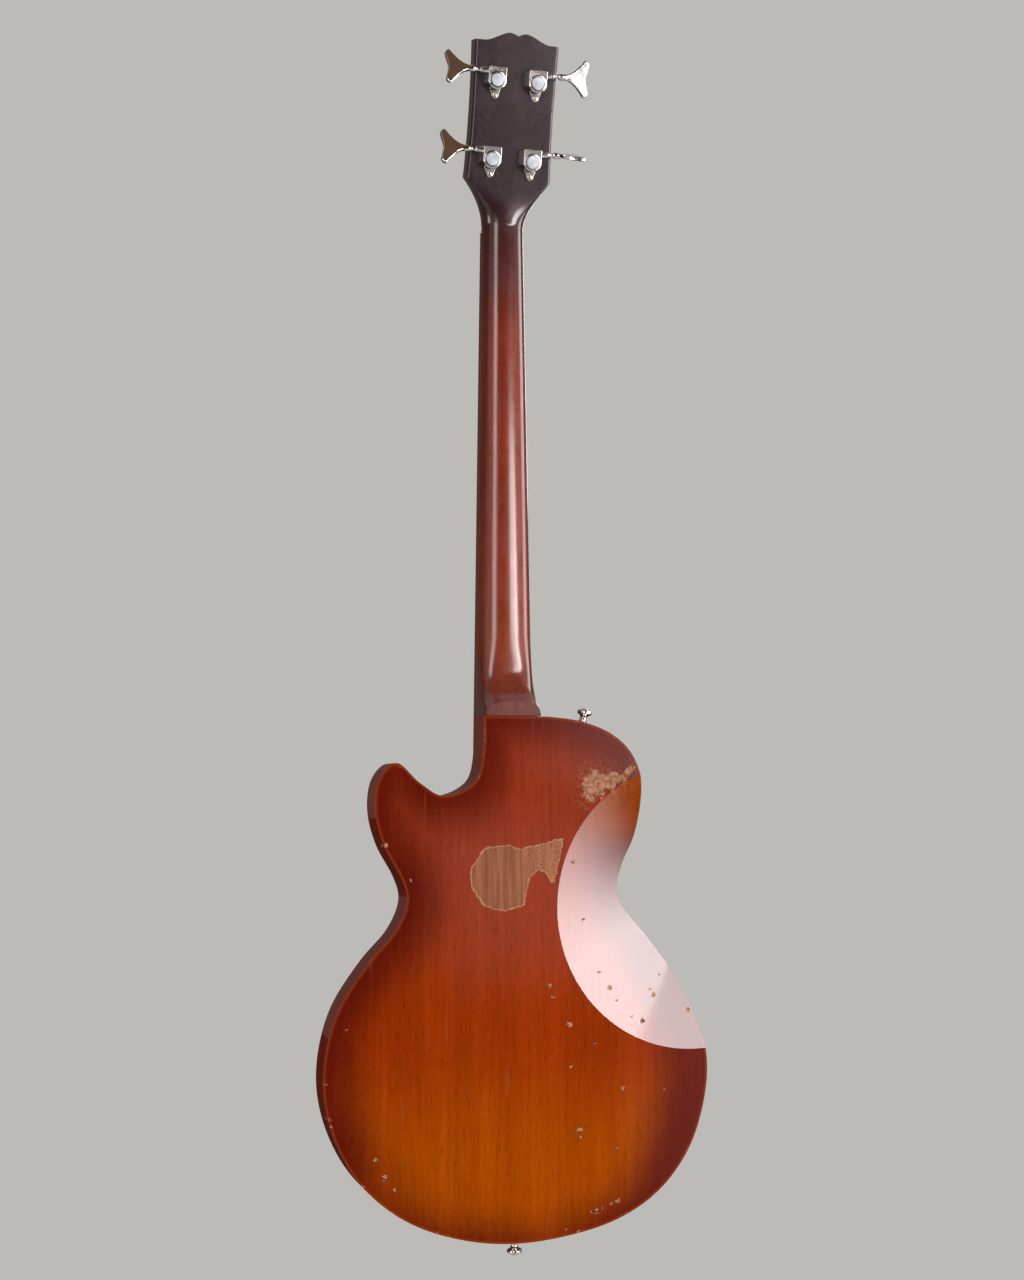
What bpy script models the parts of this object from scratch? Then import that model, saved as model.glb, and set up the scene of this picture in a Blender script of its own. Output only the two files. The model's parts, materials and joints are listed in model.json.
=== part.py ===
"""Electric bass guitar with a single-cutaway slab body, a set neck and geared tuners.

Lengths are in metres. The instrument hangs upright: +Z runs up the neck, +Y is the back and
+X the cutaway (treble) side. The origin is where a hanger holds the headstock's flare.
Three datums carry the pieces: the body (at the neck joint, on the back face), the neck
(tilted back from the body) and the headstock (tilted back from the neck).
"""

import math

import bmesh
import bpy
from mathutils import Matrix, Vector

# Clearances
GAP = 0.0003  # between pieces that rest on each other
RUNNING_GAP = 0.0003  # between a turning piece and its seat
SCREW_GAP = 0.0003  # round a screw's shank

# Scale and fingerboard
SCALE_LENGTH = 0.7747
JOINT_FRET = 15
FRET_COUNT = 20
STRING_COUNT = 4
NUT_WIDTH = 0.0390
NECK_TAPER = 0.0318  # width gained for each metre towards the body
NECK_PITCH = math.radians(1.8)
BOARD_THICKNESS = 0.0060
BOARD_RADIUS = 0.305
BOARD_SHARES = (-1.0, -0.38, 0.38, 1.0)  # where its top is measured across the width
BOARD_TAIL = 0.0060  # board beyond the last fret
NUT_THICKNESS = 0.0045
FRET_WIDTH = 0.0026
FRET_HEIGHT = 0.0010
FRET_SEAT = 0.0006
FRET_INSET = 0.0007

# Body
BODY_THICKNESS = 0.038
BODY_EDGE_RADIUS = 0.0026
OUTLINE_TURN = math.radians(10.0)
OUTLINE_STEP = 0.026
SCOOP_CENTRE = (-0.167, -0.173)
SCOOP_RADIUS = 0.129
SCOOP_SLOPE = math.radians(12.0)

# Neck wood
NECK_DEPTH_NUT = 0.0155
NECK_DEPTH_HEEL = 0.0195
NECK_ROUNDNESS = 2.25  # 2 is an ellipse, more is squarer
HEEL_ROUNDNESS_GAIN = 2.9
HEEL_SQUARING_START = 0.075
HEEL_SWEEP_START = 0.045
HEEL_SWEEP_RADIUS = 0.0374
HEEL_STEP = 0.0020  # heel cap below the body's back
TENON_WIDTH = 0.042
TENON_FLOOR = 0.0120  # wood left behind the tenon
TENON_LENGTH = 0.086

# Headstock
HEAD_TILT = math.radians(15.0)
HEAD_THICKNESS = 0.0140
HEAD_EDGE_RADIUS = 0.0026
HEAD_CORNER_HEIGHT = 0.0430
HEAD_CORNER_HALF = 0.0400
HEAD_WAIST_HALF = 0.0385
HEAD_TOP_HALF = 0.0398
HEAD_SIDE_TOP = 0.1643
CROWN_RISE = 0.0080
CROWN_DIP = 0.0024
CROWN_HUMP = 0.0070
CROWN_FOOT = 0.0310
VENEER_THICKNESS = 0.0015
HANG_HEIGHT = 0.0260

# Truss rod
ROD_RADIUS = 0.0028
ROD_DEPTH = 0.0070
ROD_TAIL = -0.0400
ROD_POCKET_HALF = 0.0060
ROD_NUT_RADIUS = 0.0044
ROD_NUT_LENGTH = 0.0080
COVER_THICKNESS = 0.0015
COVER_WIDTH = 0.0260
COVER_LENGTH = 0.0400
COVER_SCREW_RADIUS = 0.0008
COVER_SCREW_LENGTH = 0.0075
COVER_HEAD_RADIUS = 0.0019
COVER_FOOT = 0.0025  # above the nut

# Tuners
POST_SIDE = 0.0190
POST_LOWER = 0.0605
POST_UPPER = 0.1300
GEAR_TEETH = 20
GEAR_MODULE = 0.0006
WORM_RADIUS = 0.0019
WORM_TURNS = 2.5
KEY_AXIS_HEIGHT = 0.0046
GEAR_WIDTH = 0.0040
POST_RADIUS = 0.0046
POST_WAIST = 0.0041
POST_LENGTH_FRONT = 0.0190
CASE_RADIUS = 0.0085
CASE_TOP = 0.0115
CASE_HEIGHT = 0.0085
CASE_WALL = 0.0010
CAP_RADIUS = 0.0077
CAP_HEIGHT = 0.0010
TAB_DISTANCE = 0.0130
TAB_RADIUS = 0.0032
TAB_THICKNESS = 0.0014
SHAFT_RADIUS = 0.0019
SLEEVE_RADIUS = 0.0030
SLEEVE_LENGTH = 0.0050
KEY_REACH = 0.0485
BUTTON_START = 0.0225
BUTTON_HALF = 0.0163
BUTTON_THICKNESS = 0.0042
BUSHING_RADIUS = 0.0070
BUSHING_FLANGE = 0.0088
BUSHING_RISE = 0.0012
BUSHING_DEPTH = 0.0100
TAB_SCREW_LENGTH = 0.0095
KEY_REST_TURNS = (82.0, 2.0, 27.0, 25.0)

# Strings, from the thickest to the thinnest
STRING_DIAMETERS = (0.00267, 0.00216, 0.00165, 0.00114)
STRING_SPACING_NUT = 0.0100
STRING_SPACING_BRIDGE = 0.0190
STRING_LIFT_NUT = 0.0004
STRING_LIFT_BRIDGE = 0.0045
WINDING_TURNS = 2.25
WINDING_POINTS = 10
WINDING_AIR = 0.00045
BALL_RADIUS = 0.0030
BALL_LENGTH = 0.0036

# Bridge
BRIDGE_LIFT = 0.0070
BRIDGE_HALF_WIDTH = 0.0410
BRIDGE_FRONT = 0.0145
BRIDGE_BACK = 0.0255
BRIDGE_HEIGHT = 0.0110
BRIDGE_PLATE = 0.0045
TROUGH_HALF = 0.0115
TROUGH_FLOOR = 0.0032
SADDLE_WIDTH = 0.0140
SADDLE_LENGTH = 0.0070
SADDLE_OFFSETS = (-0.0040, -0.0025, -0.0010, 0.0010)
STUD_RADIUS = 0.0035
STUD_HEAD = 0.0056
STUD_FLANGE = 0.0070
STUD_DEPTH = 0.0180
EAR_RADIUS = 0.0075
EAR_SIDE = 0.0470
EAR_FRONT = 0.0020
EAR_REAR = 0.0330
INTONATION_RADIUS = 0.0015
STRING_SLOT = 0.0036
STUD_RISE = 0.0022
INTONATION_DROP = 0.0036  # from the trough's floor to the screws
SADDLE_SHOULDER = 0.0034

# Pickups
PICKUP_HALF_LENGTH = 0.0390
PICKUP_HALF_WIDTH = 0.0190
PICKUP_PLACES = (-0.1250, -0.2500)
PICKUP_NAMES = ("neck", "bridge")
PICKUP_WALL = 0.0009
PICKUP_HEIGHT = 0.0160
PICKUP_CLEARANCE = 0.0036
PICKUP_CORNER = 0.0050
RING_HALF_LENGTH = 0.0530
RING_HALF_WIDTH = 0.0260
RING_RISES = (0.0048, 0.0072)
PICKUP_CAVITY_DEPTH = 0.0190
POLE_RADIUS = 0.0023
POLE_RISE = 0.0005
POLE_LENGTH = 0.0085
PLATE_GAUGE = 0.0015
COIL_EAR = 0.0074
CAVITY_EAR = 0.0082
HEIGHT_SCREW_OFFSET = 0.0044
RING_SCREW_INSET = 0.0034
RING_SCREW_LENGTH = 0.0130
RING_HEAD_RADIUS = 0.0022

# Controls
CONTROL_PLATE_GAUGE = 0.0020
CONTROL_CORNER = 0.0120
CONTROL_CAVITY_DEPTH = 0.0290
CONTROL_RIM = 0.0085
KNOB_PLACES = ((0.084, -0.318), (0.124, -0.318), (0.084, -0.358), (0.124, -0.358))
KNOB_RADIUS = 0.0125
KNOB_TOP_RADIUS = 0.0105
KNOB_HEIGHT = 0.0145
POT_RADIUS = 0.0118
POT_HEIGHT = 0.0100
BUSH_RADIUS = 0.0046
POT_SHAFT_RADIUS = 0.0030
PANEL_NUT_RADIUS = 0.0072
PANEL_NUT_HEIGHT = 0.0022
SWITCH_PLACE = (0.098, -0.286)
SWITCH_NECK_RADIUS = 0.0056
SWITCH_BORE = 0.0040
SWITCH_NECK_RISE = 0.0060
JACK_PLACE = (0.102, -0.390)
JACK_BORE = 0.0033
LEAD_RADIUS = 0.0013
CHANNEL_RADIUS = 0.0038
CHANNEL_DEPTH = 0.0120
CONTROL_SCREW_LENGTH = 0.0110
SWITCH_HALF_WIDTH = 0.0075
SWITCH_HALF_LENGTH = 0.0120
SWITCH_DEPTH = 0.0190
JACK_BARREL_RADIUS = 0.0080
JACK_BARREL_DEPTH = 0.0014
SPRING_HALF_WIDTH = 0.0018

# Strap buttons
STRAP_RIM_RADIUS = 0.0066
STRAP_STEM_RADIUS = 0.0030
STRAP_HEIGHT = 0.0120
STRAP_SCREW_RADIUS = 0.0020
STRAP_SCREW_LENGTH = 0.0220
STRAP_BORE_DEPTH = 0.0250
STRAP_UPPER_X = -0.0700
STRAP_UPPER_TILT = math.radians(14.0)

# Fasteners
WOOD_SCREW_RADIUS = 0.0012
SMALL_HEAD_RADIUS = 0.0024
PILOT_DEPTH = 0.0100

# Places worked out from the sizes above
NUT_S = SCALE_LENGTH * (1 - 2 ** (-JOINT_FRET / 12))
BRIDGE_S = NUT_S - SCALE_LENGTH
HEAD_S = NUT_S + NUT_THICKNESS + GAP
BOARD_END = NUT_S - SCALE_LENGTH * (1 - 2 ** (-FRET_COUNT / 12)) - BOARD_TAIL
FRONT = -BODY_THICKNESS
GEAR_RADIUS = GEAR_TEETH * GEAR_MODULE / 2
AXLE_DISTANCE = GEAR_RADIUS + WORM_RADIUS
WORM_PITCH = math.pi * GEAR_MODULE
TOOTH_ABOVE = 0.9 * GEAR_MODULE
TOOTH_BELOW = 1.35 * GEAR_MODULE

# The body's outline, clockwise from the neck joint on the cutaway side to the other side.
# A smooth curve runs through the points, and a straight edge closes it under the heel.
BODY_OUTLINE = (
    (0.0280, 0.0), (0.0288, -0.0300), (0.0365, -0.0580), (0.0646, -0.0707),
    (0.0870, -0.0590), (0.1077, -0.0413), (0.1235, -0.0550), (0.1275, -0.0825),
    (0.1200, -0.1130), (0.1040, -0.1430), (0.0998, -0.1640), (0.1110, -0.1890),
    (0.1344, -0.2149), (0.1600, -0.2525), (0.1722, -0.2917), (0.1732, -0.3305),
    (0.1619, -0.3699), (0.1400, -0.4050), (0.1040, -0.4350), (0.0600, -0.4535),
    (0.0110, -0.4620), (-0.0400, -0.4595), (-0.0900, -0.4480), (-0.1300, -0.4255),
    (-0.1590, -0.3910), (-0.1745, -0.3500), (-0.1785, -0.3100), (-0.1690, -0.2700),
    (-0.1520, -0.2340), (-0.1300, -0.2025), (-0.1065, -0.1755), (-0.0985, -0.1570),
    (-0.1040, -0.1340), (-0.1150, -0.1090), (-0.1203, -0.0800), (-0.1190, -0.0530),
    (-0.1080, -0.0300), (-0.0880, -0.0140), (-0.0600, -0.0042), (-0.0270, 0.0),
)

# The control plate's outline before its corners are rounded
CONTROL_OUTLINE = (
    (0.060, -0.266), (0.130, -0.261), (0.151, -0.318),
    (0.145, -0.368), (0.120, -0.404), (0.082, -0.411), (0.056, -0.374),
)


# Materials

def material(name, colour, roughness, metallic=0.0):
    """A plain shader in the piece's colour."""
    made = bpy.data.materials.new(name)
    made.use_nodes = True
    shader = made.node_tree.nodes["Principled BSDF"]
    shader.inputs["Base Color"].default_value = (*colour, 1.0)
    shader.inputs["Roughness"].default_value = roughness
    shader.inputs["Metallic"].default_value = metallic
    return made


# Curves and outlines

def smooth_curve(points, steps):
    """Points along a smooth open curve through the given points (Catmull-Rom)."""
    places = [Vector(p) for p in points]
    places = [places[0] * 2 - places[1]] + places + [places[-1] * 2 - places[-2]]
    curve = []
    for before, start, end, after in zip(places, places[1:], places[2:], places[3:]):
        for step in range(steps):
            t = step / steps
            curve.append(0.5 * (
                2 * start + (end - before) * t
                + (2 * before - 5 * start + 4 * end - after) * t ** 2
                + (3 * start - before - 3 * end + after) * t ** 3
            ))
    curve.append(places[-2])
    return curve


def circle(radius, count, centre=(0.0, 0.0), phase=0.0):
    """Points round a circle."""
    turn = 2 * math.pi / count
    return [
        (centre[0] + radius * math.cos(phase + turn * i), centre[1] + radius * math.sin(phase + turn * i))
        for i in range(count)
    ]


def rounded(corners, radius, steps):
    """A closed polygon with each corner replaced by an arc that touches both its sides."""
    outline = []
    count = len(corners)
    for i in range(count):
        corner = Vector(corners[i])
        back = (Vector(corners[i - 1]) - corner).normalized()
        ahead = (Vector(corners[(i + 1) % count]) - corner).normalized()
        half = back.angle(ahead) / 2
        reach = radius / math.tan(half)
        centre = corner + (back + ahead).normalized() * radius / math.sin(half)
        start = corner + back * reach - centre
        end = corner + ahead * reach - centre
        sweep = start.angle_signed(end)
        for step in range(steps + 1):
            arm = start.copy()
            arm.rotate(Matrix.Rotation(-sweep * step / steps, 2))
            outline.append(tuple(centre + arm))
    return outline


def rounded_box(half_width, half_height, radius, steps, centre=(0.0, 0.0)):
    """A rectangle with rounded corners."""
    x, z = centre
    corners = [
        (x - half_width, z - half_height), (x + half_width, z - half_height),
        (x + half_width, z + half_height), (x - half_width, z + half_height),
    ]
    return rounded(corners, radius, steps)


# Solids built in bmesh. A plan is drawn in X and Z, and its thickness runs along Y.

def add_rings(bm, rings, close_start=True, close_end=True, wrap=False):
    """Joins rings of points, all of one count, into a skin, and closes its ends."""
    loops = [[bm.verts.new(p) for p in ring] for ring in rings]
    pairs = list(zip(loops, loops[1:]))
    if wrap:
        pairs.append((loops[-1], loops[0]))
    count = len(loops[0])
    for low, high in pairs:
        for i in range(count):
            j = (i + 1) % count
            bm.faces.new((low[i], low[j], high[j], high[i]))
    if close_start and not wrap:
        bm.faces.new(list(reversed(loops[0])))
    if close_end and not wrap:
        bm.faces.new(loops[-1])
    return loops


def add_plate(bm, plan, y_levels, insets=None, centre=(0.0, 0.0)):
    """A plate from an X-Z plan through several Y levels. An inset draws a level in towards the centre."""
    insets = insets or [0.0] * len(y_levels)
    rings = []
    for y, inset in zip(y_levels, insets):
        ring = []
        for x, z in plan:
            arm = Vector((x - centre[0], z - centre[1]))
            length = max(arm.length, 1e-9)
            arm *= (length - inset) / length
            ring.append((centre[0] + arm.x, y, centre[1] + arm.y))
        rings.append(ring)
    add_rings(bm, rings)


def add_lathe(bm, profile, segments, matrix=None, phase=0.0):
    """A turned solid about local Z. The profile is (radius, height) pairs; a zero radius closes an end."""
    matrix = matrix or Matrix.Identity(4)
    loops = []
    for radius, height in profile:
        if radius == 0:
            loops.append([bm.verts.new(matrix @ Vector((0, 0, height)))])
        else:
            ring = circle(radius, segments, phase=phase)
            loops.append([bm.verts.new(matrix @ Vector((x, y, height))) for x, y in ring])
    pairs = list(zip(loops, loops[1:]))
    if len(loops[0]) > 1:
        pairs.append((loops[-1], loops[0]))
    for low, high in pairs:
        for i in range(segments):
            j = (i + 1) % segments
            if len(low) == 1:
                bm.faces.new((low[0], high[j], high[i]))
            elif len(high) == 1:
                bm.faces.new((low[i], low[j], high[0]))
            else:
                bm.faces.new((low[i], low[j], high[j], high[i]))


def add_box(bm, low, high):
    """A box between two corners."""
    (x0, y0, z0), (x1, y1, z1) = low, high
    add_rings(bm, [
        [(x0, y, z0), (x1, y, z0), (x1, y, z1), (x0, y, z1)] for y in (y0, y1)
    ])


def add_tube(bm, points, radius, sides):
    """A round tube along the points, kept from twisting, with flat ends."""
    places = [Vector(p) for p in points]
    across = None
    rings = []
    for i, place in enumerate(places):
        ahead = places[min(i + 1, len(places) - 1)] - places[max(i - 1, 0)]
        ahead.normalize()
        if across is None:
            across = ahead.orthogonal().normalized()
        across = (across - ahead * across.dot(ahead)).normalized()
        beside = ahead.cross(across)
        rings.append([
            place + radius * (math.cos(a) * across + math.sin(a) * beside)
            for a in (2 * math.pi * k / sides for k in range(sides))
        ])
    add_rings(bm, rings)


TOWARDS = {
    "+X": Matrix.Rotation(math.pi / 2, 4, "Y"),
    "-X": Matrix.Rotation(-math.pi / 2, 4, "Y"),
    "+Y": Matrix.Rotation(-math.pi / 2, 4, "X"),
    "-Y": Matrix.Rotation(math.pi / 2, 4, "X"),
    "+Z": Matrix.Identity(4),
    "-Z": Matrix.Rotation(math.pi, 4, "X"),
}


def along(direction, place=(0.0, 0.0, 0.0)):
    """The matrix that puts a turned solid's foot at a place and points it along an axis."""
    return Matrix.Translation(place) @ TOWARDS[direction]


def add_screw(bm, matrix, shank, length, head, head_height, sides=6):
    """A screw with its head on the surface at the matrix's origin and its shank through the piece."""
    sunk = head_height * 0.5
    add_lathe(bm, [
        (0, -length), (shank * 0.8, -length * 0.85), (shank, -sunk), (head, -sunk),
        (head * 0.85, head_height), (0, head_height),
    ], sides, matrix)


# Scene objects

def clear_scene():
    for existing in list(bpy.data.objects):
        bpy.data.objects.remove(existing, do_unlink=True)


def datum(name, parent=None, location=(0.0, 0.0, 0.0), rotation=(0.0, 0.0, 0.0)):
    """An empty that carries pieces."""
    empty = bpy.data.objects.new(name, None)
    bpy.context.scene.collection.objects.link(empty)
    empty.parent = parent
    empty.location = location
    empty.rotation_euler = rotation
    return empty


def piece(name, bm, look, parent, location=(0.0, 0.0, 0.0), rotation=(0.0, 0.0, 0.0), mirrored=False):
    """Turns the bmesh into a named object on its datum, with its faces pointing out."""
    if mirrored:
        bmesh.ops.scale(bm, vec=(-1, 1, 1), verts=bm.verts)
    bmesh.ops.recalc_face_normals(bm, faces=bm.faces)
    mesh = bpy.data.meshes.new(name)
    bm.to_mesh(mesh)
    bm.free()
    made = bpy.data.objects.new(name, mesh)
    bpy.context.scene.collection.objects.link(made)
    made.parent = parent
    made.location = location
    made.rotation_euler = rotation
    if look:
        mesh.materials.append(look)
    shade(made)
    return made


def shade(made):
    """Smooth over the round stretches, sharp at the edges."""
    made.data.shade_smooth()
    made.data.set_sharp_from_angle(angle=math.radians(32))


def combine(target, others, operation):
    """Joins other solids to the target, or cuts them out of it, and removes them."""
    for i, other in enumerate(others):
        step = target.modifiers.new(f"{operation.lower()}_{i}", "BOOLEAN")
        step.operation = operation
        step.solver = "EXACT"
        step.object = other
    bpy.context.view_layer.update()
    graph = bpy.context.evaluated_depsgraph_get()
    mesh = bpy.data.meshes.new_from_object(target.evaluated_get(graph))
    target.modifiers.clear()
    old = target.data
    target.data = mesh
    mesh.name = target.name
    bpy.data.meshes.remove(old)
    for other in others:
        bpy.data.objects.remove(other, do_unlink=True)
    while len(target.data.materials) > 1:
        target.data.materials.pop()
    target.data.polygons.foreach_set("material_index", [0] * len(target.data.polygons))
    shade(target)
    return target


def cut(target, *cutters):
    return combine(target, cutters, "DIFFERENCE")


def fuse(target, *others):
    return combine(target, others, "UNION")


def tool(bm, parent, location=(0.0, 0.0, 0.0), rotation=(0.0, 0.0, 0.0)):
    """A cutter, or a shape to join, on the given datum."""
    made = piece("tool", bm, None, parent, location, rotation)
    made.hide_render = True
    made.display_type = "WIRE"
    return made


# Shared measures of the neck, strings and headstock

def neck_half_width(s):
    """Half the neck's width, s along the neck from the body joint."""
    return (NUT_WIDTH + NECK_TAPER * (NUT_S - s)) / 2


def fret_s(number):
    """Where a fret lies along the neck."""
    return NUT_S - SCALE_LENGTH * (1 - 2 ** (-number / 12))


def board_sag(x):
    """How far the fingerboard's rounded top lies below its centre line."""
    return BOARD_RADIUS - math.sqrt(BOARD_RADIUS ** 2 - x ** 2)


def string_x(index, s):
    """A string's place across the neck."""
    share = (NUT_S - s) / SCALE_LENGTH
    spacing = STRING_SPACING_NUT + (STRING_SPACING_BRIDGE - STRING_SPACING_NUT) * share
    return (index - (STRING_COUNT - 1) / 2) * spacing


def string_underside(s):
    """Height of the strings' undersides above the fingerboard's underside."""
    share = (NUT_S - s) / SCALE_LENGTH
    lift = STRING_LIFT_NUT + (STRING_LIFT_BRIDGE - STRING_LIFT_NUT) * share
    return BOARD_THICKNESS + FRET_HEIGHT + lift


def neck_to_body(x, height, s):
    """The body datum's coordinates of a neck point."""
    c, k = math.cos(NECK_PITCH), math.sin(NECK_PITCH)
    return Vector((x, FRONT - height * c + s * k, height * k + s * c))


def head_to_neck(x, y, z):
    """The neck datum's coordinates of a headstock point."""
    c, k = math.cos(HEAD_TILT), math.sin(HEAD_TILT)
    return Vector((x, y * c + z * k, HEAD_S - y * k + z * c))


def neck_to_head(x, y, z):
    """The headstock datum's coordinates of a neck point."""
    c, k = math.cos(HEAD_TILT), math.sin(HEAD_TILT)
    up = z - HEAD_S
    return Vector((x, y * c - up * k, y * k + up * c))


def head_half_width(z):
    """Half the headstock's width at a height above the nut."""
    neck = neck_half_width(NUT_S)
    if z <= 0:
        return neck
    if z < HEAD_CORNER_HEIGHT:
        share = z / HEAD_CORNER_HEIGHT
        return neck + (HEAD_CORNER_HALF - neck) * (0.10 * share + 0.90 * share ** 1.9)
    share = (z - HEAD_CORNER_HEIGHT) / (HEAD_SIDE_TOP - HEAD_CORNER_HEIGHT)
    straight = HEAD_CORNER_HALF + (HEAD_TOP_HALF - HEAD_CORNER_HALF) * share
    middle = (HEAD_CORNER_HALF + HEAD_TOP_HALF) / 2 - HEAD_WAIST_HALF
    return straight - 4 * middle * share * (1 - share)


def crown_height(x):
    """The headstock's top edge: two low humps with a dip between them."""
    side = abs(x)
    if side >= CROWN_FOOT:
        return HEAD_SIDE_TOP
    if side >= CROWN_HUMP:
        share = (CROWN_FOOT - side) / (CROWN_FOOT - CROWN_HUMP)
        return HEAD_SIDE_TOP + CROWN_RISE * share ** 2 * (3 - 2 * share)
    share = 1 - side / CROWN_HUMP
    return HEAD_SIDE_TOP + CROWN_RISE - CROWN_DIP * share ** 1.5


def crown_points():
    """The top edge from the treble side to the bass side."""
    xs = [HEAD_TOP_HALF, CROWN_FOOT, 0.0255, 0.0195, 0.0130, CROWN_HUMP, 0.0030]
    right = [(x, crown_height(x)) for x in xs]
    return right + [(0.0, crown_height(0.0))] + [(-x, z) for x, z in reversed(right)]


# Body

def body_plan():
    """The body's outline as a closed ring of points, closer together where it turns faster."""
    fine = smooth_curve(BODY_OUTLINE, 8)
    plan = [fine[0]]
    turned = 0.0
    for before, here, after in zip(fine, fine[1:], fine[2:]):
        turned += (here - before).angle(after - here)
        if turned > OUTLINE_TURN or (here - plan[-1]).length > OUTLINE_STEP:
            plan.append(here)
            turned = 0.0
    return [tuple(p) for p in plan + [fine[-1]]]


def make_body(base, look):
    bm = bmesh.new()
    add_plate(bm, body_plan(), (FRONT, 0.0))
    body = piece("body", bm, look, base)

    bm = bmesh.new()
    depth = SCOOP_RADIUS * math.tan(SCOOP_SLOPE)
    over = 0.1
    add_lathe(
        bm, [(0, -depth), (SCOOP_RADIUS * (1 + over), depth * over), (0, depth * over)],
        56, along("+Y", (SCOOP_CENTRE[0], 0.0, SCOOP_CENTRE[1])),
    )
    cut(body, tool(bm, base))
    round_body_edges(body)

    cut(body, *body_cutters(base))
    sharpen_ridge(body)
    return body


def round_body_edges(body):
    """Rounds the rim where the side wall meets the front, the back and the scoop."""
    bm = bmesh.new()
    bm.from_mesh(body.data)
    bmesh.ops.remove_doubles(bm, verts=bm.verts, dist=1e-6)
    bmesh.ops.dissolve_limit(bm, angle_limit=math.radians(0.5), verts=bm.verts, edges=bm.edges)
    for front, segments in ((False, 2), (True, 1)):
        rim = []
        for edge in bm.edges:
            walls = [abs(face.normal.y) < 0.5 for face in edge.link_faces]
            at_front = all(vert.co.y < FRONT / 2 for vert in edge.verts)
            under_heel = at_front and all(vert.co.z > -GAP for vert in edge.verts)
            if len(walls) == 2 and walls[0] != walls[1] and at_front == front and not under_heel:
                rim.append(edge)
        bmesh.ops.bevel(
            bm, geom=rim, offset=BODY_EDGE_RADIUS, offset_type="OFFSET", segments=segments,
            profile=0.5, affect="EDGES", clamp_overlap=True,
        )
    bm.to_mesh(body.data)
    bm.free()


def sharpen_ridge(body):
    """Keeps the scoop's ridge crisp, which is too slight an angle to be taken as an edge."""
    bm = bmesh.new()
    bm.from_mesh(body.data)
    for edge in bm.edges:
        flat = len(edge.link_faces) == 2 and all(face.normal.y > 0.9 for face in edge.link_faces)
        if flat and edge.calc_face_angle() > SCOOP_SLOPE * 0.7:
            edge.smooth = False
    bm.to_mesh(body.data)
    bm.free()


def body_cutters(base):
    """Everything routed or drilled in the body."""
    over = 0.02
    pocket = bmesh.new()
    side = TENON_WIDTH / 2 + GAP
    add_box(
        pocket, (-side, FRONT - over, -TENON_LENGTH - GAP), (side, -TENON_FLOOR + GAP, over)
    )
    bores = bmesh.new()
    for place in PICKUP_PLACES:
        plan = rounded_box(cavity_half_length(), PICKUP_HALF_WIDTH + 0.001, 0.006, 2, (0.0, place))
        add_plate(bores, plan, (FRONT - over, FRONT + PICKUP_CAVITY_DEPTH))
    cavity = rounded(shrunk(CONTROL_OUTLINE, CONTROL_RIM), CONTROL_CORNER - CONTROL_RIM / 2, 2)
    add_plate(bores, cavity, (FRONT - over, FRONT + CONTROL_CAVITY_DEPTH))
    for x, z in stud_places():
        reach = STUD_DEPTH + GAP
        add_plate(bores, circle(STUD_RADIUS + SCREW_GAP, 10, (x, z)), (FRONT - over, FRONT + reach))
    for x, z in ring_screw_places(0) + ring_screw_places(1) + plate_screw_places():
        plan = circle(WOOD_SCREW_RADIUS + SCREW_GAP, 6, (x, z))
        add_plate(bores, plan, (FRONT - over, FRONT + PILOT_DEPTH))
    for place, turn in strap_places():
        matrix = Matrix.Translation(place) @ turn
        bore = STRAP_SCREW_RADIUS + SCREW_GAP
        add_lathe(
            bores, [(0, -STRAP_BORE_DEPTH), (bore, 0.0010 - STRAP_BORE_DEPTH), (bore, 0.01), (0, 0.01)],
            6, matrix,
        )
    channels = bmesh.new()
    for start, end in channel_runs():
        add_tube(channels, (start, end), CHANNEL_RADIUS, 8)
    return tool(pocket, base), tool(bores, base), tool(channels, base)


def shrunk(corners, amount):
    """The polygon with its sides moved in."""
    centre = sum((Vector(c) for c in corners), Vector((0.0, 0.0))) / len(corners)
    moved = []
    for corner in corners:
        arm = Vector(corner) - centre
        moved.append(tuple(centre + arm * (arm.length - amount) / arm.length))
    return moved


def cavity_half_length():
    """The pickup cavities leave room for the baseplate's ears."""
    return PICKUP_HALF_LENGTH + CAVITY_EAR


def height_screw_x():
    return PICKUP_HALF_LENGTH + HEIGHT_SCREW_OFFSET


def ring_screw_places(number):
    across = RING_HALF_LENGTH - RING_SCREW_INSET
    up = RING_HALF_WIDTH - RING_SCREW_INSET
    return [(x * across, PICKUP_PLACES[number] + z * up) for x in (-1, 1) for z in (-1, 1)]


def plate_screw_places():
    """A screw just inside five of the control plate's corners."""
    corners = shrunk(CONTROL_OUTLINE, CONTROL_RIM * 0.62)
    return [corners[i] for i in (0, 1, 3, 5, 6)]


def bridge_z():
    """The bridge's place on the body, from the scale."""
    return neck_to_body(0.0, string_underside(BRIDGE_S), BRIDGE_S).z


def stud_places():
    z = bridge_z()
    return [(-EAR_SIDE, z + EAR_FRONT), (EAR_SIDE, z + EAR_FRONT), (0.0, z - EAR_REAR)]


def strap_places():
    """Each strap button's foot on the body's edge, and the way it points."""
    middle = FRONT / 2
    plan = body_plan()
    upper = edge_height(plan, STRAP_UPPER_X, True) + GAP
    lower = edge_height(plan, 0.0, False) - GAP
    tilt = Matrix.Rotation(-STRAP_UPPER_TILT, 4, "Y")
    return [
        (Vector((STRAP_UPPER_X, middle, upper + 0.0006)), tilt),
        (Vector((0.0, middle, lower - 0.0002)), Matrix.Rotation(math.pi, 4, "X")),
    ]


def edge_height(plan, x, highest):
    """Where a line at x crosses the outline, at the top or at the bottom."""
    found = []
    for (x0, z0), (x1, z1) in zip(plan, plan[1:] + plan[:1]):
        if (x0 - x) * (x1 - x) <= 0 and x0 != x1:
            found.append(z0 + (z1 - z0) * (x - x0) / (x1 - x0))
    return max(found) if highest else min(found)


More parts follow.
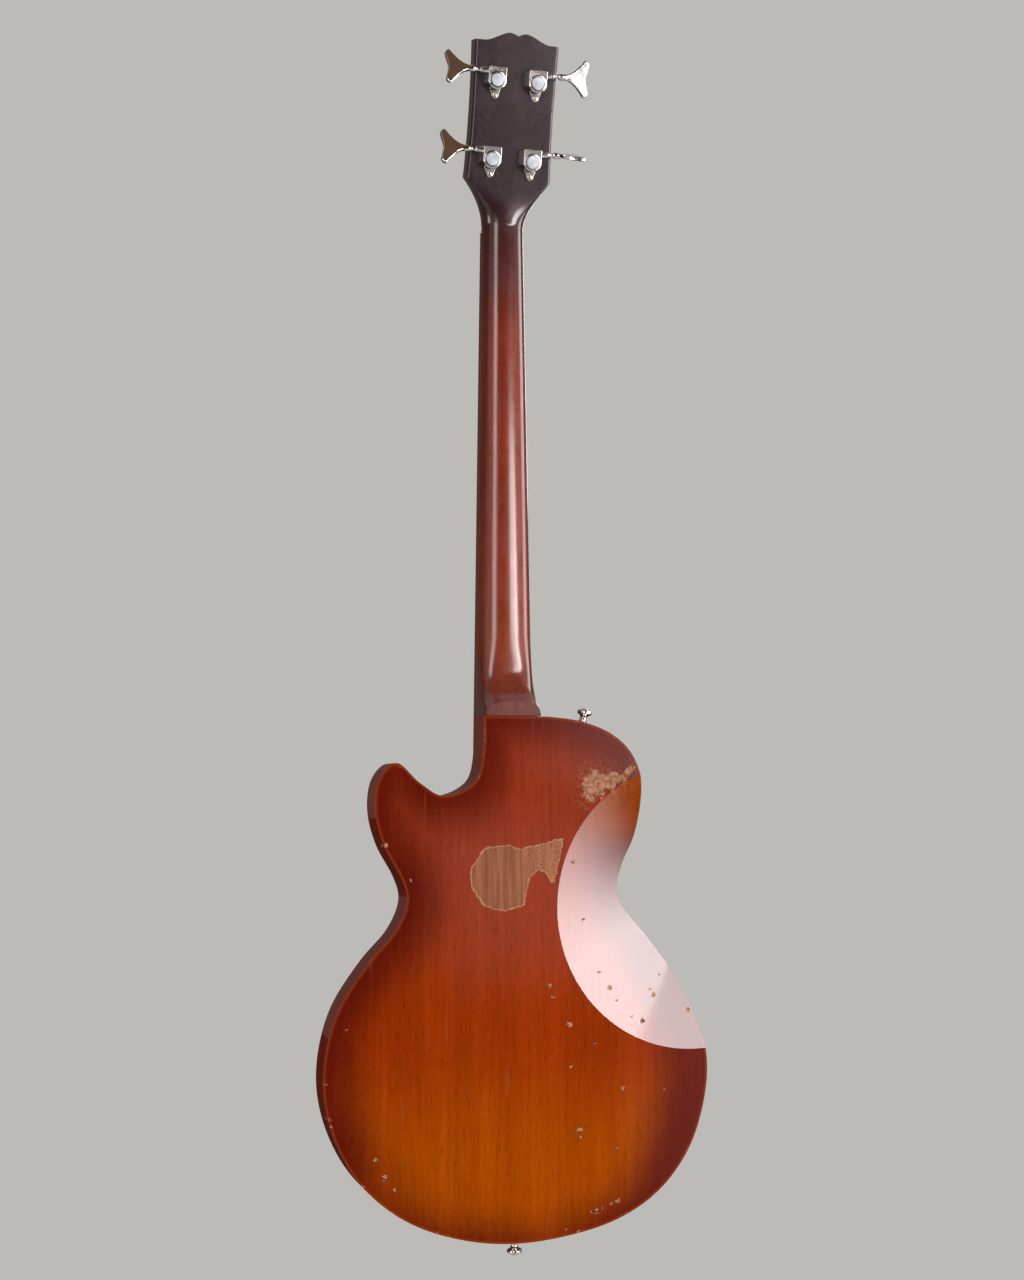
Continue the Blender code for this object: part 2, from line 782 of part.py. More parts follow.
def channel_runs():
    """The two lead channels: neck pickup to bridge pickup, then on to the controls."""
    depth = FRONT + CHANNEL_DEPTH
    neck, bridge = PICKUP_PLACES
    return [
        ((0.022, depth, neck - 0.010), (0.022, depth, bridge + 0.010)),
        ((0.040, depth, bridge - 0.008), (0.080, depth, bridge - 0.052)),
    ]


# Neck

def neck_section(half, depth, power):
    """Half-round points behind the fingerboard's plane: (across, behind), treble side to bass side."""
    points = []
    count = 12
    for i in range(count + 1):
        angle = math.pi * i / count
        across = math.copysign(abs(math.cos(angle)) ** (2 / power), math.cos(angle))
        behind = abs(math.sin(angle)) ** (2 / power)
        if i in (0, count):
            behind = 0.0
        points.append((half * across, depth * behind))
    return points


def heel_depth(s):
    """Depth of the wood behind the fingerboard's plane, deepening into the heel."""
    share = (NUT_S - s) / NUT_S
    depth = NECK_DEPTH_NUT + (NECK_DEPTH_HEEL - NECK_DEPTH_NUT) * share
    run = HEEL_SWEEP_START - s
    if run <= 0:
        return depth
    steep = HEEL_SWEEP_RADIUS * 0.83
    if run <= steep:
        return depth + HEEL_SWEEP_RADIUS - math.sqrt(HEEL_SWEEP_RADIUS ** 2 - run ** 2)
    slope = steep / math.sqrt(HEEL_SWEEP_RADIUS ** 2 - steep ** 2)
    reach = HEEL_SWEEP_RADIUS - math.sqrt(HEEL_SWEEP_RADIUS ** 2 - steep ** 2)
    return depth + reach + slope * (run - steep)


def heel_power(s):
    """The section grows squarer towards the heel."""
    if s > HEEL_SQUARING_START:
        return NECK_ROUNDNESS
    share = (HEEL_SQUARING_START - max(s, 0.0)) / HEEL_SQUARING_START
    return NECK_ROUNDNESS + HEEL_ROUNDNESS_GAIN * share ** 1.6


def neck_rings():
    """Cross-sections from inside the body up to the headstock's top, in the neck's frame."""
    rings = []
    places = (
        -0.012, 0.0, 0.007, 0.014, 0.021, 0.029, 0.037, 0.046, 0.060, 0.078,
        0.150, 0.300, NUT_S - 0.020, NUT_S - 0.008,
    )
    for s in places:
        half = neck_half_width(s)
        rings.append([Vector((x, y, s)) for x, y in neck_section(half, heel_depth(s), heel_power(s))])
    blend = 0.040
    heights = (
        0.0, 0.006, 0.013, 0.020, 0.027, 0.034, HEAD_CORNER_HEIGHT, 0.0500, 0.0850,
        0.1250, HEAD_SIDE_TOP + CROWN_RISE + 0.004,
    )
    for z in heights:
        share = min(1.0, z / blend)
        ease = share * share * (3 - 2 * share)
        half = head_half_width(min(z, HEAD_SIDE_TOP))
        depth = NECK_DEPTH_NUT + (HEAD_THICKNESS - NECK_DEPTH_NUT) * ease
        round_back = neck_section(half, depth, NECK_ROUNDNESS)
        flat_back = flat_section(half, depth)
        lean = HEAD_TILT * (1 - min(1.0, (z + 0.012) / 0.040))
        ring = []
        for (xa, ya), (xb, yb) in zip(round_back, flat_back):
            x = xa + (xb - xa) * ease
            y = ya + (yb - ya) * ease
            ring.append(head_to_neck(x, y * math.cos(lean), z + y * math.sin(lean)))
        rings.append(ring)
    return rings


def flat_section(half, depth):
    """The headstock's section: flat back, sides square to it, small round back edges."""
    r = HEAD_EDGE_RADIUS
    corner = [
        (half - r + r * math.cos(a), depth - r + r * math.sin(a))
        for a in (0.0, math.pi / 4, math.pi / 2)
    ]
    side = [(half, 0.0), (half, depth * 0.45)] + corner
    flat = [(half - r) * f for f in (0.50, 0.0)]
    right = side + [(x, depth) for x in flat]
    return right + [(-x, y) for x, y in reversed(right[:-1])]


def make_neck(base, neck_datum, head_datum, look):
    bm = bmesh.new()
    add_rings(bm, neck_rings())
    neck = piece("neck", bm, look, neck_datum)
    heel = bmesh.new()
    add_box(heel, (-0.05, -HEEL_STEP, -0.05), (0.05, 0.05, 0.10))
    foot = bmesh.new()
    add_box(foot, (-0.05, -0.08, -0.06), (0.05, 0.06, GAP))
    cut(neck, tool(heel, base), tool(foot, base))

    tenon = bmesh.new()
    add_tenon(tenon, Matrix.Rotation(NECK_PITCH, 3, "X"))
    fuse(neck, tool(tenon, neck_datum))

    crown = bmesh.new()
    top = HEAD_SIDE_TOP + CROWN_RISE + 0.02
    plan = crown_points()
    plan = [(0.05, HEAD_SIDE_TOP)] + plan + [(-0.05, HEAD_SIDE_TOP), (-0.05, top), (0.05, top)]
    add_plate(crown, plan, (-0.01, HEAD_THICKNESS + 0.01))
    cut(neck, tool(crown, head_datum), *neck_cutters(neck_datum, head_datum))
    return neck


def add_tenon(bm, tilt):
    """The block that sits in the body: its back follows the mortise's floor, its front the neck's."""
    side = TENON_WIDTH / 2
    inside = 0.008
    deep_low = tilt @ Vector((0, -FRONT - TENON_FLOOR, -TENON_LENGTH))
    deep_high = tilt @ Vector((0, -FRONT - TENON_FLOOR, inside))
    profile = [(deep_low.y, deep_low.z), (deep_high.y, deep_high.z), (0.0, inside), (0.0, deep_low.z)]
    add_rings(bm, [[(x, y, z) for y, z in profile] for x in (-side, side)])


def neck_cutters(neck_datum, head_datum):
    """Rod channel, rod pocket and post holes."""
    channel = bmesh.new()
    side = ROD_RADIUS + GAP
    add_box(
        channel, (-side, -0.01, ROD_TAIL - GAP),
        (side, ROD_DEPTH + ROD_RADIUS + GAP, HEAD_S + 0.006),
    )
    pocket = bmesh.new()
    add_box(
        pocket, (-ROD_POCKET_HALF, -0.02, HEAD_S + 0.0035),
        (ROD_POCKET_HALF, ROD_DEPTH + 0.0052, HEAD_S + 0.0300),
    )
    posts = bmesh.new()
    for x, z in post_places():
        add_plate(posts, circle(BUSHING_RADIUS + 2 * GAP, 10, (x, z)), (-0.01, HEAD_THICKNESS + 0.01))
        plan = circle(WOOD_SCREW_RADIUS + SCREW_GAP, 6, (x, z - TAB_DISTANCE))
        add_plate(posts, plan, (HEAD_THICKNESS - 0.009, HEAD_THICKNESS + 0.01))
    for x, z in cover_screw_places():
        plan = circle(COVER_SCREW_RADIUS + SCREW_GAP, 6, (x, z))
        add_plate(posts, plan, (-0.01, 0.006))
    return tool(channel, neck_datum), tool(pocket, neck_datum), tool(posts, head_datum)


def post_places():
    """Post axes on the headstock in string order: bass side low, bass high, treble high, treble low."""
    return [
        (-POST_SIDE, POST_LOWER), (-POST_SIDE, POST_UPPER),
        (POST_SIDE, POST_UPPER), (POST_SIDE, POST_LOWER),
    ]


def cover_screw_places():
    """Two screws at the foot of the cover and one at its tip."""
    side = COVER_WIDTH / 2 - 0.0040
    return [(-side, 0.0060), (side, 0.0060), (0.0, 0.0390)]


def make_veneer(head_datum, look):
    heights = (0.0004, 0.012, 0.022, 0.030, 0.037, HEAD_CORNER_HEIGHT, 0.080, 0.120)
    inset = 0.0001
    right = [(head_half_width(z) - inset, z) for z in heights]
    top = [(x * (1 - inset / HEAD_TOP_HALF), z - inset) for x, z in crown_points()]
    plan = right + top + [(-x, z) for x, z in reversed(right)]
    bm = bmesh.new()
    add_plate(bm, plan, (-GAP - VENEER_THICKNESS, -GAP))
    veneer = piece("headstock_veneer", bm, look, head_datum)
    cutter = bmesh.new()
    for x, z in post_places():
        add_plate(cutter, circle(BUSHING_RADIUS + 2 * GAP, 10, (x, z)), (-0.01, 0.01))
    for x, z in cover_screw_places():
        add_plate(cutter, circle(COVER_SCREW_RADIUS + SCREW_GAP, 6, (x, z)), (-0.01, 0.01))
    side, low, high = ROD_POCKET_HALF, 0.0085, 0.0305
    add_plate(cutter, [(-side, low), (side, low), (side, high), (-side, high)], (-0.01, 0.01))
    return cut(veneer, tool(cutter, head_datum))


# Fingerboard, frets, markers and nut

def make_fingerboard(neck_datum, look):
    """The rounded board with its frets pressed in."""
    bm = bmesh.new()
    rings = []
    for s in (BOARD_END, NUT_S - GAP):
        half = neck_half_width(s)
        top = [(half * f, -(BOARD_THICKNESS - board_sag(half * f)), s) for f in BOARD_SHARES]
        rings.append([(-half, -GAP, s)] + top + [(half, -GAP, s)])
    add_rings(bm, rings)
    board = piece("fingerboard", bm, look, neck_datum)
    frets = bmesh.new()
    profile = ((-0.5, -FRET_SEAT), (-0.28, FRET_HEIGHT), (0.28, FRET_HEIGHT), (0.5, -FRET_SEAT))
    for number in range(1, FRET_COUNT + 1):
        s = fret_s(number)
        half = neck_half_width(s)
        rings = []
        for share in BOARD_SHARES:
            draw = FRET_INSET if abs(share) == 1 else 0.0
            surface = BOARD_THICKNESS - board_sag(half * share)
            rings.append([
                (share * half - math.copysign(draw, share), -(surface + high), s + FRET_WIDTH * wide)
                for wide, high in profile
            ])
        add_rings(frets, rings)
    return fuse(board, tool(frets, neck_datum))


def make_nut(neck_datum, look):
    """A bone bar with one open slot for each string."""
    half = neck_half_width(NUT_S)
    crest = string_underside(NUT_S) + 0.0006
    outline = [(-half, GAP), (-half, crest - 0.0010)]
    for index, diameter in enumerate(STRING_DIAMETERS):
        x = string_x(index, NUT_S)
        side = diameter / 2 + GAP
        foot = string_underside(NUT_S) - GAP
        top = foot + diameter * 0.55 + 0.0004
        outline += [(x - side, top), (x - side * 0.9, foot + side * 0.35), (x - side * 0.45, foot)]
        outline += [(x + side * 0.45, foot), (x + side * 0.9, foot + side * 0.35), (x + side, top)]
    outline += [(half, crest - 0.0010), (half, GAP)]
    bm = bmesh.new()
    rings = [[(x, -height, s) for x, height in outline] for s in (NUT_S, NUT_S + NUT_THICKNESS)]
    add_rings(bm, rings)
    return piece("nut", bm, look, neck_datum)


# Truss rod

def make_truss_rod(neck_datum, steel, brass):
    bm = bmesh.new()
    add_tube(bm, ((0, ROD_DEPTH, ROD_TAIL), (0, ROD_DEPTH, HEAD_S + 0.0170)), ROD_RADIUS, 8)
    piece("truss_rod", bm, steel, neck_datum)
    bm = bmesh.new()
    inner = ROD_RADIUS + GAP
    place = along("+Z", (0, ROD_DEPTH, HEAD_S + 0.0060))
    length = ROD_NUT_LENGTH
    add_lathe(
        bm, [(inner, 0.0), (ROD_NUT_RADIUS, 0.0), (ROD_NUT_RADIUS, length), (inner, length)], 12, place
    )
    piece("truss_rod_nut", bm, brass, neck_datum)


def make_truss_cover(head_datum, look):
    """The bell-shaped cover over the rod's pocket, with its three screws."""
    half = COVER_WIDTH / 2
    top = COVER_FOOT + COVER_LENGTH
    sides = [
        (half, COVER_FOOT), (half, COVER_FOOT + 0.006), (half * 0.72, 0.020), (half * 0.50, 0.029),
        (half * 0.34, top - 0.004), (half * 0.16, top),
    ]
    plan = sides + [(-x, z) for x, z in reversed(sides)]
    near = -GAP - VENEER_THICKNESS - GAP
    bm = bmesh.new()
    add_plate(bm, plan, (near - COVER_THICKNESS, near))
    cover = piece("truss_rod_cover", bm, look, head_datum)
    screws = bmesh.new()
    for x, z in cover_screw_places():
        place = along("-Y", (x, near - COVER_THICKNESS, z))
        add_screw(screws, place, COVER_SCREW_RADIUS, COVER_SCREW_LENGTH, COVER_HEAD_RADIUS, 0.0008)
    return fuse(cover, tool(screws, head_datum))


# Tuners. Each tuner's frame: +X runs out to the button, +Y out of the headstock's back.

def tuner_side(index):
    return 1 if post_places()[index][0] > 0 else -1


def tuner_datums(head_datum):
    frames = []
    for index, (x, z) in enumerate(post_places()):
        frames.append(datum(f"tuner_datum_{index + 1}", head_datum, (x, HEAD_THICKNESS, z)))
    return frames


def case_plan(inset):
    """The housing seen from behind: square shoulders above, round below."""
    radius = CASE_RADIUS - inset
    top = CASE_TOP - inset
    chamfer = 0.0010
    plan = [
        (radius, top - chamfer), (radius - chamfer, top),
        (chamfer - radius, top), (-radius, top - chamfer),
    ]
    for i in range(9):
        angle = math.pi + math.pi * i / 8
        plan.append((radius * math.cos(angle), radius * math.sin(angle)))
    return plan


def tab_plan():
    """The screw tab: it starts inside the housing's round wall and narrows to a round tip."""
    seat = CASE_RADIUS - CASE_WALL / 2
    plan = []
    for degrees in (-135, -112, -90, -68, -45):
        angle = math.radians(degrees)
        plan.append((seat * math.cos(angle), seat * math.sin(angle)))
    for degrees in (-15, -50, -90, -130, -165):
        angle = math.radians(degrees)
        plan.append((TAB_RADIUS * math.cos(angle), -TAB_DISTANCE + TAB_RADIUS * math.sin(angle)))
    return plan


def make_housing(index, frame, look):
    mirrored = tuner_side(index) < 0
    bm = bmesh.new()
    outer = case_plan(0.0)
    brim = case_plan(0.0004)
    inner = case_plan(CASE_WALL)
    foot = 2 * GAP
    rings = [
        [(x, foot, z) for x, z in outer],
        [(x, CASE_HEIGHT - 0.0005, z) for x, z in outer],
        [(x, CASE_HEIGHT, z) for x, z in brim],
    ]
    loops = add_rings(bm, rings, close_start=False)
    inside = add_rings(
        bm, [[(x, foot, z) for x, z in inner], [(x, CASE_HEIGHT - CASE_WALL, z) for x, z in inner]],
        close_start=False,
    )
    for i in range(len(outer)):
        j = (i + 1) % len(outer)
        bm.faces.new((loops[0][i], inside[0][i], inside[0][j], loops[0][j]))
    name = f"tuner_housing_{index + 1}"
    housing = piece(name, bm, look, frame, mirrored=mirrored)

    cap = bmesh.new()
    add_lathe(cap, [
        (0, -CASE_WALL / 2), (CAP_RADIUS, -CASE_WALL / 2), (CAP_RADIUS, CAP_HEIGHT * 0.4),
        (CAP_RADIUS - 0.0007, CAP_HEIGHT), (0, CAP_HEIGHT),
    ], 15, along("+Y", (0, CASE_HEIGHT, 0)), math.radians(4))
    tab = bmesh.new()
    add_plate(tab, tab_plan(), (GAP, GAP + TAB_THICKNESS))
    sleeve = bmesh.new()
    start = CASE_RADIUS - CASE_WALL * 0.5
    place = along("+X", (start, KEY_AXIS_HEIGHT, AXLE_DISTANCE))
    length = SLEEVE_LENGTH + CASE_WALL * 0.5
    add_lathe(sleeve, [(0, 0), (SLEEVE_RADIUS, 0), (SLEEVE_RADIUS, length), (0, length)], 10, place)
    screw = bmesh.new()
    place = along("+Y", (0, GAP + TAB_THICKNESS, -TAB_DISTANCE))
    add_screw(screw, place, WOOD_SCREW_RADIUS, TAB_SCREW_LENGTH, SMALL_HEAD_RADIUS, 0.0010)
    joined = [tool(shape, frame) for shape in (cap, tab, sleeve, screw)]
    for extra in joined:
        if mirrored:
            mirror_mesh(extra)
    fuse(housing, *joined)

    hole = bmesh.new()
    place = along("+X", (CASE_RADIUS - 2 * CASE_WALL, KEY_AXIS_HEIGHT, AXLE_DISTANCE))
    bore = SHAFT_RADIUS + RUNNING_GAP
    add_lathe(hole, [(0, 0), (bore, 0), (bore, 0.02), (0, 0.02)], 10, place)
    opening = tool(hole, frame)
    if mirrored:
        mirror_mesh(opening)
    return cut(housing, opening)


def mirror_mesh(made):
    """Swaps a shape's left and right about its datum and keeps its faces pointing out."""
    bm = bmesh.new()
    bm.from_mesh(made.data)
    bmesh.ops.scale(bm, vec=(-1, 1, 1), verts=bm.verts)
    bmesh.ops.recalc_face_normals(bm, faces=bm.faces)
    bm.to_mesh(made.data)
    bm.free()


def add_worm(bm):
    """A right-handed screw thread about X, in mesh with the wheel below it at rest."""
    steps = 8
    crest = 0.16 * WORM_PITCH / 1.885
    flank = 0.42 * WORM_PITCH / 1.885
    low = WORM_RADIUS - TOOTH_BELOW
    high = WORM_RADIUS + TOOTH_ABOVE
    thread = ((-flank, low), (-crest, high), (crest, high), (flank, low))
    last = int(steps * WORM_TURNS)
    rows = []
    for k in range(last + steps + 1):
        turns = k / steps - (WORM_TURNS + 1) / 2
        angle = 2 * math.pi * turns - math.pi / 2
        row = []
        for offset, radius in thread:
            x = WORM_PITCH * turns + offset
            row.append(bm.verts.new((x, radius * math.cos(angle), radius * math.sin(angle))))
        rows.append(row)
    for k in range(last + steps):
        for j in range(3):
            bm.faces.new((rows[k][j], rows[k + 1][j], rows[k + 1][j + 1], rows[k][j + 1]))
    for k in range(last):
        bm.faces.new((rows[k][3], rows[k + 1][3], rows[k + 1 + steps][0], rows[k + steps][0]))
    start = rows[0][:] + [rows[k][0] for k in range(steps, 0, -1)]
    end = [rows[k + last][3] for k in range(0, steps + 1)] + [rows[last + steps][j] for j in (2, 1, 0)]
    for rim in (start, end):
        middle = sum((v.co.x for v in rim), 0.0) / len(rim)
        hub = bm.verts.new((middle, 0, 0))
        for a, b in zip(rim, rim[1:] + rim[:1]):
            bm.faces.new((hub, a, b))


def button_plan():
    """The fishtail button: a narrow root, concave shoulders, round lobes and a hollow end."""
    root = BUTTON_START
    length = KEY_REACH - BUTTON_START
    upper = [
        (root, 0.0024), (root + length * 0.24, 0.0031), (root + length * 0.46, 0.0064),
        (root + length * 0.68, 0.0120),
    ]
    lobe = 0.0040
    centre = (KEY_REACH - lobe - 0.0004, BUTTON_HALF - lobe)
    upper += [
        (centre[0] + lobe * math.cos(a), centre[1] + lobe * math.sin(a))
        for a in (math.radians(d) for d in (95, 35, -30))
    ]
    upper += [(KEY_REACH - 0.0022, 0.0045), (KEY_REACH - 0.0030, 0.0)]
    return upper + [(x, -z) for x, z in reversed(upper[:-1])]


def make_key(index, frame, look):
    """Shaft, worm and button in one piece, turned to its photographed angle."""
    mirrored = tuner_side(index) < 0
    turn = math.radians(KEY_REST_TURNS[index])
    rotation = (turn, 0, 0)
    location = (0, KEY_AXIS_HEIGHT, AXLE_DISTANCE)
    inner = -(CASE_RADIUS - CASE_WALL - RUNNING_GAP)
    worm_end = WORM_PITCH * (WORM_TURNS + 1) / 2
    core = (WORM_RADIUS - TOOTH_BELOW) * 0.85
    bm = bmesh.new()
    sleeve_end = CASE_RADIUS + SLEEVE_LENGTH
    add_lathe(bm, [
        (0, inner), (core, inner), (core, worm_end + 0.0003), (SHAFT_RADIUS, worm_end + 0.0006),
        (SHAFT_RADIUS, sleeve_end + GAP), (SLEEVE_RADIUS, sleeve_end + GAP),
        (SLEEVE_RADIUS, sleeve_end + 0.0018), (SHAFT_RADIUS, sleeve_end + 0.0022),
        (SHAFT_RADIUS, BUTTON_START - 0.0032), (SLEEVE_RADIUS, BUTTON_START - 0.0014),
        (0, BUTTON_START + 0.0110),
    ], 8, along("+X"), math.radians(11))
    key = piece(f"tuner_key_{index + 1}", bm, look, frame, location, rotation)
    worm = bmesh.new()
    add_worm(worm)
    button = bmesh.new()
    half = BUTTON_THICKNESS / 2
    soft = 0.0009
    centre = (BUTTON_START + 0.012, 0.0)
    add_plate(
        button, button_plan(), (-half, -half + soft, half - soft, half), (soft, 0, 0, soft), centre
    )
    fuse(key, tool(worm, frame, location, rotation), tool(button, frame, location, rotation))
    if mirrored:
        mirror_mesh(key)
        key.rotation_euler = (turn, 0, 0)
    return key


def post_rest_turn(index):
    """The wheel's turn that keeps it in mesh with the key's rest angle."""
    turn = -math.radians(KEY_REST_TURNS[index]) / GEAR_TEETH
    return turn if tuner_side(index) > 0 else -turn


def make_bushing(index, head_datum, look):
    """A flanged sleeve pressed into the front of the post's hole."""
    x, z = post_places()[index]
    face = -(GAP + VENEER_THICKNESS + GAP)
    inner = POST_RADIUS + 2 * RUNNING_GAP
    bm = bmesh.new()
    add_lathe(bm, [
        (inner, face - BUSHING_RISE), (BUSHING_FLANGE - 0.0006, face - BUSHING_RISE),
        (BUSHING_FLANGE, face), (BUSHING_RADIUS, face), (BUSHING_RADIUS, BUSHING_DEPTH),
        (inner, BUSHING_DEPTH),
    ], 10, along("+Y", (x, 0, z)))
    return piece(f"tuner_bushing_{index + 1}", bm, look, head_datum)


def make_post(index, frame, look):
    """The string post and its worm wheel, on one axis through the headstock."""
    mirrored = tuner_side(index) < 0
    lead = math.atan(WORM_PITCH / (2 * math.pi * WORM_RADIUS))
    twist = GEAR_WIDTH * math.tan(lead) / GEAR_RADIUS
    low = GEAR_RADIUS - TOOTH_BELOW
    high = GEAR_RADIUS + TOOTH_ABOVE
    pitch = 2 * math.pi / GEAR_TEETH
    rings = []
    for side in (-0.5, 0.5):
        ring = []
        for tooth in range(GEAR_TEETH):
            middle = (tooth + 0.5) * pitch + twist * side
            for offset, radius in ((-0.235, low), (-0.105, high), (0.105, high), (0.235, low)):
                angle = middle + offset * pitch
                y = KEY_AXIS_HEIGHT + side * GEAR_WIDTH
                ring.append((radius * math.sin(angle), y, radius * math.cos(angle)))
        rings.append(ring)
    bm = bmesh.new()
    add_rings(bm, rings)
    rotation = (0, post_rest_turn(index), 0)
    post = piece(f"tuner_post_{index + 1}", bm, look, frame, rotation=rotation)
    shaft = bmesh.new()
    veneer = HEAD_THICKNESS + GAP + VENEER_THICKNESS
    tip = veneer + POST_LENGTH_FRONT
    seat = KEY_AXIS_HEIGHT - GEAR_WIDTH / 2
    add_lathe(shaft, [
        (0, -seat - 0.0006), (POST_RADIUS, -seat - 0.0006), (POST_RADIUS, veneer + 0.0026),
        (POST_WAIST, veneer + 0.0034), (POST_WAIST, tip - 0.0040), (POST_RADIUS + 0.0004, tip - 0.0030),
        (POST_RADIUS - 0.0006, tip), (0, tip),
    ], 9, along("-Y"))
    fuse(post, tool(shaft, frame, rotation=rotation))
    if mirrored:
        mirror_mesh(post)
    return post


# Strings

def string_path(index):
    """A string from its ball at the bridge, over saddle and nut, to its turns on the post."""
    radius = STRING_DIAMETERS[index] / 2
    z = bridge_z()
    x = string_x(index, BRIDGE_S)
    anchor_y = FRONT - BRIDGE_LIFT - BRIDGE_HEIGHT + 0.0015
    back = z - BRIDGE_BACK
    anchor = Vector((x, anchor_y, back - BALL_RADIUS / 2))
    rear_s = BRIDGE_S - TROUGH_HALF + 0.0025
    bend = neck_to_body(string_x(index, rear_s), string_underside(rear_s) + radius, rear_s)
    slot = Vector((x, anchor_y, back + 0.0060))
    nut_end = NUT_S + NUT_THICKNESS + 0.0006
    nut_in = neck_to_body(string_x(index, NUT_S), string_underside(NUT_S) + radius, NUT_S)
    nut_out = neck_to_body(string_x(index, NUT_S), string_underside(NUT_S) + radius, nut_end)
    lead_in = bend + (nut_in - bend) * 0.012
    points = [anchor, slot, bend, lead_in, nut_in, nut_out]
    return points, radius


def winding_points(index, start, radius):
    """The turns on the post, from the tangent point, in the headstock's frame."""
    px, pz = post_places()[index]
    centre_radius = POST_WAIST + GAP + radius
    inward = 1 if px < 0 else -1
    dx, dz = start.x - px, start.z - pz
    reach = math.hypot(dx, dz)
    toward = math.atan2(dz, dx)
    tangent = toward + inward * math.acos(centre_radius / reach)
    step_y = 2 * radius + WINDING_AIR
    veneer = -(GAP + VENEER_THICKNESS)
    lowest = veneer - 0.0040 - radius
    count = int(WINDING_TURNS * WINDING_POINTS)
    turns = []
    for k in range(count + 1):
        angle = tangent + inward * 2 * math.pi * k / WINDING_POINTS
        y = lowest - step_y * k / WINDING_POINTS
        across = centre_radius * math.cos(angle)
        up = centre_radius * math.sin(angle)
        turns.append(Vector((px + across, y, pz + up)))
    return turns


def least_gap(points, radius, skip):
    """The least air between stretches of one tube that aren't neighbours."""
    least = 1.0
    for i, a in enumerate(points):
        for b in points[i + skip:]:
            least = min(least, (a - b).length - 2 * radius)
    return least


def make_string(index, base, look):
    points, radius = string_path(index)
    pitch = Matrix.Rotation(-NECK_PITCH, 4, "X")
    to_body = Matrix.Translation((0, FRONT, 0)) @ pitch
    start = neck_to_head(*(to_body.inverted() @ points[-1]))
    turns = winding_points(index, start, radius)
    air = least_gap(turns, radius, WINDING_POINTS - 3)
    print(f"string {index + 1}: least gap between turns {air * 1000:.2f} mm")
    points += [to_body @ head_to_neck(*p) for p in turns]
    bm = bmesh.new()
    add_tube(bm, points, radius, 6)
    string = piece(f"string_{index + 1}", bm, look, base)
    ball = bmesh.new()
    place = along("+X", points[0] - Vector((BALL_LENGTH / 2, 0, BALL_RADIUS / 2 + GAP)))
    add_lathe(ball, [(0, 0), (BALL_RADIUS, 0), (BALL_RADIUS, BALL_LENGTH), (0, BALL_LENGTH)], 8, place)
    return fuse(string, tool(ball, base))


# Bridge

def bridge_levels():
    """Y of the bridge's underside, trough floor and top."""
    under = FRONT - BRIDGE_LIFT
    return under, under - TROUGH_FLOOR, under - BRIDGE_HEIGHT


def make_bridge(base, look):
    under, floor, top = bridge_levels()
    z = bridge_z()
    bm = bmesh.new()
    plan = rounded_box(
        BRIDGE_HALF_WIDTH, (BRIDGE_FRONT + BRIDGE_BACK) / 2, 0.004, 2,
        (0.0, z + (BRIDGE_FRONT - BRIDGE_BACK) / 2),
    )
    add_plate(bm, plan, (top, top + 0.0008, under), (0.0008, 0, 0), (0.0, z))
    bridge = piece("bridge_base", bm, look, base)
    ears = []
    for x, ear_z in stud_places():
        ear = bmesh.new()
        inner_x = x * 0.78
        inner_z = z - BRIDGE_BACK + 0.004 if x == 0 else ear_z
        ear_plan = capsule((x, ear_z), (inner_x, inner_z), EAR_RADIUS)
        add_plate(ear, ear_plan, (under - BRIDGE_PLATE, under - 0.0002))
        ears.append(tool(ear, base))
    studs = bmesh.new()
    for x, ear_z in stud_places():
        add_stud(studs, (x, FRONT, ear_z))
    fuse(bridge, *ears, tool(studs, base))
    cutter = bmesh.new()
    side = (STRING_COUNT - 1) / 2 * STRING_SPACING_BRIDGE + SADDLE_WIDTH / 2 + GAP + 0.0005
    add_box(cutter, (-side, top - 0.01, z - TROUGH_HALF), (side, floor, z + TROUGH_HALF))
    holes = bmesh.new()
    for index in range(STRING_COUNT):
        x = string_x(index, BRIDGE_S)
        place = along("+Z", (x, intonation_y(), z - TROUGH_HALF - 0.0033))
        bore = INTONATION_RADIUS + SCREW_GAP
        add_lathe(holes, [(0, 0), (bore, 0), (bore, 0.05), (0, 0.05)], 6, place)
    slots = bmesh.new()
    for index in range(STRING_COUNT):
        x = string_x(index, BRIDGE_S)
        half = STRING_SLOT / 2
        foot = top + 0.0015 + STRING_DIAMETERS[0] / 2 + GAP
        low = (x - half, top - 0.01, z - BRIDGE_BACK - 0.01)
        add_box(slots, low, (x + half, foot, z - TROUGH_HALF + 0.001))
    return cut(bridge, *(tool(shape, base) for shape in (cutter, holes, slots)))


def add_stud(bm, place):
    """A stud that screws into the body, with a flange under the bridge's ear and a head over it."""
    lift = BRIDGE_LIFT
    plate = lift + BRIDGE_PLATE
    sunk = 0.0004
    add_lathe(bm, [
        (0, -STUD_DEPTH), (STUD_RADIUS, -STUD_DEPTH), (STUD_RADIUS, lift - STUD_RISE),
        (STUD_FLANGE, lift - STUD_RISE), (STUD_FLANGE, lift + sunk), (STUD_RADIUS, lift + sunk),
        (STUD_RADIUS, plate - sunk), (STUD_HEAD, plate - sunk), (STUD_HEAD - 0.0008, plate + STUD_RISE),
        (0, plate + STUD_RISE),
    ], 8, along("-Y", place))


def capsule(first, second, radius):
    """A plan with two round ends."""
    a, b = Vector(first), Vector(second)
    ahead = math.atan2(a.y - b.y, a.x - b.x)
    plan = []
    for centre, middle in ((a, ahead), (b, ahead + math.pi)):
        for i in range(6):
            angle = middle - math.pi / 2 + math.pi * i / 5
            plan.append((centre.x + radius * math.cos(angle), centre.y + radius * math.sin(angle)))
    return plan


def intonation_y():
    """The intonation screws run through the lower half of the saddles."""
    return bridge_levels()[1] - INTONATION_DROP


def saddle_z(index):
    return bridge_z() + SADDLE_OFFSETS[index]


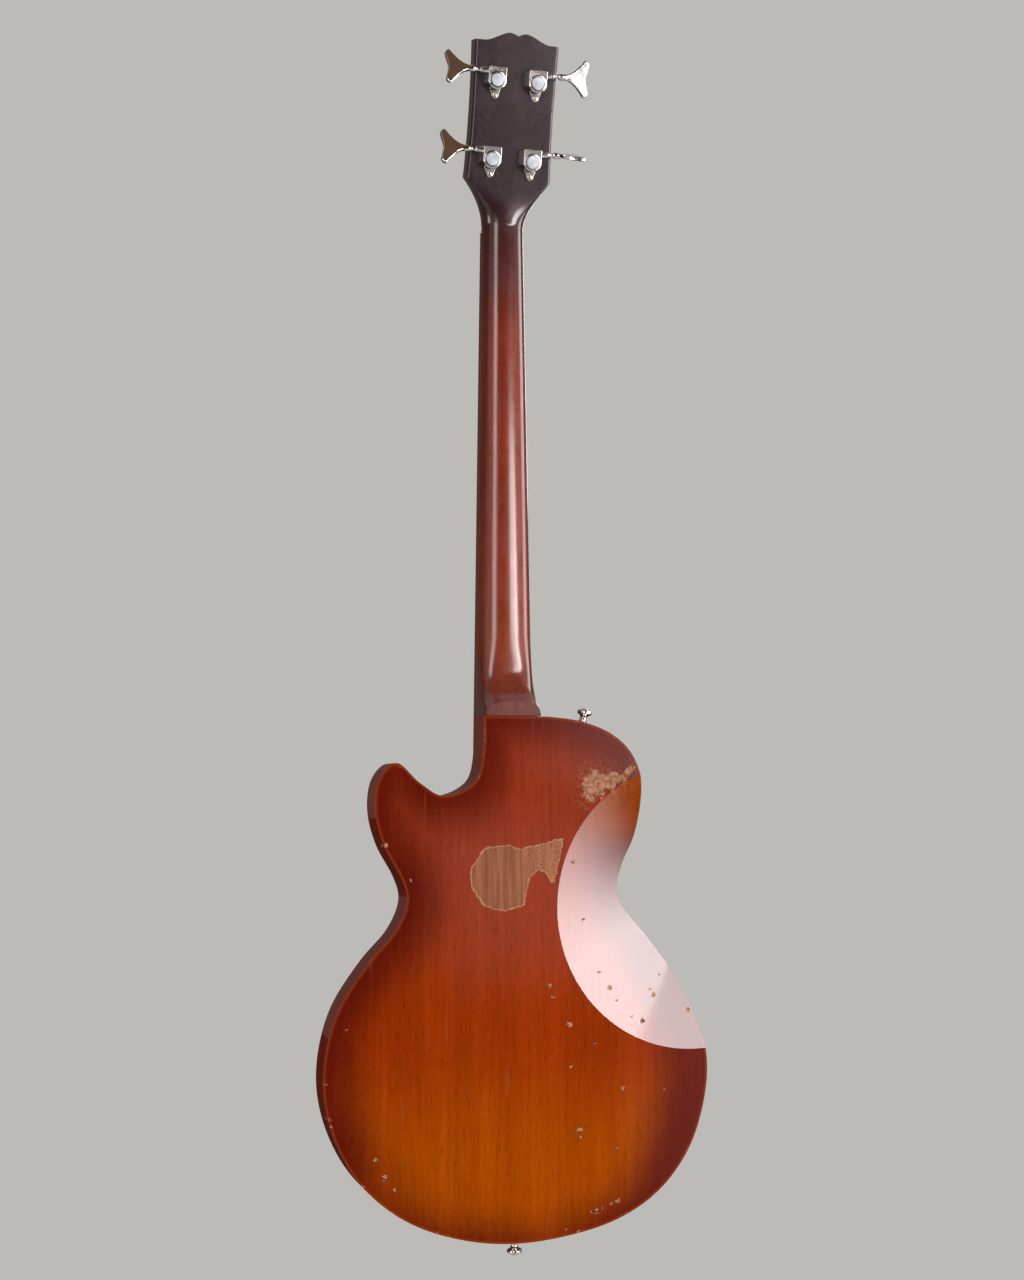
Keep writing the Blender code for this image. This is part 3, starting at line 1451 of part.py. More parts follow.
def make_saddle(index, base, look):
    """A block with a ridge under the string and a hole for its screw."""
    _, floor, _ = bridge_levels()
    x = string_x(index, BRIDGE_S)
    z = saddle_z(index)
    s = BRIDGE_S + SADDLE_OFFSETS[index]
    crest = neck_to_body(0.0, string_underside(s) - GAP, s).y
    half = SADDLE_LENGTH / 2
    shoulder = crest + SADDLE_SHOULDER
    profile = [
        (floor - GAP, -half), (shoulder, -half), (crest, -0.0005), (crest, 0.0005),
        (shoulder, half), (floor - GAP, half),
    ]
    bm = bmesh.new()
    side = SADDLE_WIDTH / 2
    rings = [[(across, y, along_z) for y, along_z in profile] for across in (-side, side)]
    add_rings(bm, rings)
    saddle = piece(f"saddle_{index + 1}", bm, look, base, (x, 0, z))
    hole = bmesh.new()
    bore = INTONATION_RADIUS + SCREW_GAP
    place = along("+Z", (0, intonation_y(), -0.02))
    add_lathe(hole, [(0, 0), (bore, 0), (bore, 0.04), (0, 0.04)], 6, place)
    return cut(saddle, tool(hole, base, (x, 0, z)))


def make_intonation_screw(index, base, look):
    """Its head bears on the front wall and its tip turns in the rear block."""
    x = string_x(index, BRIDGE_S)
    front = bridge_z() + BRIDGE_FRONT + GAP
    length = BRIDGE_FRONT + GAP + TROUGH_HALF + 0.0030
    head = SMALL_HEAD_RADIUS
    bm = bmesh.new()
    add_lathe(bm, [
        (0, -length), (INTONATION_RADIUS, -length), (INTONATION_RADIUS, 0), (head, 0),
        (head - 0.0004, 0.0018), (0, 0.0018),
    ], 7, along("+Z"))
    name = f"intonation_screw_{index + 1}"
    return piece(name, bm, look, base, (x, intonation_y(), front))


# Pickups

def pickup_top(number):
    """Y of a pickup's top, a set distance below the strings."""
    z = PICKUP_PLACES[number]
    return neck_to_body(0.0, string_underside(z), z).y + PICKUP_CLEARANCE


def pole_places(number):
    z = PICKUP_PLACES[number]
    return [(string_x(index, z), z) for index in range(STRING_COUNT)]


def make_pickup_ring(number, base, look):
    """A mounting frame with its four corner screws and the two that set the pickup's height."""
    z = PICKUP_PLACES[number]
    outer = rounded_box(RING_HALF_LENGTH, RING_HALF_WIDTH, 0.005, 2, (0.0, z))
    inner = rounded_box(
        PICKUP_HALF_LENGTH + 2 * GAP, PICKUP_HALF_WIDTH + 2 * GAP, PICKUP_CORNER, 2, (0.0, z)
    )
    foot = FRONT - GAP
    top = FRONT - RING_RISES[number]
    draw = 1 - 0.0012 / RING_HALF_WIDTH
    upper = [(x * draw, z + (zz - z) * draw) for x, zz in outer]
    bm = bmesh.new()
    add_rings(bm, [
        [(x, foot, zz) for x, zz in outer], [(x, top, zz) for x, zz in upper],
        [(x, top, zz) for x, zz in inner], [(x, foot, zz) for x, zz in inner],
    ], wrap=True)
    ring = piece(f"pickup_ring_{PICKUP_NAMES[number]}", bm, look, base)
    screws = bmesh.new()
    for x, zz in ring_screw_places(number):
        place = along("-Y", (x, top, zz))
        add_screw(screws, place, WOOD_SCREW_RADIUS, RING_SCREW_LENGTH, RING_HEAD_RADIUS, 0.0009)
    depth = pickup_top(number) + PICKUP_HEIGHT + PLATE_GAUGE + 0.0020 - top
    for x in (-height_screw_x(), height_screw_x()):
        add_screw(screws, along("-Y", (x, top, z)), WOOD_SCREW_RADIUS, depth, RING_HEAD_RADIUS, 0.0010)
    return fuse(ring, tool(screws, base))


def make_pickup_cover(number, base, look):
    """A pressed metal cover, open underneath, with a hole for each pole."""
    z = PICKUP_PLACES[number]
    top = pickup_top(number)
    foot = top + PICKUP_HEIGHT
    soft = 0.0012
    outer = rounded_box(PICKUP_HALF_LENGTH, PICKUP_HALF_WIDTH, PICKUP_CORNER, 2, (0.0, z))
    inner = rounded_box(
        PICKUP_HALF_LENGTH - PICKUP_WALL, PICKUP_HALF_WIDTH - PICKUP_WALL,
        PICKUP_CORNER - PICKUP_WALL, 2, (0.0, z),
    )
    lid = rounded_box(
        PICKUP_HALF_LENGTH - soft, PICKUP_HALF_WIDTH - soft, PICKUP_CORNER - soft, 2, (0.0, z)
    )
    bm = bmesh.new()
    outside = add_rings(bm, [
        [(x, foot, zz) for x, zz in outer], [(x, top + soft, zz) for x, zz in outer],
        [(x, top, zz) for x, zz in lid],
    ], close_start=False)
    inside = add_rings(bm, [
        [(x, foot, zz) for x, zz in inner], [(x, top + PICKUP_WALL, zz) for x, zz in inner],
    ], close_start=False)
    for i in range(len(outer)):
        j = (i + 1) % len(outer)
        bm.faces.new((outside[0][i], inside[0][i], inside[0][j], outside[0][j]))
    cover = piece(f"pickup_cover_{PICKUP_NAMES[number]}", bm, look, base)
    holes = bmesh.new()
    for place in pole_places(number):
        add_plate(holes, circle(POLE_RADIUS + 2 * GAP, 8, place), (top - 0.005, top + 0.004))
    return cut(cover, tool(holes, base))


def make_pickup_coil(number, base, look):
    """The coil block with its four poles, on a baseplate whose ears take the height screws."""
    z = PICKUP_PLACES[number]
    top = pickup_top(number) + PICKUP_WALL + GAP
    foot = pickup_top(number) + PICKUP_HEIGHT + GAP
    ears = PICKUP_HALF_LENGTH + COIL_EAR
    bm = bmesh.new()
    plan = rounded_box(ears, PICKUP_HALF_WIDTH * 0.7, 0.003, 1, (0.0, z))
    add_plate(bm, plan, (foot, foot + PLATE_GAUGE))
    coil = piece(f"pickup_coil_{PICKUP_NAMES[number]}", bm, look, base)
    block = bmesh.new()
    half = PICKUP_HALF_LENGTH - PICKUP_WALL - 0.0010
    plan = rounded_box(half, PICKUP_HALF_WIDTH * 0.66, 0.006, 2, (0.0, z))
    add_plate(block, plan, (top, foot + PLATE_GAUGE / 2))
    poles = bmesh.new()
    for x, zz in pole_places(number):
        level = pickup_top(number)
        add_lathe(poles, [
            (0, -POLE_LENGTH), (POLE_RADIUS, -POLE_LENGTH), (POLE_RADIUS, POLE_RISE), (0, POLE_RISE),
        ], 8, along("-Y", (x, level, zz)))
    fuse(coil, tool(block, base), tool(poles, base))
    holes = bmesh.new()
    for x in (-height_screw_x(), height_screw_x()):
        plan = circle(WOOD_SCREW_RADIUS + SCREW_GAP, 6, (x, z))
        add_plate(holes, plan, (FRONT - 0.02, FRONT + 0.03))
    return cut(coil, tool(holes, base))


def make_leads(base, look):
    """A shielded lead from each pickup, laid along the channels to the control cavity."""
    (neck_start, _), (bridge_start, bridge_end) = channel_runs()
    depth = neck_start[1]
    floor = FRONT + PICKUP_CAVITY_DEPTH - LEAD_RADIUS - GAP
    upper, lower = PICKUP_PLACES
    x = neck_start[0]
    first = [
        (x, floor, upper), (x, floor, upper - 0.0080), (x, depth + 0.0020, upper - 0.0140),
        (x, depth, upper - 0.0195), (x, depth, lower + 0.0195), (x, depth + 0.0020, lower + 0.0140),
        (x + 0.001, floor, lower + 0.0080), (x + 0.008, floor, lower),
    ]
    second = [(x + 0.010, floor, lower - 0.0080), (x + 0.015, floor, lower - 0.0110)]
    ahead = Vector(bridge_end) - Vector(bridge_start)
    across = Vector((ahead.z, 0, -ahead.x)).normalized() * (LEAD_RADIUS + GAP)
    run = [Vector(bridge_start) + ahead * f for f in (0.12, 0.24, 0.96)]
    for name, start, side in zip(PICKUP_NAMES, (first, second), (-1, 1)):
        bm = bmesh.new()
        path = start + [tuple(p + across * side) for p in run]
        add_tube(bm, path, LEAD_RADIUS, 6)
        piece(f"pickup_lead_{name}", bm, look, base)


# Controls

def plate_levels():
    near = FRONT - GAP
    return near, near - CONTROL_PLATE_GAUGE


def make_control_plate(base, look):
    """The plate over the control cavity, with its screws."""
    near, far = plate_levels()
    plan = rounded(CONTROL_OUTLINE, CONTROL_CORNER, 2)
    middle = sum((Vector(p) for p in plan), Vector((0.0, 0.0))) / len(plan)
    bm = bmesh.new()
    add_plate(bm, plan, (far, far + 0.0007, near), (0.0007, 0, 0), middle)
    plate = piece("control_plate", bm, look, base)
    screws = bmesh.new()
    for x, z in plate_screw_places():
        place = along("-Y", (x, far, z))
        add_screw(screws, place, WOOD_SCREW_RADIUS, CONTROL_SCREW_LENGTH, SMALL_HEAD_RADIUS, 0.0010)
    fuse(plate, tool(screws, base))
    holes = bmesh.new()
    for place in KNOB_PLACES + (JACK_PLACE,):
        add_plate(holes, circle(BUSH_RADIUS + 2 * GAP, 10, place), (far - 0.01, near + 0.01))
    plan = circle(SWITCH_NECK_RADIUS + 2 * GAP, 10, SWITCH_PLACE)
    add_plate(holes, plan, (far - 0.01, near + 0.01))
    return cut(plate, tool(holes, base))


def panel_nut(base, place):
    """A hexagon nut on the plate, to be joined with the bush that carries it."""
    level = plate_levels()[1] - GAP
    bm = bmesh.new()
    add_plate(bm, circle(PANEL_NUT_RADIUS, 6, place), (level - PANEL_NUT_HEIGHT, level))
    return tool(bm, base)


def make_potentiometer(index, base, look):
    """A round can under the plate; its bush comes up through it, with a nut, and takes the knob's shaft."""
    x, z = KNOB_PLACES[index]
    bore = POT_SHAFT_RADIUS + 2 * RUNNING_GAP
    rise = FRONT - plate_levels()[1] + PANEL_NUT_HEIGHT + 2 * GAP
    bm = bmesh.new()
    add_lathe(bm, [
        (0, -POT_HEIGHT), (POT_RADIUS, -POT_HEIGHT), (POT_RADIUS, 0.0), (BUSH_RADIUS, 0.0),
        (BUSH_RADIUS, rise), (0, rise),
    ], 10, along("-Y", (x, FRONT, z)))
    pot = piece(f"potentiometer_{index + 1}", bm, look, base)
    fuse(pot, panel_nut(base, (x, z)))
    hole = bmesh.new()
    add_plate(hole, circle(bore, 8, (x, z)), (FRONT - 0.02, FRONT + POT_HEIGHT * 0.7))
    return cut(pot, tool(hole, base))


def knob_foot():
    """Y of a knob's underside, clear of its nut."""
    return plate_levels()[1] - PANEL_NUT_HEIGHT - 3 * GAP - 0.0004


def make_knob(index, base, look):
    """The knob and, pressed in it, the potentiometer's shaft."""
    x, z = KNOB_PLACES[index]
    foot = knob_foot()
    sink = foot - FRONT - POT_HEIGHT * 0.7 + RUNNING_GAP
    bm = bmesh.new()
    add_lathe(bm, [
        (0, sink), (POT_SHAFT_RADIUS, sink), (POT_SHAFT_RADIUS, 0.0), (KNOB_RADIUS, 0.0),
        (KNOB_RADIUS, 0.0030), (KNOB_TOP_RADIUS, KNOB_HEIGHT - 0.0012),
        (KNOB_TOP_RADIUS - 0.0012, KNOB_HEIGHT), (0, KNOB_HEIGHT),
    ], 14, along("-Y"))
    names = ("volume_knob_neck", "tone_knob_neck", "volume_knob_bridge", "tone_knob_bridge")
    knob = piece(names[index], bm, look, base, (x, foot, z))
    mark = bmesh.new()
    add_box(
        mark, (-0.0004, -KNOB_HEIGHT - 0.002, KNOB_TOP_RADIUS * 0.35),
        (0.0004, -KNOB_HEIGHT + 0.0006, KNOB_TOP_RADIUS * 1.2),
    )
    return cut(knob, tool(mark, base, (x, foot, z)))


def make_switch(base, look):
    """The switch under the plate: a frame with a threaded neck and the lever's opening."""
    x, z = SWITCH_PLACE
    bm = bmesh.new()
    add_box(
        bm, (-SWITCH_HALF_WIDTH, FRONT, -SWITCH_HALF_LENGTH),
        (SWITCH_HALF_WIDTH, FRONT + SWITCH_DEPTH, SWITCH_HALF_LENGTH),
    )
    switch = piece("selector_switch", bm, look, base, (x, 0, z))
    neck = bmesh.new()
    radius = SWITCH_NECK_RADIUS
    add_lathe(neck, [
        (0, -0.004), (radius, -0.004), (radius, SWITCH_NECK_RISE), (0, SWITCH_NECK_RISE),
    ], 10, along("-Y", (0, FRONT, 0)))
    fuse(switch, tool(neck, base, (x, 0, z)), panel_nut(base, (x, z)))
    bore = bmesh.new()
    add_lathe(bore, [
        (0, -0.0110), (SWITCH_BORE, -0.0110), (SWITCH_BORE, SWITCH_NECK_RISE + 0.005),
        (0, SWITCH_NECK_RISE + 0.005),
    ], 10, along("-Y", (0, FRONT, 0)))
    return cut(switch, tool(bore, base, (x, 0, z)))


def make_switch_lever(base, look):
    """It tilts about X on the ball in the switch's neck."""
    x, z = SWITCH_PLACE
    ball = SWITCH_BORE - 0.0004
    bm = bmesh.new()
    add_lathe(bm, [
        (0, -0.0070), (0.0012, -0.0066), (0.0012, -0.0034), (0.0030, -0.0020), (ball, 0.0),
        (0.0030, 0.0020), (0.0014, 0.0034), (0.0015, 0.0125), (0.0028, 0.0150), (0.0034, 0.0190),
        (0.0024, 0.0218), (0, 0.0225),
    ], 8, along("-Y"))
    return piece("switch_lever", bm, look, base, (x, FRONT - 0.0010, z))


def make_jack(base, look):
    """A barrel that takes the plug, with its nut above the plate and its contact spring below."""
    x, z = JACK_PLACE
    rise = FRONT - plate_levels()[1] + PANEL_NUT_HEIGHT + 2 * GAP + 0.0006
    bm = bmesh.new()
    add_lathe(bm, [
        (0, rise), (BUSH_RADIUS, rise), (BUSH_RADIUS, 0.0), (JACK_BARREL_RADIUS, 0.0),
        (JACK_BARREL_RADIUS, -JACK_BARREL_DEPTH), (0, -JACK_BARREL_DEPTH),
    ], 10, along("-Y", (0, FRONT, 0)))
    jack = piece("jack_socket", bm, look, base, (x, 0, z))
    spring = bmesh.new()
    path = [
        (0.0001, -0.0076), (0.0160, -0.0076), (0.0200, -0.0045), (0.0210, -0.0036),
        (0.0206, -0.0030), (0.0194, -0.0041), (0.0156, -0.0068), (0.0001, -0.0068),
    ]
    add_rings(spring, [
        [(across, FRONT + 0.0010 + y, zz) for y, zz in path]
        for across in (-SPRING_HALF_WIDTH, SPRING_HALF_WIDTH)
    ])
    fuse(jack, tool(spring, base, (x, 0, z)), panel_nut(base, (x, z)))
    bore = bmesh.new()
    add_plate(bore, circle(JACK_BORE, 10, (x, z)), (FRONT - 0.02, FRONT + 0.01))
    return cut(jack, tool(bore, base))


# Strap buttons

def make_strap_buttons(base, look):
    """Turned buttons, each with the screw that holds it."""
    names = ("strap_button_upper", "strap_button_lower")
    rim = STRAP_RIM_RADIUS
    for name, (place, turn) in zip(names, strap_places()):
        bm = bmesh.new()
        add_lathe(bm, [
            (0, -STRAP_SCREW_LENGTH), (STRAP_SCREW_RADIUS * 0.8, 0.0020 - STRAP_SCREW_LENGTH),
            (STRAP_SCREW_RADIUS, 0.0), (rim - 0.0002, 0.0), (rim - 0.0008, 0.0010),
            (STRAP_STEM_RADIUS + 0.0004, 0.0030), (STRAP_STEM_RADIUS, 0.0058),
            (rim - 0.0006, STRAP_HEIGHT - 0.0036), (rim, STRAP_HEIGHT - 0.0026),
            (rim, STRAP_HEIGHT - 0.0012), (rim - 0.0010, STRAP_HEIGHT), (0.0040, STRAP_HEIGHT),
            (0.0034, STRAP_HEIGHT + 0.0013), (0, STRAP_HEIGHT + 0.0017),
        ], 10, Matrix.Translation(place) @ turn)
        piece(name, bm, look, base)


# Assembly

def build():
    clear_scene()
    sunburst = material("sunburst_lacquer", (0.30, 0.075, 0.02), 0.25)
    neck_finish = material("dark_cherry_lacquer", (0.12, 0.02, 0.012), 0.25)
    black = material("black_face", (0.012, 0.012, 0.012), 0.3)
    rosewood = material("rosewood", (0.07, 0.03, 0.018), 0.55)
    bone = material("bone", (0.72, 0.66, 0.52), 0.45)
    chrome = material("chrome", (0.72, 0.73, 0.74), 0.12, 1.0)
    nickel = material("nickel_steel", (0.62, 0.60, 0.56), 0.28, 1.0)
    brass = material("brass", (0.65, 0.47, 0.20), 0.3, 1.0)
    steel = material("steel", (0.42, 0.42, 0.43), 0.4, 1.0)
    cast = material("cast_metal", (0.60, 0.60, 0.60), 0.25, 1.0)
    bobbin = material("coil_tape", (0.03, 0.028, 0.025), 0.6)
    braid = material("braided_lead", (0.40, 0.38, 0.33), 0.5)
    amber = material("amber_knob", (0.10, 0.05, 0.02), 0.25)
    cream = material("cream_tip", (0.62, 0.52, 0.34), 0.4)

    hang = head_to_neck(0.0, HEAD_THICKNESS / 2, HANG_HEIGHT)
    hang = neck_to_body(hang.x, -hang.y, hang.z)
    base = datum("body_datum", None, -hang)
    neck_datum = datum("neck_datum", base, (0, FRONT, 0), (-NECK_PITCH, 0, 0))
    head_datum = datum("head_datum", neck_datum, (0, 0, HEAD_S), (-HEAD_TILT, 0, 0))
    bpy.context.view_layer.update()

    make_body(base, sunburst)
    make_neck(base, neck_datum, head_datum, neck_finish)
    make_veneer(head_datum, black)
    make_fingerboard(neck_datum, rosewood)
    make_nut(neck_datum, bone)
    make_truss_rod(neck_datum, steel, brass)
    make_truss_cover(head_datum, black)
    for index, frame in enumerate(tuner_datums(head_datum)):
        bpy.context.view_layer.update()
        make_housing(index, frame, chrome)
        make_key(index, frame, chrome)
        make_post(index, frame, nickel)
        make_bushing(index, head_datum, chrome)
    make_bridge(base, cast)
    for index in range(STRING_COUNT):
        make_saddle(index, base, nickel)
        make_intonation_screw(index, base, nickel)
        make_string(index, base, steel)
    for number in range(len(PICKUP_PLACES)):
        make_pickup_ring(number, base, black)
        make_pickup_cover(number, base, chrome)
        make_pickup_coil(number, base, bobbin)
    make_leads(base, braid)
    make_control_plate(base, black)
    for index in range(len(KNOB_PLACES)):
        make_potentiometer(index, base, steel)
        make_knob(index, base, amber)
    make_switch(base, steel)
    make_switch_lever(base, cream)
    make_jack(base, nickel)
    make_strap_buttons(base, chrome)


build()
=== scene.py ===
"""Makes the visible pieces and finishes of a worn electric bass guitar round its CAD frame."""

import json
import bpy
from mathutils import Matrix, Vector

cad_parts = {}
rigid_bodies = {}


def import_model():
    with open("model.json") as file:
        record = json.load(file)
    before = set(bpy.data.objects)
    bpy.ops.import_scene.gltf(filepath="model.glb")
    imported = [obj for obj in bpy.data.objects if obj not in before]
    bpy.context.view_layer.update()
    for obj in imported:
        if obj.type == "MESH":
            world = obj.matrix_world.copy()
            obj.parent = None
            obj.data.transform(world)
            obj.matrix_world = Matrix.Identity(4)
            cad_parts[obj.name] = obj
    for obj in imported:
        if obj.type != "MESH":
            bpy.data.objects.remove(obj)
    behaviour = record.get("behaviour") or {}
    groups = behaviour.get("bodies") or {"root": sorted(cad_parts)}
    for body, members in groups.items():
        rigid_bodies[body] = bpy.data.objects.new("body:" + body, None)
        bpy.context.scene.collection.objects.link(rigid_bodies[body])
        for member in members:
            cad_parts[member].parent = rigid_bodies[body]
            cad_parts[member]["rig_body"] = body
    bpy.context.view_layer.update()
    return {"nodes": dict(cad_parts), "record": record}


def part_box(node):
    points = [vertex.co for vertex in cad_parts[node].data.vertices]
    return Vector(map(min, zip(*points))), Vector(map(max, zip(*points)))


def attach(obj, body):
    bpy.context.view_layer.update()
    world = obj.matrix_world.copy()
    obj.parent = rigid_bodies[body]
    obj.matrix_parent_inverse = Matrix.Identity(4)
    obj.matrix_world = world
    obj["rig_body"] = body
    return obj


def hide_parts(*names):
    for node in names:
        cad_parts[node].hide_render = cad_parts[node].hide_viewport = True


bl_info = {
    "name": "Electric bass guitar",
    "version": (1, 0, 0),
    "blender": (4, 5, 0),
    "location": "3D View > Sidebar > Bass",
    "description": "Pieces, finishes and a plain studio for a worn electric bass guitar",
    "category": "Object",
}

from contextlib import contextmanager
from functools import cache
from math import acos, atan2, copysign, cos, hypot, pi, radians, sin, sqrt, tan

import bmesh
import bpy
from bpy.props import FloatProperty, FloatVectorProperty, IntProperty, PointerProperty
from bpy.types import Operator, Panel, PropertyGroup
from mathutils import Matrix, Vector

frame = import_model()

# Places taken from the frame, in metres
BODY_LOW, BODY_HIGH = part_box("body")
FRONT = BODY_LOW.y - BODY_HIGH.y
BASE = Vector((0.0, BODY_HIGH.y, BODY_HIGH.z))

# Sizes that the frame doesn't state, as in the part's source
SCALE_LENGTH = 0.7747
JOINT_FRET = 15
FRET_COUNT = 20
NUT_WIDTH = 0.039
NECK_TAPER = 0.0318
NECK_PITCH = radians(1.8)
NUT_THICKNESS = 0.0045
GAP = 0.0003
NUT_S = SCALE_LENGTH * (1 - 2 ** (-JOINT_FRET / 12))
HEAD_S = NUT_S + NUT_THICKNESS + GAP
HEAD_TILT = radians(15.0)
HEAD_THICKNESS = 0.014
BODY_EDGE_RADIUS = 0.0026
SCOOP_CENTRE = (-0.167, -0.173)
SCOOP_RADIUS = 0.129
SCOOP_SLOPE = radians(12.0)

# The body's outline, clockwise from the neck joint on the cutaway side
BODY_OUTLINE = (
    (0.028, 0.0), (0.0288, -0.03), (0.0365, -0.058), (0.0646, -0.0707),
    (0.087, -0.059), (0.1077, -0.0413), (0.1235, -0.055), (0.1275, -0.0825),
    (0.12, -0.113), (0.104, -0.143), (0.0998, -0.164), (0.111, -0.189),
    (0.1344, -0.2149), (0.16, -0.2525), (0.1722, -0.2917), (0.1732, -0.3305),
    (0.1619, -0.3699), (0.14, -0.405), (0.104, -0.435), (0.06, -0.4535),
    (0.011, -0.462), (-0.04, -0.4595), (-0.09, -0.448), (-0.13, -0.4255),
    (-0.159, -0.391), (-0.1745, -0.35), (-0.1785, -0.31), (-0.169, -0.27),
    (-0.152, -0.234), (-0.13, -0.2025), (-0.1065, -0.1755), (-0.0985, -0.157),
    (-0.104, -0.134), (-0.115, -0.109), (-0.1203, -0.08), (-0.119, -0.053),
    (-0.108, -0.03), (-0.088, -0.014), (-0.06, -0.0042), (-0.027, 0.0),
)

# The frames that pieces are drawn in
moved_to = Matrix.Translation
TO_BODY = moved_to(BASE)
TO_NECK = TO_BODY @ moved_to((0, FRONT, 0)) @ Matrix.Rotation(-NECK_PITCH, 4, "X")
TO_HEAD = TO_NECK @ moved_to((0, 0, HEAD_S)) @ Matrix.Rotation(-HEAD_TILT, 4, "X")

# The camera, measured from the body's corner frame; its image is 1280 pixels high
IMAGE_HEIGHT = 1280
FOCAL_PIXELS = 1850.0
SENSOR_HEIGHT = 36.0
CAMERA_FROM_BASE = Vector((0.45843, 1.59401, -0.06566))
CAMERA_TURN = radians(16.0)
CAMERA_RISE = radians(4.62)
CAMERA_ROLL = radians(0.64)


def tone(red, green, blue):
    """A colour given on the 0 to 255 scale of a screen, as the shader reads it."""
    def linear(value):
        share = value / 255
        return share / 12.92 if share <= 0.04045 else ((share + 0.055) / 1.055) ** 2.4
    return (linear(red), linear(green), linear(blue), 1.0)


# Settings

def colour_setting(name, description, *screen):
    return FloatVectorProperty(
        name=name, description=description, subtype="COLOR", size=4, default=tone(*screen),
    )


class BassFinish(PropertyGroup):
    """The colours and wear of the instrument."""

    amber: colour_setting("Amber", "Middle of the sunburst", 167, 70, 1)
    copper: colour_setting("Copper", "Body at the waist, above the amber", 150, 49, 3)
    russet: colour_setting("Russet", "Upper body", 143, 49, 21)
    cherry: colour_setting("Cherry", "Rim of the sunburst", 98, 21, 8)
    bare_wood: colour_setting("Bare wood", "Wood where the lacquer is gone", 150, 92, 64)
    neck_red: colour_setting("Neck red", "Middle of the neck", 128, 40, 12)
    neck_dark: colour_setting("Neck dark", "Neck edges and headstock", 46, 28, 33)
    wear: FloatProperty(
        name="Wear", description="How much of the dings and chips shows", min=0.0, max=1.0, default=1.0,
    )
    gloss: FloatProperty(
        name="Lacquer roughness", description="Roughness of the lacquer's top", min=0.0, max=1.0,
        default=0.07,
    )


class BassSizes(PropertyGroup):
    """Sizes that only the looks use."""

    outline_steps: IntProperty(
        name="Outline steps", description="Points between two outline marks", min=1, max=16, default=8,
    )
    mesh_pitch: FloatProperty(
        name="Mesh pitch", description="Grid that carries the sunburst", unit="LENGTH", default=0.007,
    )
    round_segments: IntProperty(
        name="Round segments", description="Sides of turned pieces", min=12, max=96, default=40,
    )


class BassStudio(PropertyGroup):
    """The studio's tones and lamps."""

    backdrop: colour_setting("Backdrop", "Floor and background", 188, 187, 184)
    side_lamp: FloatProperty(
        name="Side lamp", description="The large panel beside the back", unit="POWER", default=62.0,
    )
    other_lamp: FloatProperty(
        name="Other lamp", description="The narrow panel on the cutaway side", unit="POWER", default=20.0,
    )
    front_lamp: FloatProperty(
        name="Front lamps", description="The panels that light the front", unit="POWER", default=60.0,
    )


# Outlines and solids

CREASE = 38

def smooth_curve(points, steps):
    """Points along a smooth open curve through the given points (Catmull-Rom)."""
    places = [Vector(p) for p in points]
    places = [places[0] * 2 - places[1]] + places + [places[-1] * 2 - places[-2]]
    curve = []
    for before, start, end, after in zip(places, places[1:], places[2:], places[3:]):
        for step in range(steps):
            t = step / steps
            curve.append(0.5 * (
                2 * start + (end - before) * t
                + (2 * before - 5 * start + 4 * end - after) * t ** 2
                + (3 * start - before - 3 * end + after) * t ** 3
            ))
    curve.append(places[-2])
    return curve


def circle(radius, count, centre=(0.0, 0.0)):
    """Points round a circle."""
    turn = 2 * pi / count
    return [
        (centre[0] + radius * cos(turn * i), centre[1] + radius * sin(turn * i))
        for i in range(count)
    ]


def rounded(corners, radius, steps):
    """A closed polygon with each corner replaced by an arc that touches both its sides."""
    outline = []
    count = len(corners)
    for i in range(count):
        corner = Vector(corners[i])
        back = (Vector(corners[i - 1]) - corner).normalized()
        ahead = (Vector(corners[(i + 1) % count]) - corner).normalized()
        half = back.angle(ahead) / 2
        centre = corner + (back + ahead).normalized() * radius / sin(half)
        start = corner + back * (radius / tan(half)) - centre
        end = corner + ahead * (radius / tan(half)) - centre
        sweep = start.angle_signed(end)
        for step in range(steps + 1):
            arm = start.copy()
            arm.rotate(Matrix.Rotation(-sweep * step / steps, 2))
            outline.append(tuple(centre + arm))
    return outline


def rounded_box(half_width, half_height, radius, steps, centre=(0.0, 0.0)):
    """A rectangle with rounded corners."""
    x, z = centre
    corners = [
        (x - half_width, z - half_height), (x + half_width, z - half_height),
        (x + half_width, z + half_height), (x - half_width, z + half_height),
    ]
    return rounded(corners, radius, steps)


def drawn_in(plan, amount):
    """The outline moved inwards, square to itself."""
    count = len(plan)
    area = sum(
        plan[i][0] * plan[(i + 1) % count][1] - plan[(i + 1) % count][0] * plan[i][1]
        for i in range(count)
    )
    side = 1 if area > 0 else -1
    moved = []
    for i in range(count):
        ahead = Vector(plan[(i + 1) % count]) - Vector(plan[i - 1])
        inward = Vector((-ahead.y, ahead.x)).normalized() * side
        moved.append(tuple(Vector(plan[i]) + inward * amount))
    return moved


def add_rings(bm, rings, close_start=True, close_end=True, wrap=False):
    """Joins rings of points, all of one count, into a skin, and closes its ends."""
    loops = [[bm.verts.new(p) for p in ring] for ring in rings]
    pairs = list(zip(loops, loops[1:]))
    if wrap:
        pairs.append((loops[-1], loops[0]))
    count = len(loops[0])
    for low, high in pairs:
        for i in range(count):
            j = (i + 1) % count
            bm.faces.new((low[i], low[j], high[j], high[i]))
    if close_start and not wrap:
        bm.faces.new(list(reversed(loops[0])))
    if close_end and not wrap:
        bm.faces.new(loops[-1])
    return loops


def quarter(steps):
    """The angles of a quarter turn."""
    return [pi / 2 * step / steps for step in range(steps + 1)]


def level(plan, y, inset=0.0):
    """An X-Z plan as a ring of points at a height, drawn in by an inset."""
    return [(x, y, z) for x, z in (drawn_in(plan, inset) if inset else plan)]


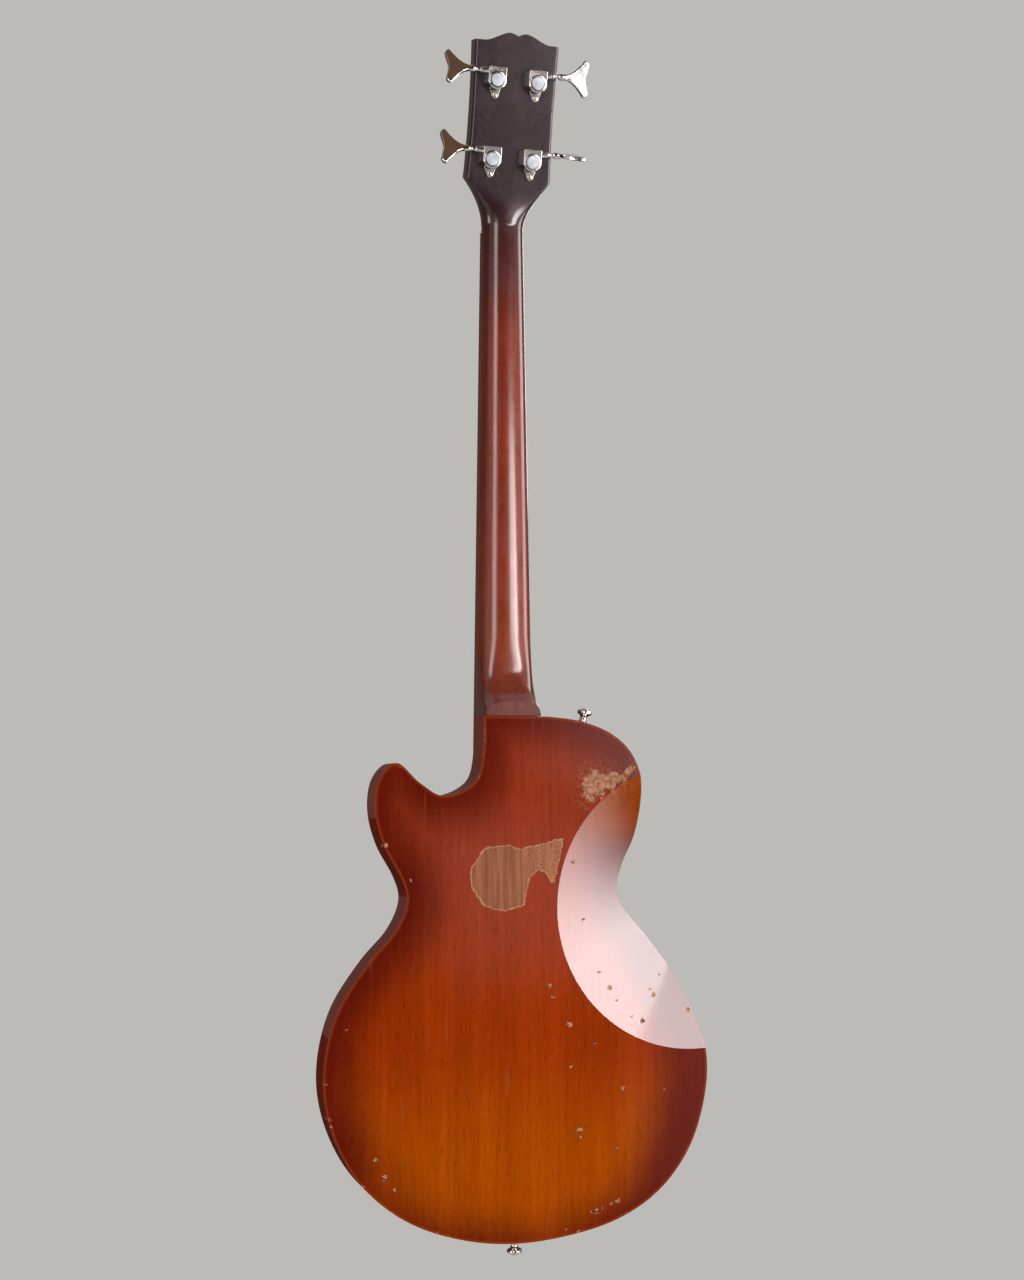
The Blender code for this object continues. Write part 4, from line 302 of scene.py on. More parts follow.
def add_cup(bm, outer, inner):
    """A cup that is open at its first rings, with a rim between its outside and its inside."""
    outside = add_rings(bm, outer, close_start=False)[0]
    inside = add_rings(bm, inner, close_start=False)[0]
    for i in range(len(outside)):
        j = (i + 1) % len(outside)
        bm.faces.new((outside[i], inside[i], inside[j], outside[j]))


def add_plate(bm, plan, y_levels):
    """A plate from an X-Z plan, from one height to another."""
    add_rings(bm, [level(plan, y) for y in y_levels])


def add_soft_plate(bm, plan, near, far, soft, steps=3):
    """A plate from near to far with both its rims rounded."""
    way = 1 if far > near else -1
    arc = [(way * soft * (1 - sin(t)), soft * (1 - cos(t))) for t in quarter(steps)]
    foot = [level(plan, near + rise, inset) for rise, inset in reversed(arc)]
    add_rings(bm, foot + [level(plan, far - rise, inset) for rise, inset in arc])


def add_lathe(bm, profile, segments, matrix=None):
    """A turned solid about local Z. The profile is (radius, height) pairs; a zero radius closes an end."""
    matrix = matrix or Matrix.Identity(4)
    loops = []
    for radius, height in profile:
        if radius == 0:
            loops.append([bm.verts.new(matrix @ Vector((0, 0, height)))])
        else:
            loops.append([bm.verts.new(matrix @ Vector((x, y, height))) for x, y in circle(radius, segments)])
    pairs = list(zip(loops, loops[1:]))
    if len(loops[0]) > 1:
        pairs.append((loops[-1], loops[0]))
    for low, high in pairs:
        for i in range(segments):
            j = (i + 1) % segments
            if len(low) == 1:
                bm.faces.new((low[0], high[j], high[i]))
            elif len(high) == 1:
                bm.faces.new((low[i], low[j], high[0]))
            else:
                bm.faces.new((low[i], low[j], high[j], high[i]))


def add_rod(bm, radius, length, segments, matrix):
    """A plain round rod from its foot up."""
    add_lathe(bm, [(0, 0), (radius, 0), (radius, length), (0, length)], segments, matrix)


def add_box(bm, low, high):
    """A box between two corners."""
    (x0, y0, z0), (x1, y1, z1) = low, high
    add_rings(bm, [[(x0, y, z0), (x1, y, z0), (x1, y, z1), (x0, y, z1)] for y in (y0, y1)])


TOWARDS = {
    "+X": Matrix.Rotation(pi / 2, 4, "Y"),
    "+Y": Matrix.Rotation(-pi / 2, 4, "X"),
    "-Y": Matrix.Rotation(pi / 2, 4, "X"),
    "+Z": Matrix.Identity(4),
}


def along(direction, place=(0.0, 0.0, 0.0)):
    """The matrix that puts a turned solid's foot at a place and points it along an axis."""
    return moved_to(place) @ TOWARDS[direction]


def on_front(base, place, turn=0.0):
    """The matrix that puts a turned piece on a front, spun about its own axis."""
    return base @ along("-Y", place) @ Matrix.Rotation(turn, 4, "Z")


def in_scene(name, data):
    """A new object at the origin of the scene."""
    made = bpy.data.objects.new(name, data)
    bpy.context.scene.collection.objects.link(made)
    return made


def as_object(name, bm):
    """An object from a finished bmesh."""
    mesh = bpy.data.meshes.new(name)
    bm.to_mesh(mesh)
    bm.free()
    return in_scene(name, mesh)


def face_out(bm):
    bmesh.ops.recalc_face_normals(bm, faces=bm.faces)


def slice_mesh(bm, point, normal, **options):
    """Cuts a mesh at a plane."""
    everything = bm.verts[:] + bm.edges[:] + bm.faces[:]
    bmesh.ops.bisect_plane(bm, geom=everything, plane_co=point, plane_no=normal, **options)


@contextmanager
def opened(made):
    """The piece's mesh, open to be changed."""
    bm = bmesh.new()
    bm.from_mesh(made.data)
    yield bm
    bm.to_mesh(made.data)
    bm.free()


def solid(name, bm, place=None):
    """An object at the origin with the mesh in its place and its faces pointing out."""
    face_out(bm)
    made = as_object(name, bm)
    if place:
        made.data.transform(place)
    return made


def shape(add, name, *values, place=None, **options):
    """A solid made by one of the add functions."""
    bm = bmesh.new()
    add(bm, *values, **options)
    return solid(name, bm, place)


def settle(made):
    """Turns the modifiers' result into the piece's plain mesh."""
    bpy.context.view_layer.update()
    graph = bpy.context.evaluated_depsgraph_get()
    mesh = bpy.data.meshes.new_from_object(made.evaluated_get(graph))
    made.modifiers.clear()
    old = made.data
    made.data = mesh
    bpy.data.meshes.remove(old)
    mesh.name = made.name
    return made


def combine(target, others, operation):
    """Joins other solids to the target, or cuts them out of it, and removes them."""
    for other in others:
        step = target.modifiers.new(operation.lower(), "BOOLEAN")
        step.operation = operation
        step.solver = "EXACT"
        step.object = other
    settle(target)
    for other in others:
        bpy.data.objects.remove(other, do_unlink=True)
    return target


def cut(target, *cutters):
    return combine(target, cutters, "DIFFERENCE")


def soften(made, width, segments=2, limit=35):
    """Rounds the sharp edges."""
    step = made.modifiers.new("soft edges", "BEVEL")
    step.width = width
    step.segments = segments
    step.limit_method = "ANGLE"
    step.angle_limit = radians(limit)
    step.use_clamp_overlap = True
    return settle(made)


def round_off(made, angle):
    """Smooth over the round stretches, crisp at edges."""
    made.data.shade_smooth()
    made.data.set_sharp_from_angle(angle=radians(angle))
    return made


def keep_flats(made):
    """Keeps the shading of flat faces flat."""
    made.modifiers.new("flat faces", "WEIGHTED_NORMAL").keep_sharp = True
    return settle(made)


def shade(made, angle=CREASE):
    return keep_flats(round_off(made, angle))


def painted(made, finish):
    """Gives the whole piece one finish."""
    made.data.materials.clear()
    made.data.materials.append(look(finish))
    made.data.polygons.foreach_set("material_index", [0] * len(made.data.polygons))


def hand_over(made, finish, node):
    """Gives the piece its finish and its body, and hides the CAD node that it stands for."""
    painted(made, finish)
    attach(made, frame["nodes"][node]["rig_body"])
    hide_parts(node)
    for row in frame["record"]["subparts"]:
        row["node"] == node
    return made


def carried(made, finish):
    """A piece of detail that rides on the instrument and stands for no CAD node of its own."""
    painted(made, finish)
    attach(made, "instrument")
    return made


def welded(node, name):
    """A merged copy of a CAD node's mesh."""
    bm = bmesh.new()
    bm.from_mesh(frame["nodes"][node].data)
    bmesh.ops.remove_doubles(bm, verts=bm.verts, dist=2e-6)
    bmesh.ops.dissolve_limit(bm, angle_limit=radians(0.6), verts=bm.verts, edges=bm.edges)
    return as_object(name, bm)


def dress(node, finish, soft=0.0, angle=CREASE):
    """A merged, softly edged copy of a CAD node in its finish."""
    made = welded(node, f"{node}_dressed")
    if soft:
        soften(made, soft)
    shade(made, angle)
    return hand_over(made, finish, node)


def kept_end(node, name, point, outward):
    """The stretch of a CAD node behind a plane, closed where it is cut."""
    made = welded(node, name)
    with opened(made) as bm:
        slice_mesh(bm, point, outward, clear_outer=True)
        rims = [edge for edge in bm.edges if len(edge.link_faces) == 1]
        bmesh.ops.holes_fill(bm, edges=rims)
        face_out(bm)
    return made


# Node trees

class Signal:
    """A node's output that adds, subtracts and multiplies like a number."""

    def __init__(self, recipe, socket):
        self.recipe = recipe
        self.socket = socket

    def __add__(self, other):
        return self.recipe.math("ADD", self, other)

    def __sub__(self, other):
        return self.recipe.math("SUBTRACT", self, other)

    def __rsub__(self, other):
        return self.recipe.math("SUBTRACT", other, self)

    def __mul__(self, other):
        return self.recipe.math("MULTIPLY", self, other)


class Recipe:
    """Adds nodes to a tree and links them as they are named."""

    def __init__(self, tree):
        self.tree = tree

    def fill(self, socket, value):
        """Links a socket to a signal, or sets it to a constant."""
        if isinstance(value, Signal):
            self.tree.links.new(value.socket, socket)
        else:
            socket.default_value = value

    def feed(self, sockets, **values):
        """Fills sockets by their names; an underscore stands for a space."""
        for name, value in values.items():
            self.fill(sockets[name.replace("_", " ")], value)

    def node(self, kind, inputs=None, **settings):
        made = self.tree.nodes.new(kind)
        for name, value in settings.items():
            setattr(made, name, value)
        for key, value in (inputs or {}).items():
            self.fill(made.inputs[key], value)
        return made

    def add(self, kind, inputs=None, out=0, **settings):
        """Adds a node and returns one of its outputs."""
        return Signal(self, self.node(kind, inputs, **settings).outputs[out])

    def split(self, vector):
        """The three parts of a vector."""
        return [Signal(self, part) for part in self.node("ShaderNodeSeparateXYZ", {0: vector}).outputs]

    def use(self, tree, where, **values):
        """The outputs of a node group at a place."""
        made = self.node("ShaderNodeGroup", {"Vector": where, **values}, node_tree=tree)
        return [Signal(self, socket) for socket in made.outputs]

    def math(self, operation, first, second=0.0, clamp=False):
        return self.add("ShaderNodeMath", {0: first, 1: second}, operation=operation, use_clamp=clamp)

    def distance(self, first, second):
        return self.add("ShaderNodeVectorMath", {0: first, 1: second}, "Value", operation="DISTANCE")

    def step(self, value, low, high, to_low=0.0, to_high=1.0):
        """A smooth rise as the value goes from low to high."""
        return self.add("ShaderNodeMapRange", {
            "Value": value, "From Min": low, "From Max": high, "To Min": to_low, "To Max": to_high,
        }, "Result", interpolation_type="SMOOTHSTEP")

    def spread(self, share, start, end):
        """A smooth change from start to end as the share goes from 0 to 1."""
        return self.step(share, 0.0, 1.0, start, end)

    def mix(self, share, first, second, blend="MIX"):
        return self.add("ShaderNodeMix", {0: share, 6: first, 7: second}, 2,
                        data_type="RGBA", blend_type=blend)

    def darkened(self, colour, shade):
        grey = self.add("ShaderNodeCombineColor", {0: shade, 1: shade, 2: shade})
        return self.mix(1.0, colour, grey, "MULTIPLY")

    def noise(self, vector, scale, detail=3.0, roughness=0.55):
        return self.add("ShaderNodeTexNoise", {
            "Vector": vector, "Scale": scale, "Detail": detail, "Roughness": roughness,
        }, "Fac")

    def stored(self, name):
        """A value stored on the mesh."""
        return self.add("ShaderNodeAttribute", out="Fac", attribute_name=name)

    def stretched(self, vector, scale, place=(0.0, 0.0, 0.0)):
        return self.add("ShaderNodeMapping", {"Vector": vector, "Scale": scale, "Location": place})

    def bump(self, height, strength, distance, **normal):
        return self.add("ShaderNodeBump", {
            "Height": height, "Strength": strength, "Distance": distance, **normal,
        }, "Normal")


def blank(owner):
    """A recipe for the owner's emptied node tree."""
    owner.use_nodes = True
    owner.node_tree.nodes.clear()
    return Recipe(owner.node_tree)


def group(name, values, results):
    """A shader node group that turns a vector and named values into named results."""
    tree = bpy.data.node_groups.new(name, "ShaderNodeTree")
    tree.interface.new_socket(name="Vector", in_out="INPUT", socket_type="NodeSocketVector")
    for way, labels in (("INPUT", values), ("OUTPUT", results)):
        for label in labels:
            tree.interface.new_socket(name=label, in_out=way, socket_type="NodeSocketFloat")
    recipe = Recipe(tree)
    entry = recipe.node("NodeGroupInput").outputs
    given = [Signal(recipe, entry[label]) for label in ("Vector", *values)]
    return recipe, given, recipe.node("NodeGroupOutput").inputs


@cache
def wood_grain():
    """Long soft streaks and short open pores, both along Z."""
    recipe, (vector, fineness), result = group("Wood grain", ("Fineness",), ("Streaks", "Pores"))
    coarse = recipe.noise(recipe.stretched(vector, (1.0, 1.0, 0.045)), fineness, 4.0, 0.6)
    short_run = recipe.stretched(vector, (1.0, 1.0, 0.09), (3.1, 1.7, 0.4))
    pores = recipe.noise(short_run, fineness * 3.4, 2.0, 0.5)
    recipe.feed(result, Streaks=recipe.step(coarse, 0.32, 0.68), Pores=recipe.step(pores, 0.6, 0.7))
    return recipe.tree


@cache
def handling():
    """Smudges and hairline scratches from years of handling."""
    recipe, (vector, scale), result = group("Handling marks", ("Scale",), ("Smudge", "Scratches"))
    smudge = recipe.noise(vector, scale, 5.0, 0.62)
    lean = recipe.add("ShaderNodeMapping", {
        "Vector": vector, "Rotation": (0.3, 0.9, 0.5), "Scale": (1.0, 0.6, 0.05),
    })
    lines = recipe.noise(lean, scale * 9.0, 1.0, 0.5)
    patchy = recipe.step(recipe.noise(vector, scale, 1.0), 0.5, 0.62)
    thin = recipe.step(lines, 0.655, 0.685)
    recipe.feed(result, Smudge=recipe.step(smudge, 0.35, 0.7), Scratches=thin * patchy)
    return recipe.tree


# Places of the larger dings on the back, in millimetres from the neck joint
DINGS = (
    (154, -271), (-30, -240), (-33, -250), (-48, -275), (-71, -292), (-49, -312), (-98, -334),
    (-137, -337), (-56, -368), (-58, -374), (-91, -385), (-54, -131), (-64, -183), (-88, -245),
    (-94, -256), (-108, -271), (-118, -275), (-128, -248), (-131, -253), (-78, -231), (-138, -235),
    (-164, -268), (-67, -440), (-71, -440), (-77, -437), (-85, -434), (-91, -432), (-43, -454),
    (-55, -457), (175, -299), (172, -316), (168, -346), (129, -382), (121, -398), (112, -409),
    (96, -144), (118, -113),
)
DING_RADII = (0.0014, 0.0024, 0.0018, 0.003, 0.0016)


def ding_marks():
    """A mask of the dings, each a small ragged spot."""
    recipe, (vector,), result = group("Ding marks", (), ("Mask",))
    rough = recipe.add("ShaderNodeTexNoise", {"Vector": vector, "Scale": 420.0, "Detail": 2.0}, "Color")
    centred = recipe.add("ShaderNodeVectorMath", {0: rough, 1: (0.5, 0.5, 0.5)}, operation="SUBTRACT")
    slight = recipe.add("ShaderNodeVectorMath", {0: centred, "Scale": 0.0042}, operation="SCALE")
    warped = recipe.add("ShaderNodeVectorMath", {0: vector, 1: slight}, operation="ADD")
    flat = recipe.stretched(warped, (1.0, 0.0, 1.0))
    total = None
    for number, (x, z) in enumerate(DINGS):
        radius = DING_RADII[number % len(DING_RADII)]
        spot = recipe.step(recipe.distance(flat, (x / 1000, 0.0, z / 1000)), radius, radius * 0.7)
        total = spot if total is None else recipe.math("MAXIMUM", total, spot)
    recipe.feed(result, Mask=total)
    return recipe.tree


def body_lacquer(recipe, where, surface):
    """A sunburst from amber to cherry, worn through to the wood on the back, with a painted highlight along
    the back's rim.
    """
    finish = bpy.context.scene.bass_finish
    across, depth, height = recipe.split(where)
    rim, bare, flake = (recipe.stored(name) for name in ("rim", "bare", "flake"))
    at_back = recipe.step(depth, -0.016, -0.013)

    drift = (recipe.noise(where, 9.0, 2.0) - 0.5) * 0.022
    inward = rim + drift + recipe.step(height, -0.36, -0.43, 0.0, 0.014)
    burst = recipe.step(inward + recipe.step(across, -0.17, -0.04, -0.022, 0.0), -0.002, 0.054)
    level = height + drift * 3.0
    middle = recipe.mix(recipe.step(level, -0.28, -0.4), finish.copper, finish.amber)
    middle = recipe.mix(recipe.step(level, -0.27, -0.1), middle, finish.russet)
    colour = recipe.mix(burst, finish.cherry, middle)
    flat = recipe.stretched(where, (1.0, 0.0, 1.0))
    from_scoop = recipe.distance(flat, (SCOOP_CENTRE[0], 0.0, SCOOP_CENTRE[1]))
    scooped = recipe.step(from_scoop, 0.13, 0.128) * recipe.step(height, -0.13, -0.09) * at_back
    colour = recipe.mix(scooped * 0.8, colour, tone(150, 66, 6))

    streaks, pores = recipe.use(wood_grain(), where, Fineness=260.0)
    broad = recipe.noise(recipe.stretched(where, (1.0, 1.0, 0.1)), 26.0, 3.0)
    shade = recipe.step(broad, 0.38, 0.66, 0.9, 1.07) * recipe.spread(streaks, 0.9, 1.04)
    colour = recipe.darkened(colour, shade * recipe.spread(pores, 1.0, 0.7))

    ragged = recipe.noise(where, 260.0, 4.0, 0.65)
    edge_bare = bare + (ragged - 0.5) * 0.0066
    bare_mask = recipe.step(edge_bare, 0.0, 0.0004) * at_back
    pale_edge = (recipe.step(edge_bare, -0.0006, 0.0) - recipe.step(edge_bare, 0.0003, 0.0009)) * at_back
    edge_flake = flake + (recipe.noise(where, 95.0, 7.0, 0.72) - 0.53) * 0.04
    flake_mask = recipe.step(edge_flake, 0.0, 0.0008) * at_back
    cracks = recipe.add("ShaderNodeTexVoronoi", {"Vector": where, "Scale": 240.0}, "Distance",
                        feature="DISTANCE_TO_EDGE")
    crazing = recipe.step(cracks, 0.05, 0.015) * (recipe.step(edge_flake, -0.016, 0.0) * at_back)

    bare_tone = recipe.mix(recipe.spread(streaks, 0.0, 1.0), tone(118, 66, 44), finish.bare_wood)
    fine = recipe.noise(recipe.stretched(where, (1.0, 1.0, 2.4)), 520.0, 3.0, 0.6)
    rubbed = recipe.spread(recipe.step(across, 0.004, -0.022), 0.35, 1.0)
    speckle = recipe.step(fine, 0.38, 0.62) * rubbed
    bare_tone = recipe.mix(speckle * 0.7, bare_tone, tone(190, 128, 94))
    flake_tone = recipe.mix(recipe.step(ragged, 0.35, 0.62), tone(140, 84, 58), tone(186, 138, 112))
    ding_tone = recipe.mix(recipe.step(ragged, 0.4, 0.6), tone(84, 38, 24), tone(192, 138, 106))
    spots, = recipe.use(ding_marks(), where)
    dings = spots * finish.wear * at_back
    smudge, scratches = recipe.use(handling(), where, Scale=22.0)
    # The back's rounded rim: chips show there, and a painted highlight line is laid along it
    corner = recipe.step(rim, 0.0028, 0.0012) * recipe.step(depth, -0.003, -0.0016)
    low_left = recipe.step(height, -0.2, -0.34) * recipe.step(across, 0.02, 0.12)
    chips = recipe.step(recipe.noise(where, 130.0, 3.0, 0.6), 0.6, 0.65) * corner
    for mask, mark in (
        (bare_mask, bare_tone),
        (pale_edge * 0.55, tone(206, 160, 128)),
        (flake_mask * 0.85, flake_tone),
        (crazing * 0.3, tone(188, 138, 110)),
        (dings, ding_tone),
        (scratches * (0.06 * finish.wear), tone(188, 128, 92)),
        # painted highlight: a lighter orange-red line along the back's rim, standing in for the glint on its
        # rounded edge
        (corner * 0.4, tone(160, 62, 24)),
        (chips * recipe.spread(low_left, 0.25, finish.wear), tone(176, 112, 72)),
    ):
        colour = recipe.mix(mask, colour, mark)

    worn = recipe.math("MAXIMUM", recipe.math("MAXIMUM", bare_mask, flake_mask), dings, clamp=True)
    rough = recipe.math("MAXIMUM", recipe.spread(smudge, 0.22, 0.36), worn * 0.62)
    ripple = recipe.bump(recipe.noise(where, 34.0, 2.0), 0.1, 0.004)
    relief = recipe.bump(pores * -0.12 - worn - crazing * 0.5, 0.55, 0.00035, Normal=ripple)
    recipe.feed(surface, Base_Color=colour, Roughness=rough, IOR=1.45, Specular_IOR_Level=0.0, Normal=relief,
                Coat_Weight=1.0 - worn * 0.93, Coat_Roughness=finish.gloss, Coat_IOR=1.5)


def neck_lacquer(recipe, where, surface):
    """Red-brown on the shaft, darker at its rounded edges by painted shade, near black on the headstock."""
    finish = bpy.context.scene.bass_finish
    across, _, height = recipe.split(where)
    streaks, pores = recipe.use(wood_grain(), where, Fineness=300.0)
    half = recipe.step(height, 0.0, 0.45, 0.0275, 0.02)
    # Share of the way out to the neck's rounded sides, where painted shade darkens it
    edge = recipe.step(recipe.math("DIVIDE", recipe.math("ABSOLUTE", across), half), 0.62, 0.98)
    cloud = recipe.noise(recipe.stretched(where, (1.0, 1.0, 0.2)), 18.0, 3.0)
    top = recipe.step(height + cloud * 0.03, 0.43, 0.5)
    red = recipe.mix(recipe.step(cloud, 0.35, 0.65), finish.neck_red, tone(136, 50, 22))
    red = recipe.mix(recipe.step(height, 0.075, 0.0), red, tone(106, 44, 34))
    # painted shade: the neck's rounded sides darken towards its edges, where the light falls off
    colour = recipe.mix(edge * 0.75, red, tone(70, 30, 20))
    colour = recipe.mix(recipe.step(height, 0.33, 0.43), colour, tone(78, 28, 22))
    colour = recipe.mix(top, colour, finish.neck_dark)
    colour = recipe.darkened(colour, recipe.spread(streaks, 0.8, 1.08) * recipe.spread(pores, 1.0, 0.72))
    smudge, scratches = recipe.use(handling(), where, Scale=30.0)
    colour = recipe.mix(scratches * (0.08 * finish.wear), colour, tone(170, 116, 88))
    ripple = recipe.bump(recipe.noise(where, 45.0, 2.0), 0.08, 0.003)
    recipe.feed(surface, Base_Color=colour, Roughness=recipe.spread(smudge, 0.24, 0.42),
                Specular_IOR_Level=0.2, Coat_Weight=1.0, Coat_Roughness=0.15, Coat_IOR=1.5,
                Normal=recipe.bump(pores, 0.25, -0.00012, Normal=ripple))


def gloss_black(recipe, where, surface):
    """Black lacquer with grey hairlines."""
    smudge, scratches = recipe.use(handling(), where, Scale=38.0)
    colour = recipe.mix(recipe.noise(where, 60.0, 3.0), tone(14, 13, 14), tone(26, 24, 25))
    recipe.feed(surface, Base_Color=recipe.mix(scratches * 0.35, colour, tone(96, 92, 90)),
                Roughness=recipe.spread(smudge, 0.16, 0.34), Coat_Weight=0.8, Coat_Roughness=0.12,
                Coat_IOR=1.5, Normal=recipe.bump(recipe.noise(where, 70.0, 2.0), 0.05, 0.002))


def metal(recipe, where, surface, light, dark, low, high, scale=55.0, pitted=0.0):
    """A plated or bare metal with smudges, hairlines and, if it is cast, pits."""
    smudge, scratches = recipe.use(handling(), where, Scale=scale)
    pits = recipe.noise(where, 900.0, 3.0) if pitted else recipe.noise(where, 160.0, 2.0)
    recipe.feed(surface, Base_Color=recipe.mix(smudge, tone(*light), tone(*dark)), Metallic=1.0,
                Roughness=recipe.spread(smudge, low, high) + scratches * 0.12,
                Normal=recipe.bump(pits - scratches * 0.6, 0.08 + pitted, 0.00015))


def mottled(recipe, where, surface, first, second, scale, low, high, relief, coat=0.0):
    """A solid colour with a faint cloud in it, such as plastic, bone or tape."""
    smudge, scratches = recipe.use(handling(), where, Scale=50.0)
    cloud = recipe.noise(where, scale, 4.0, 0.6)
    colour = recipe.mix(recipe.step(cloud, 0.3, 0.7), tone(*first), tone(*second))
    recipe.feed(surface, Base_Color=recipe.mix(scratches * 0.3, colour, tone(150, 142, 132)),
                Roughness=recipe.spread(smudge, low, high), Coat_Weight=coat,
                Normal=recipe.bump(cloud, relief, 0.0002))


def wound_wire(recipe, where, surface):
    """Round-wound string: a fine thread of ridges along its length, with painted shade in the grooves between
    them.
    """
    turns = recipe.stored("run") * (2 * pi / 0.0008)
    ridge = recipe.step(recipe.math("SINE", turns), -1.0, 1.0)
    cloud = recipe.noise(where, 70.0, 3.0)
    # painted shade: the grooves between windings darker than the ridges
    colour = recipe.mix(ridge, tone(120, 116, 110), tone(206, 202, 194))
    recipe.feed(surface, Base_Color=recipe.mix(cloud * 0.35, colour, tone(120, 98, 80)), Metallic=1.0,
                Roughness=recipe.step(cloud, 0.3, 0.7, 0.26, 0.42), Normal=recipe.bump(ridge, 0.35, 0.0002))


def board_wood(recipe, where, surface):
    """Dark banded wood with open pores."""
    streaks, pores = recipe.use(wood_grain(), where, Fineness=220.0)
    bands = recipe.noise(recipe.stretched(where, (1.0, 1.0, 0.06)), 60.0, 4.0, 0.6)
    colour = recipe.mix(recipe.step(bands, 0.35, 0.65), tone(52, 30, 22), tone(98, 60, 40))
    colour = recipe.mix(0.35, colour, recipe.mix(streaks, colour, tone(76, 46, 32)))
    recipe.feed(surface, Base_Color=recipe.mix(pores, colour, tone(28, 16, 12)),
                Roughness=recipe.spread(pores, 0.4, 0.62), Normal=recipe.bump(pores, 0.4, -0.0002))


def braid(recipe, where, surface):
    """Woven shielding over a lead, with painted shade between the strands."""
    checks = recipe.add("ShaderNodeTexVoronoi", {"Vector": where, "Scale": 1500.0}, "Distance")
    # painted shade: lighter at each strand's middle, darker where the strands meet
    recipe.feed(surface, Base_Color=recipe.mix(checks, tone(196, 190, 180), tone(96, 90, 84)),
                Metallic=0.7, Roughness=recipe.spread(checks, 0.35, 0.6),
                Normal=recipe.bump(checks, 0.5, -0.0002))


PAINTED = {
    "sunburst_lacquer": body_lacquer, "cherry_lacquer": neck_lacquer, "black_lacquer": gloss_black,
    "rosewood": board_wood, "string_wire": wound_wire, "lead_braid": braid,
}
FROM_BODY = ("sunburst_lacquer", "cherry_lacquer", "rosewood")

# Light and dark tone, roughness of clean and smudged metal, size of the marks, depth of the pits
METALS = {
    "brass": ((214, 170, 96), (170, 128, 66), 0.24, 0.42),
    "steel": ((176, 174, 170), (128, 124, 118), 0.3, 0.5),
    "chrome": ((226, 224, 222), (196, 190, 184), 0.09, 0.24),
    "satin_chrome": ((184, 189, 194), (158, 164, 170), 0.38, 0.5, 90.0),
    "cast_metal": ((206, 204, 200), (172, 168, 162), 0.2, 0.38, 40.0, 0.12),
    "nickel": ((214, 208, 196), (180, 170, 154), 0.16, 0.34),
}

# Two tones, size of the cloud, roughness of clean and smudged places, relief, coat
MOTTLED = {
    "bone": ((226, 214, 188), (208, 192, 160), 120.0, 0.28, 0.45, 0.06),
    "coil_tape": ((30, 28, 27), (44, 40, 38), 300.0, 0.45, 0.7, 0.3),
    "knob_plastic": ((17, 16, 16), (28, 26, 25), 90.0, 0.18, 0.34, 0.04, 0.5),
    "cream_plastic": ((226, 212, 180), (210, 192, 152), 80.0, 0.25, 0.4, 0.04, 0.3),
    "marker_shell": ((226, 226, 220), (190, 196, 196), 260.0, 0.2, 0.3, 0.02, 0.4),
}


def start_look(name, place=(0.0, 0.0, 0.0)):
    """A new material with its coordinates, measured from a place, and its surface's sockets."""
    material = bpy.data.materials.new(f"{name}_finish")
    recipe = blank(material)
    where = recipe.add("ShaderNodeTexCoord", out="Object")
    if any(place):
        where = recipe.stretched(where, (1.0, 1.0, 1.0), tuple(-c for c in place))
    surface = recipe.node("ShaderNodeBsdfPrincipled")
    shown = recipe.node("ShaderNodeOutputMaterial", {"Surface": Signal(recipe, surface.outputs[0])})
    shown.is_active_output = True
    return material, recipe, where, surface.inputs


@cache
def look(name):
    """The finish of that name, built the first time it is asked for."""
    material, *start = start_look(name, BASE if name in FROM_BODY else (0.0, 0.0, 0.0))
    if name in METALS:
        metal(*start, *METALS[name])
    elif name in MOTTLED:
        mottled(*start, *MOTTLED[name])
    else:
        PAINTED[name](*start)
    return material


# Measures shared by the neck, the strings and the headstock, as in the part's source

BOARD_THICKNESS = 0.006
BOARD_RADIUS = 0.305
BOARD_TAIL = 0.006
FRET_WIDTH = 0.0026
FRET_HEIGHT = 0.001
FRET_SEAT = 0.0006
FRET_INSET = 0.0007
NECK_DEPTH_NUT = 0.0155
NECK_DEPTH_HEEL = 0.0195
HEEL_SWEEP_START = 0.045
HEEL_SWEEP_RADIUS = 0.0374
HEEL_STEP = 0.002
TENON_WIDTH = 0.042
TENON_FLOOR = 0.012
TENON_LENGTH = 0.086
HEAD_CORNER_HEIGHT = 0.043
HEAD_CORNER_HALF = 0.04
HEAD_WAIST_HALF = 0.0385
HEAD_TOP_HALF = 0.0398
HEAD_SIDE_TOP = 0.1643
CROWN_RISE = 0.008
CROWN_DIP = 0.0024
CROWN_HUMP = 0.007
CROWN_FOOT = 0.031
VENEER_THICKNESS = 0.0015
ROD_RADIUS = 0.0028
ROD_DEPTH = 0.007
ROD_TAIL = -0.04
ROD_POCKET_HALF = 0.006
BOARD_END = NUT_S - SCALE_LENGTH * (1 - 2 ** (-FRET_COUNT / 12)) - BOARD_TAIL
BRIDGE_S = NUT_S - SCALE_LENGTH
STRING_DIAMETERS = (0.00267, 0.00216, 0.00165, 0.00114)
STRING_COUNT = 4
STRING_SPACING_NUT = 0.01
STRING_SPACING_BRIDGE = 0.019
STRING_LIFT_NUT = 0.0004
STRING_LIFT_BRIDGE = 0.0045


def neck_half_width(s):
    """Half the neck's width, s along the neck from the body joint."""
    return (NUT_WIDTH + NECK_TAPER * (NUT_S - s)) / 2


def fret_s(number):
    """Where a fret lies along the neck."""
    return NUT_S - SCALE_LENGTH * (1 - 2 ** (-number / 12))


def board_sag(x):
    """How far the fingerboard's rounded top lies below its centre line."""
    return BOARD_RADIUS - sqrt(BOARD_RADIUS ** 2 - x ** 2)


def string_x(index, s):
    """A string's place across the neck."""
    share = (NUT_S - s) / SCALE_LENGTH
    spacing = STRING_SPACING_NUT + (STRING_SPACING_BRIDGE - STRING_SPACING_NUT) * share
    return (index - (STRING_COUNT - 1) / 2) * spacing


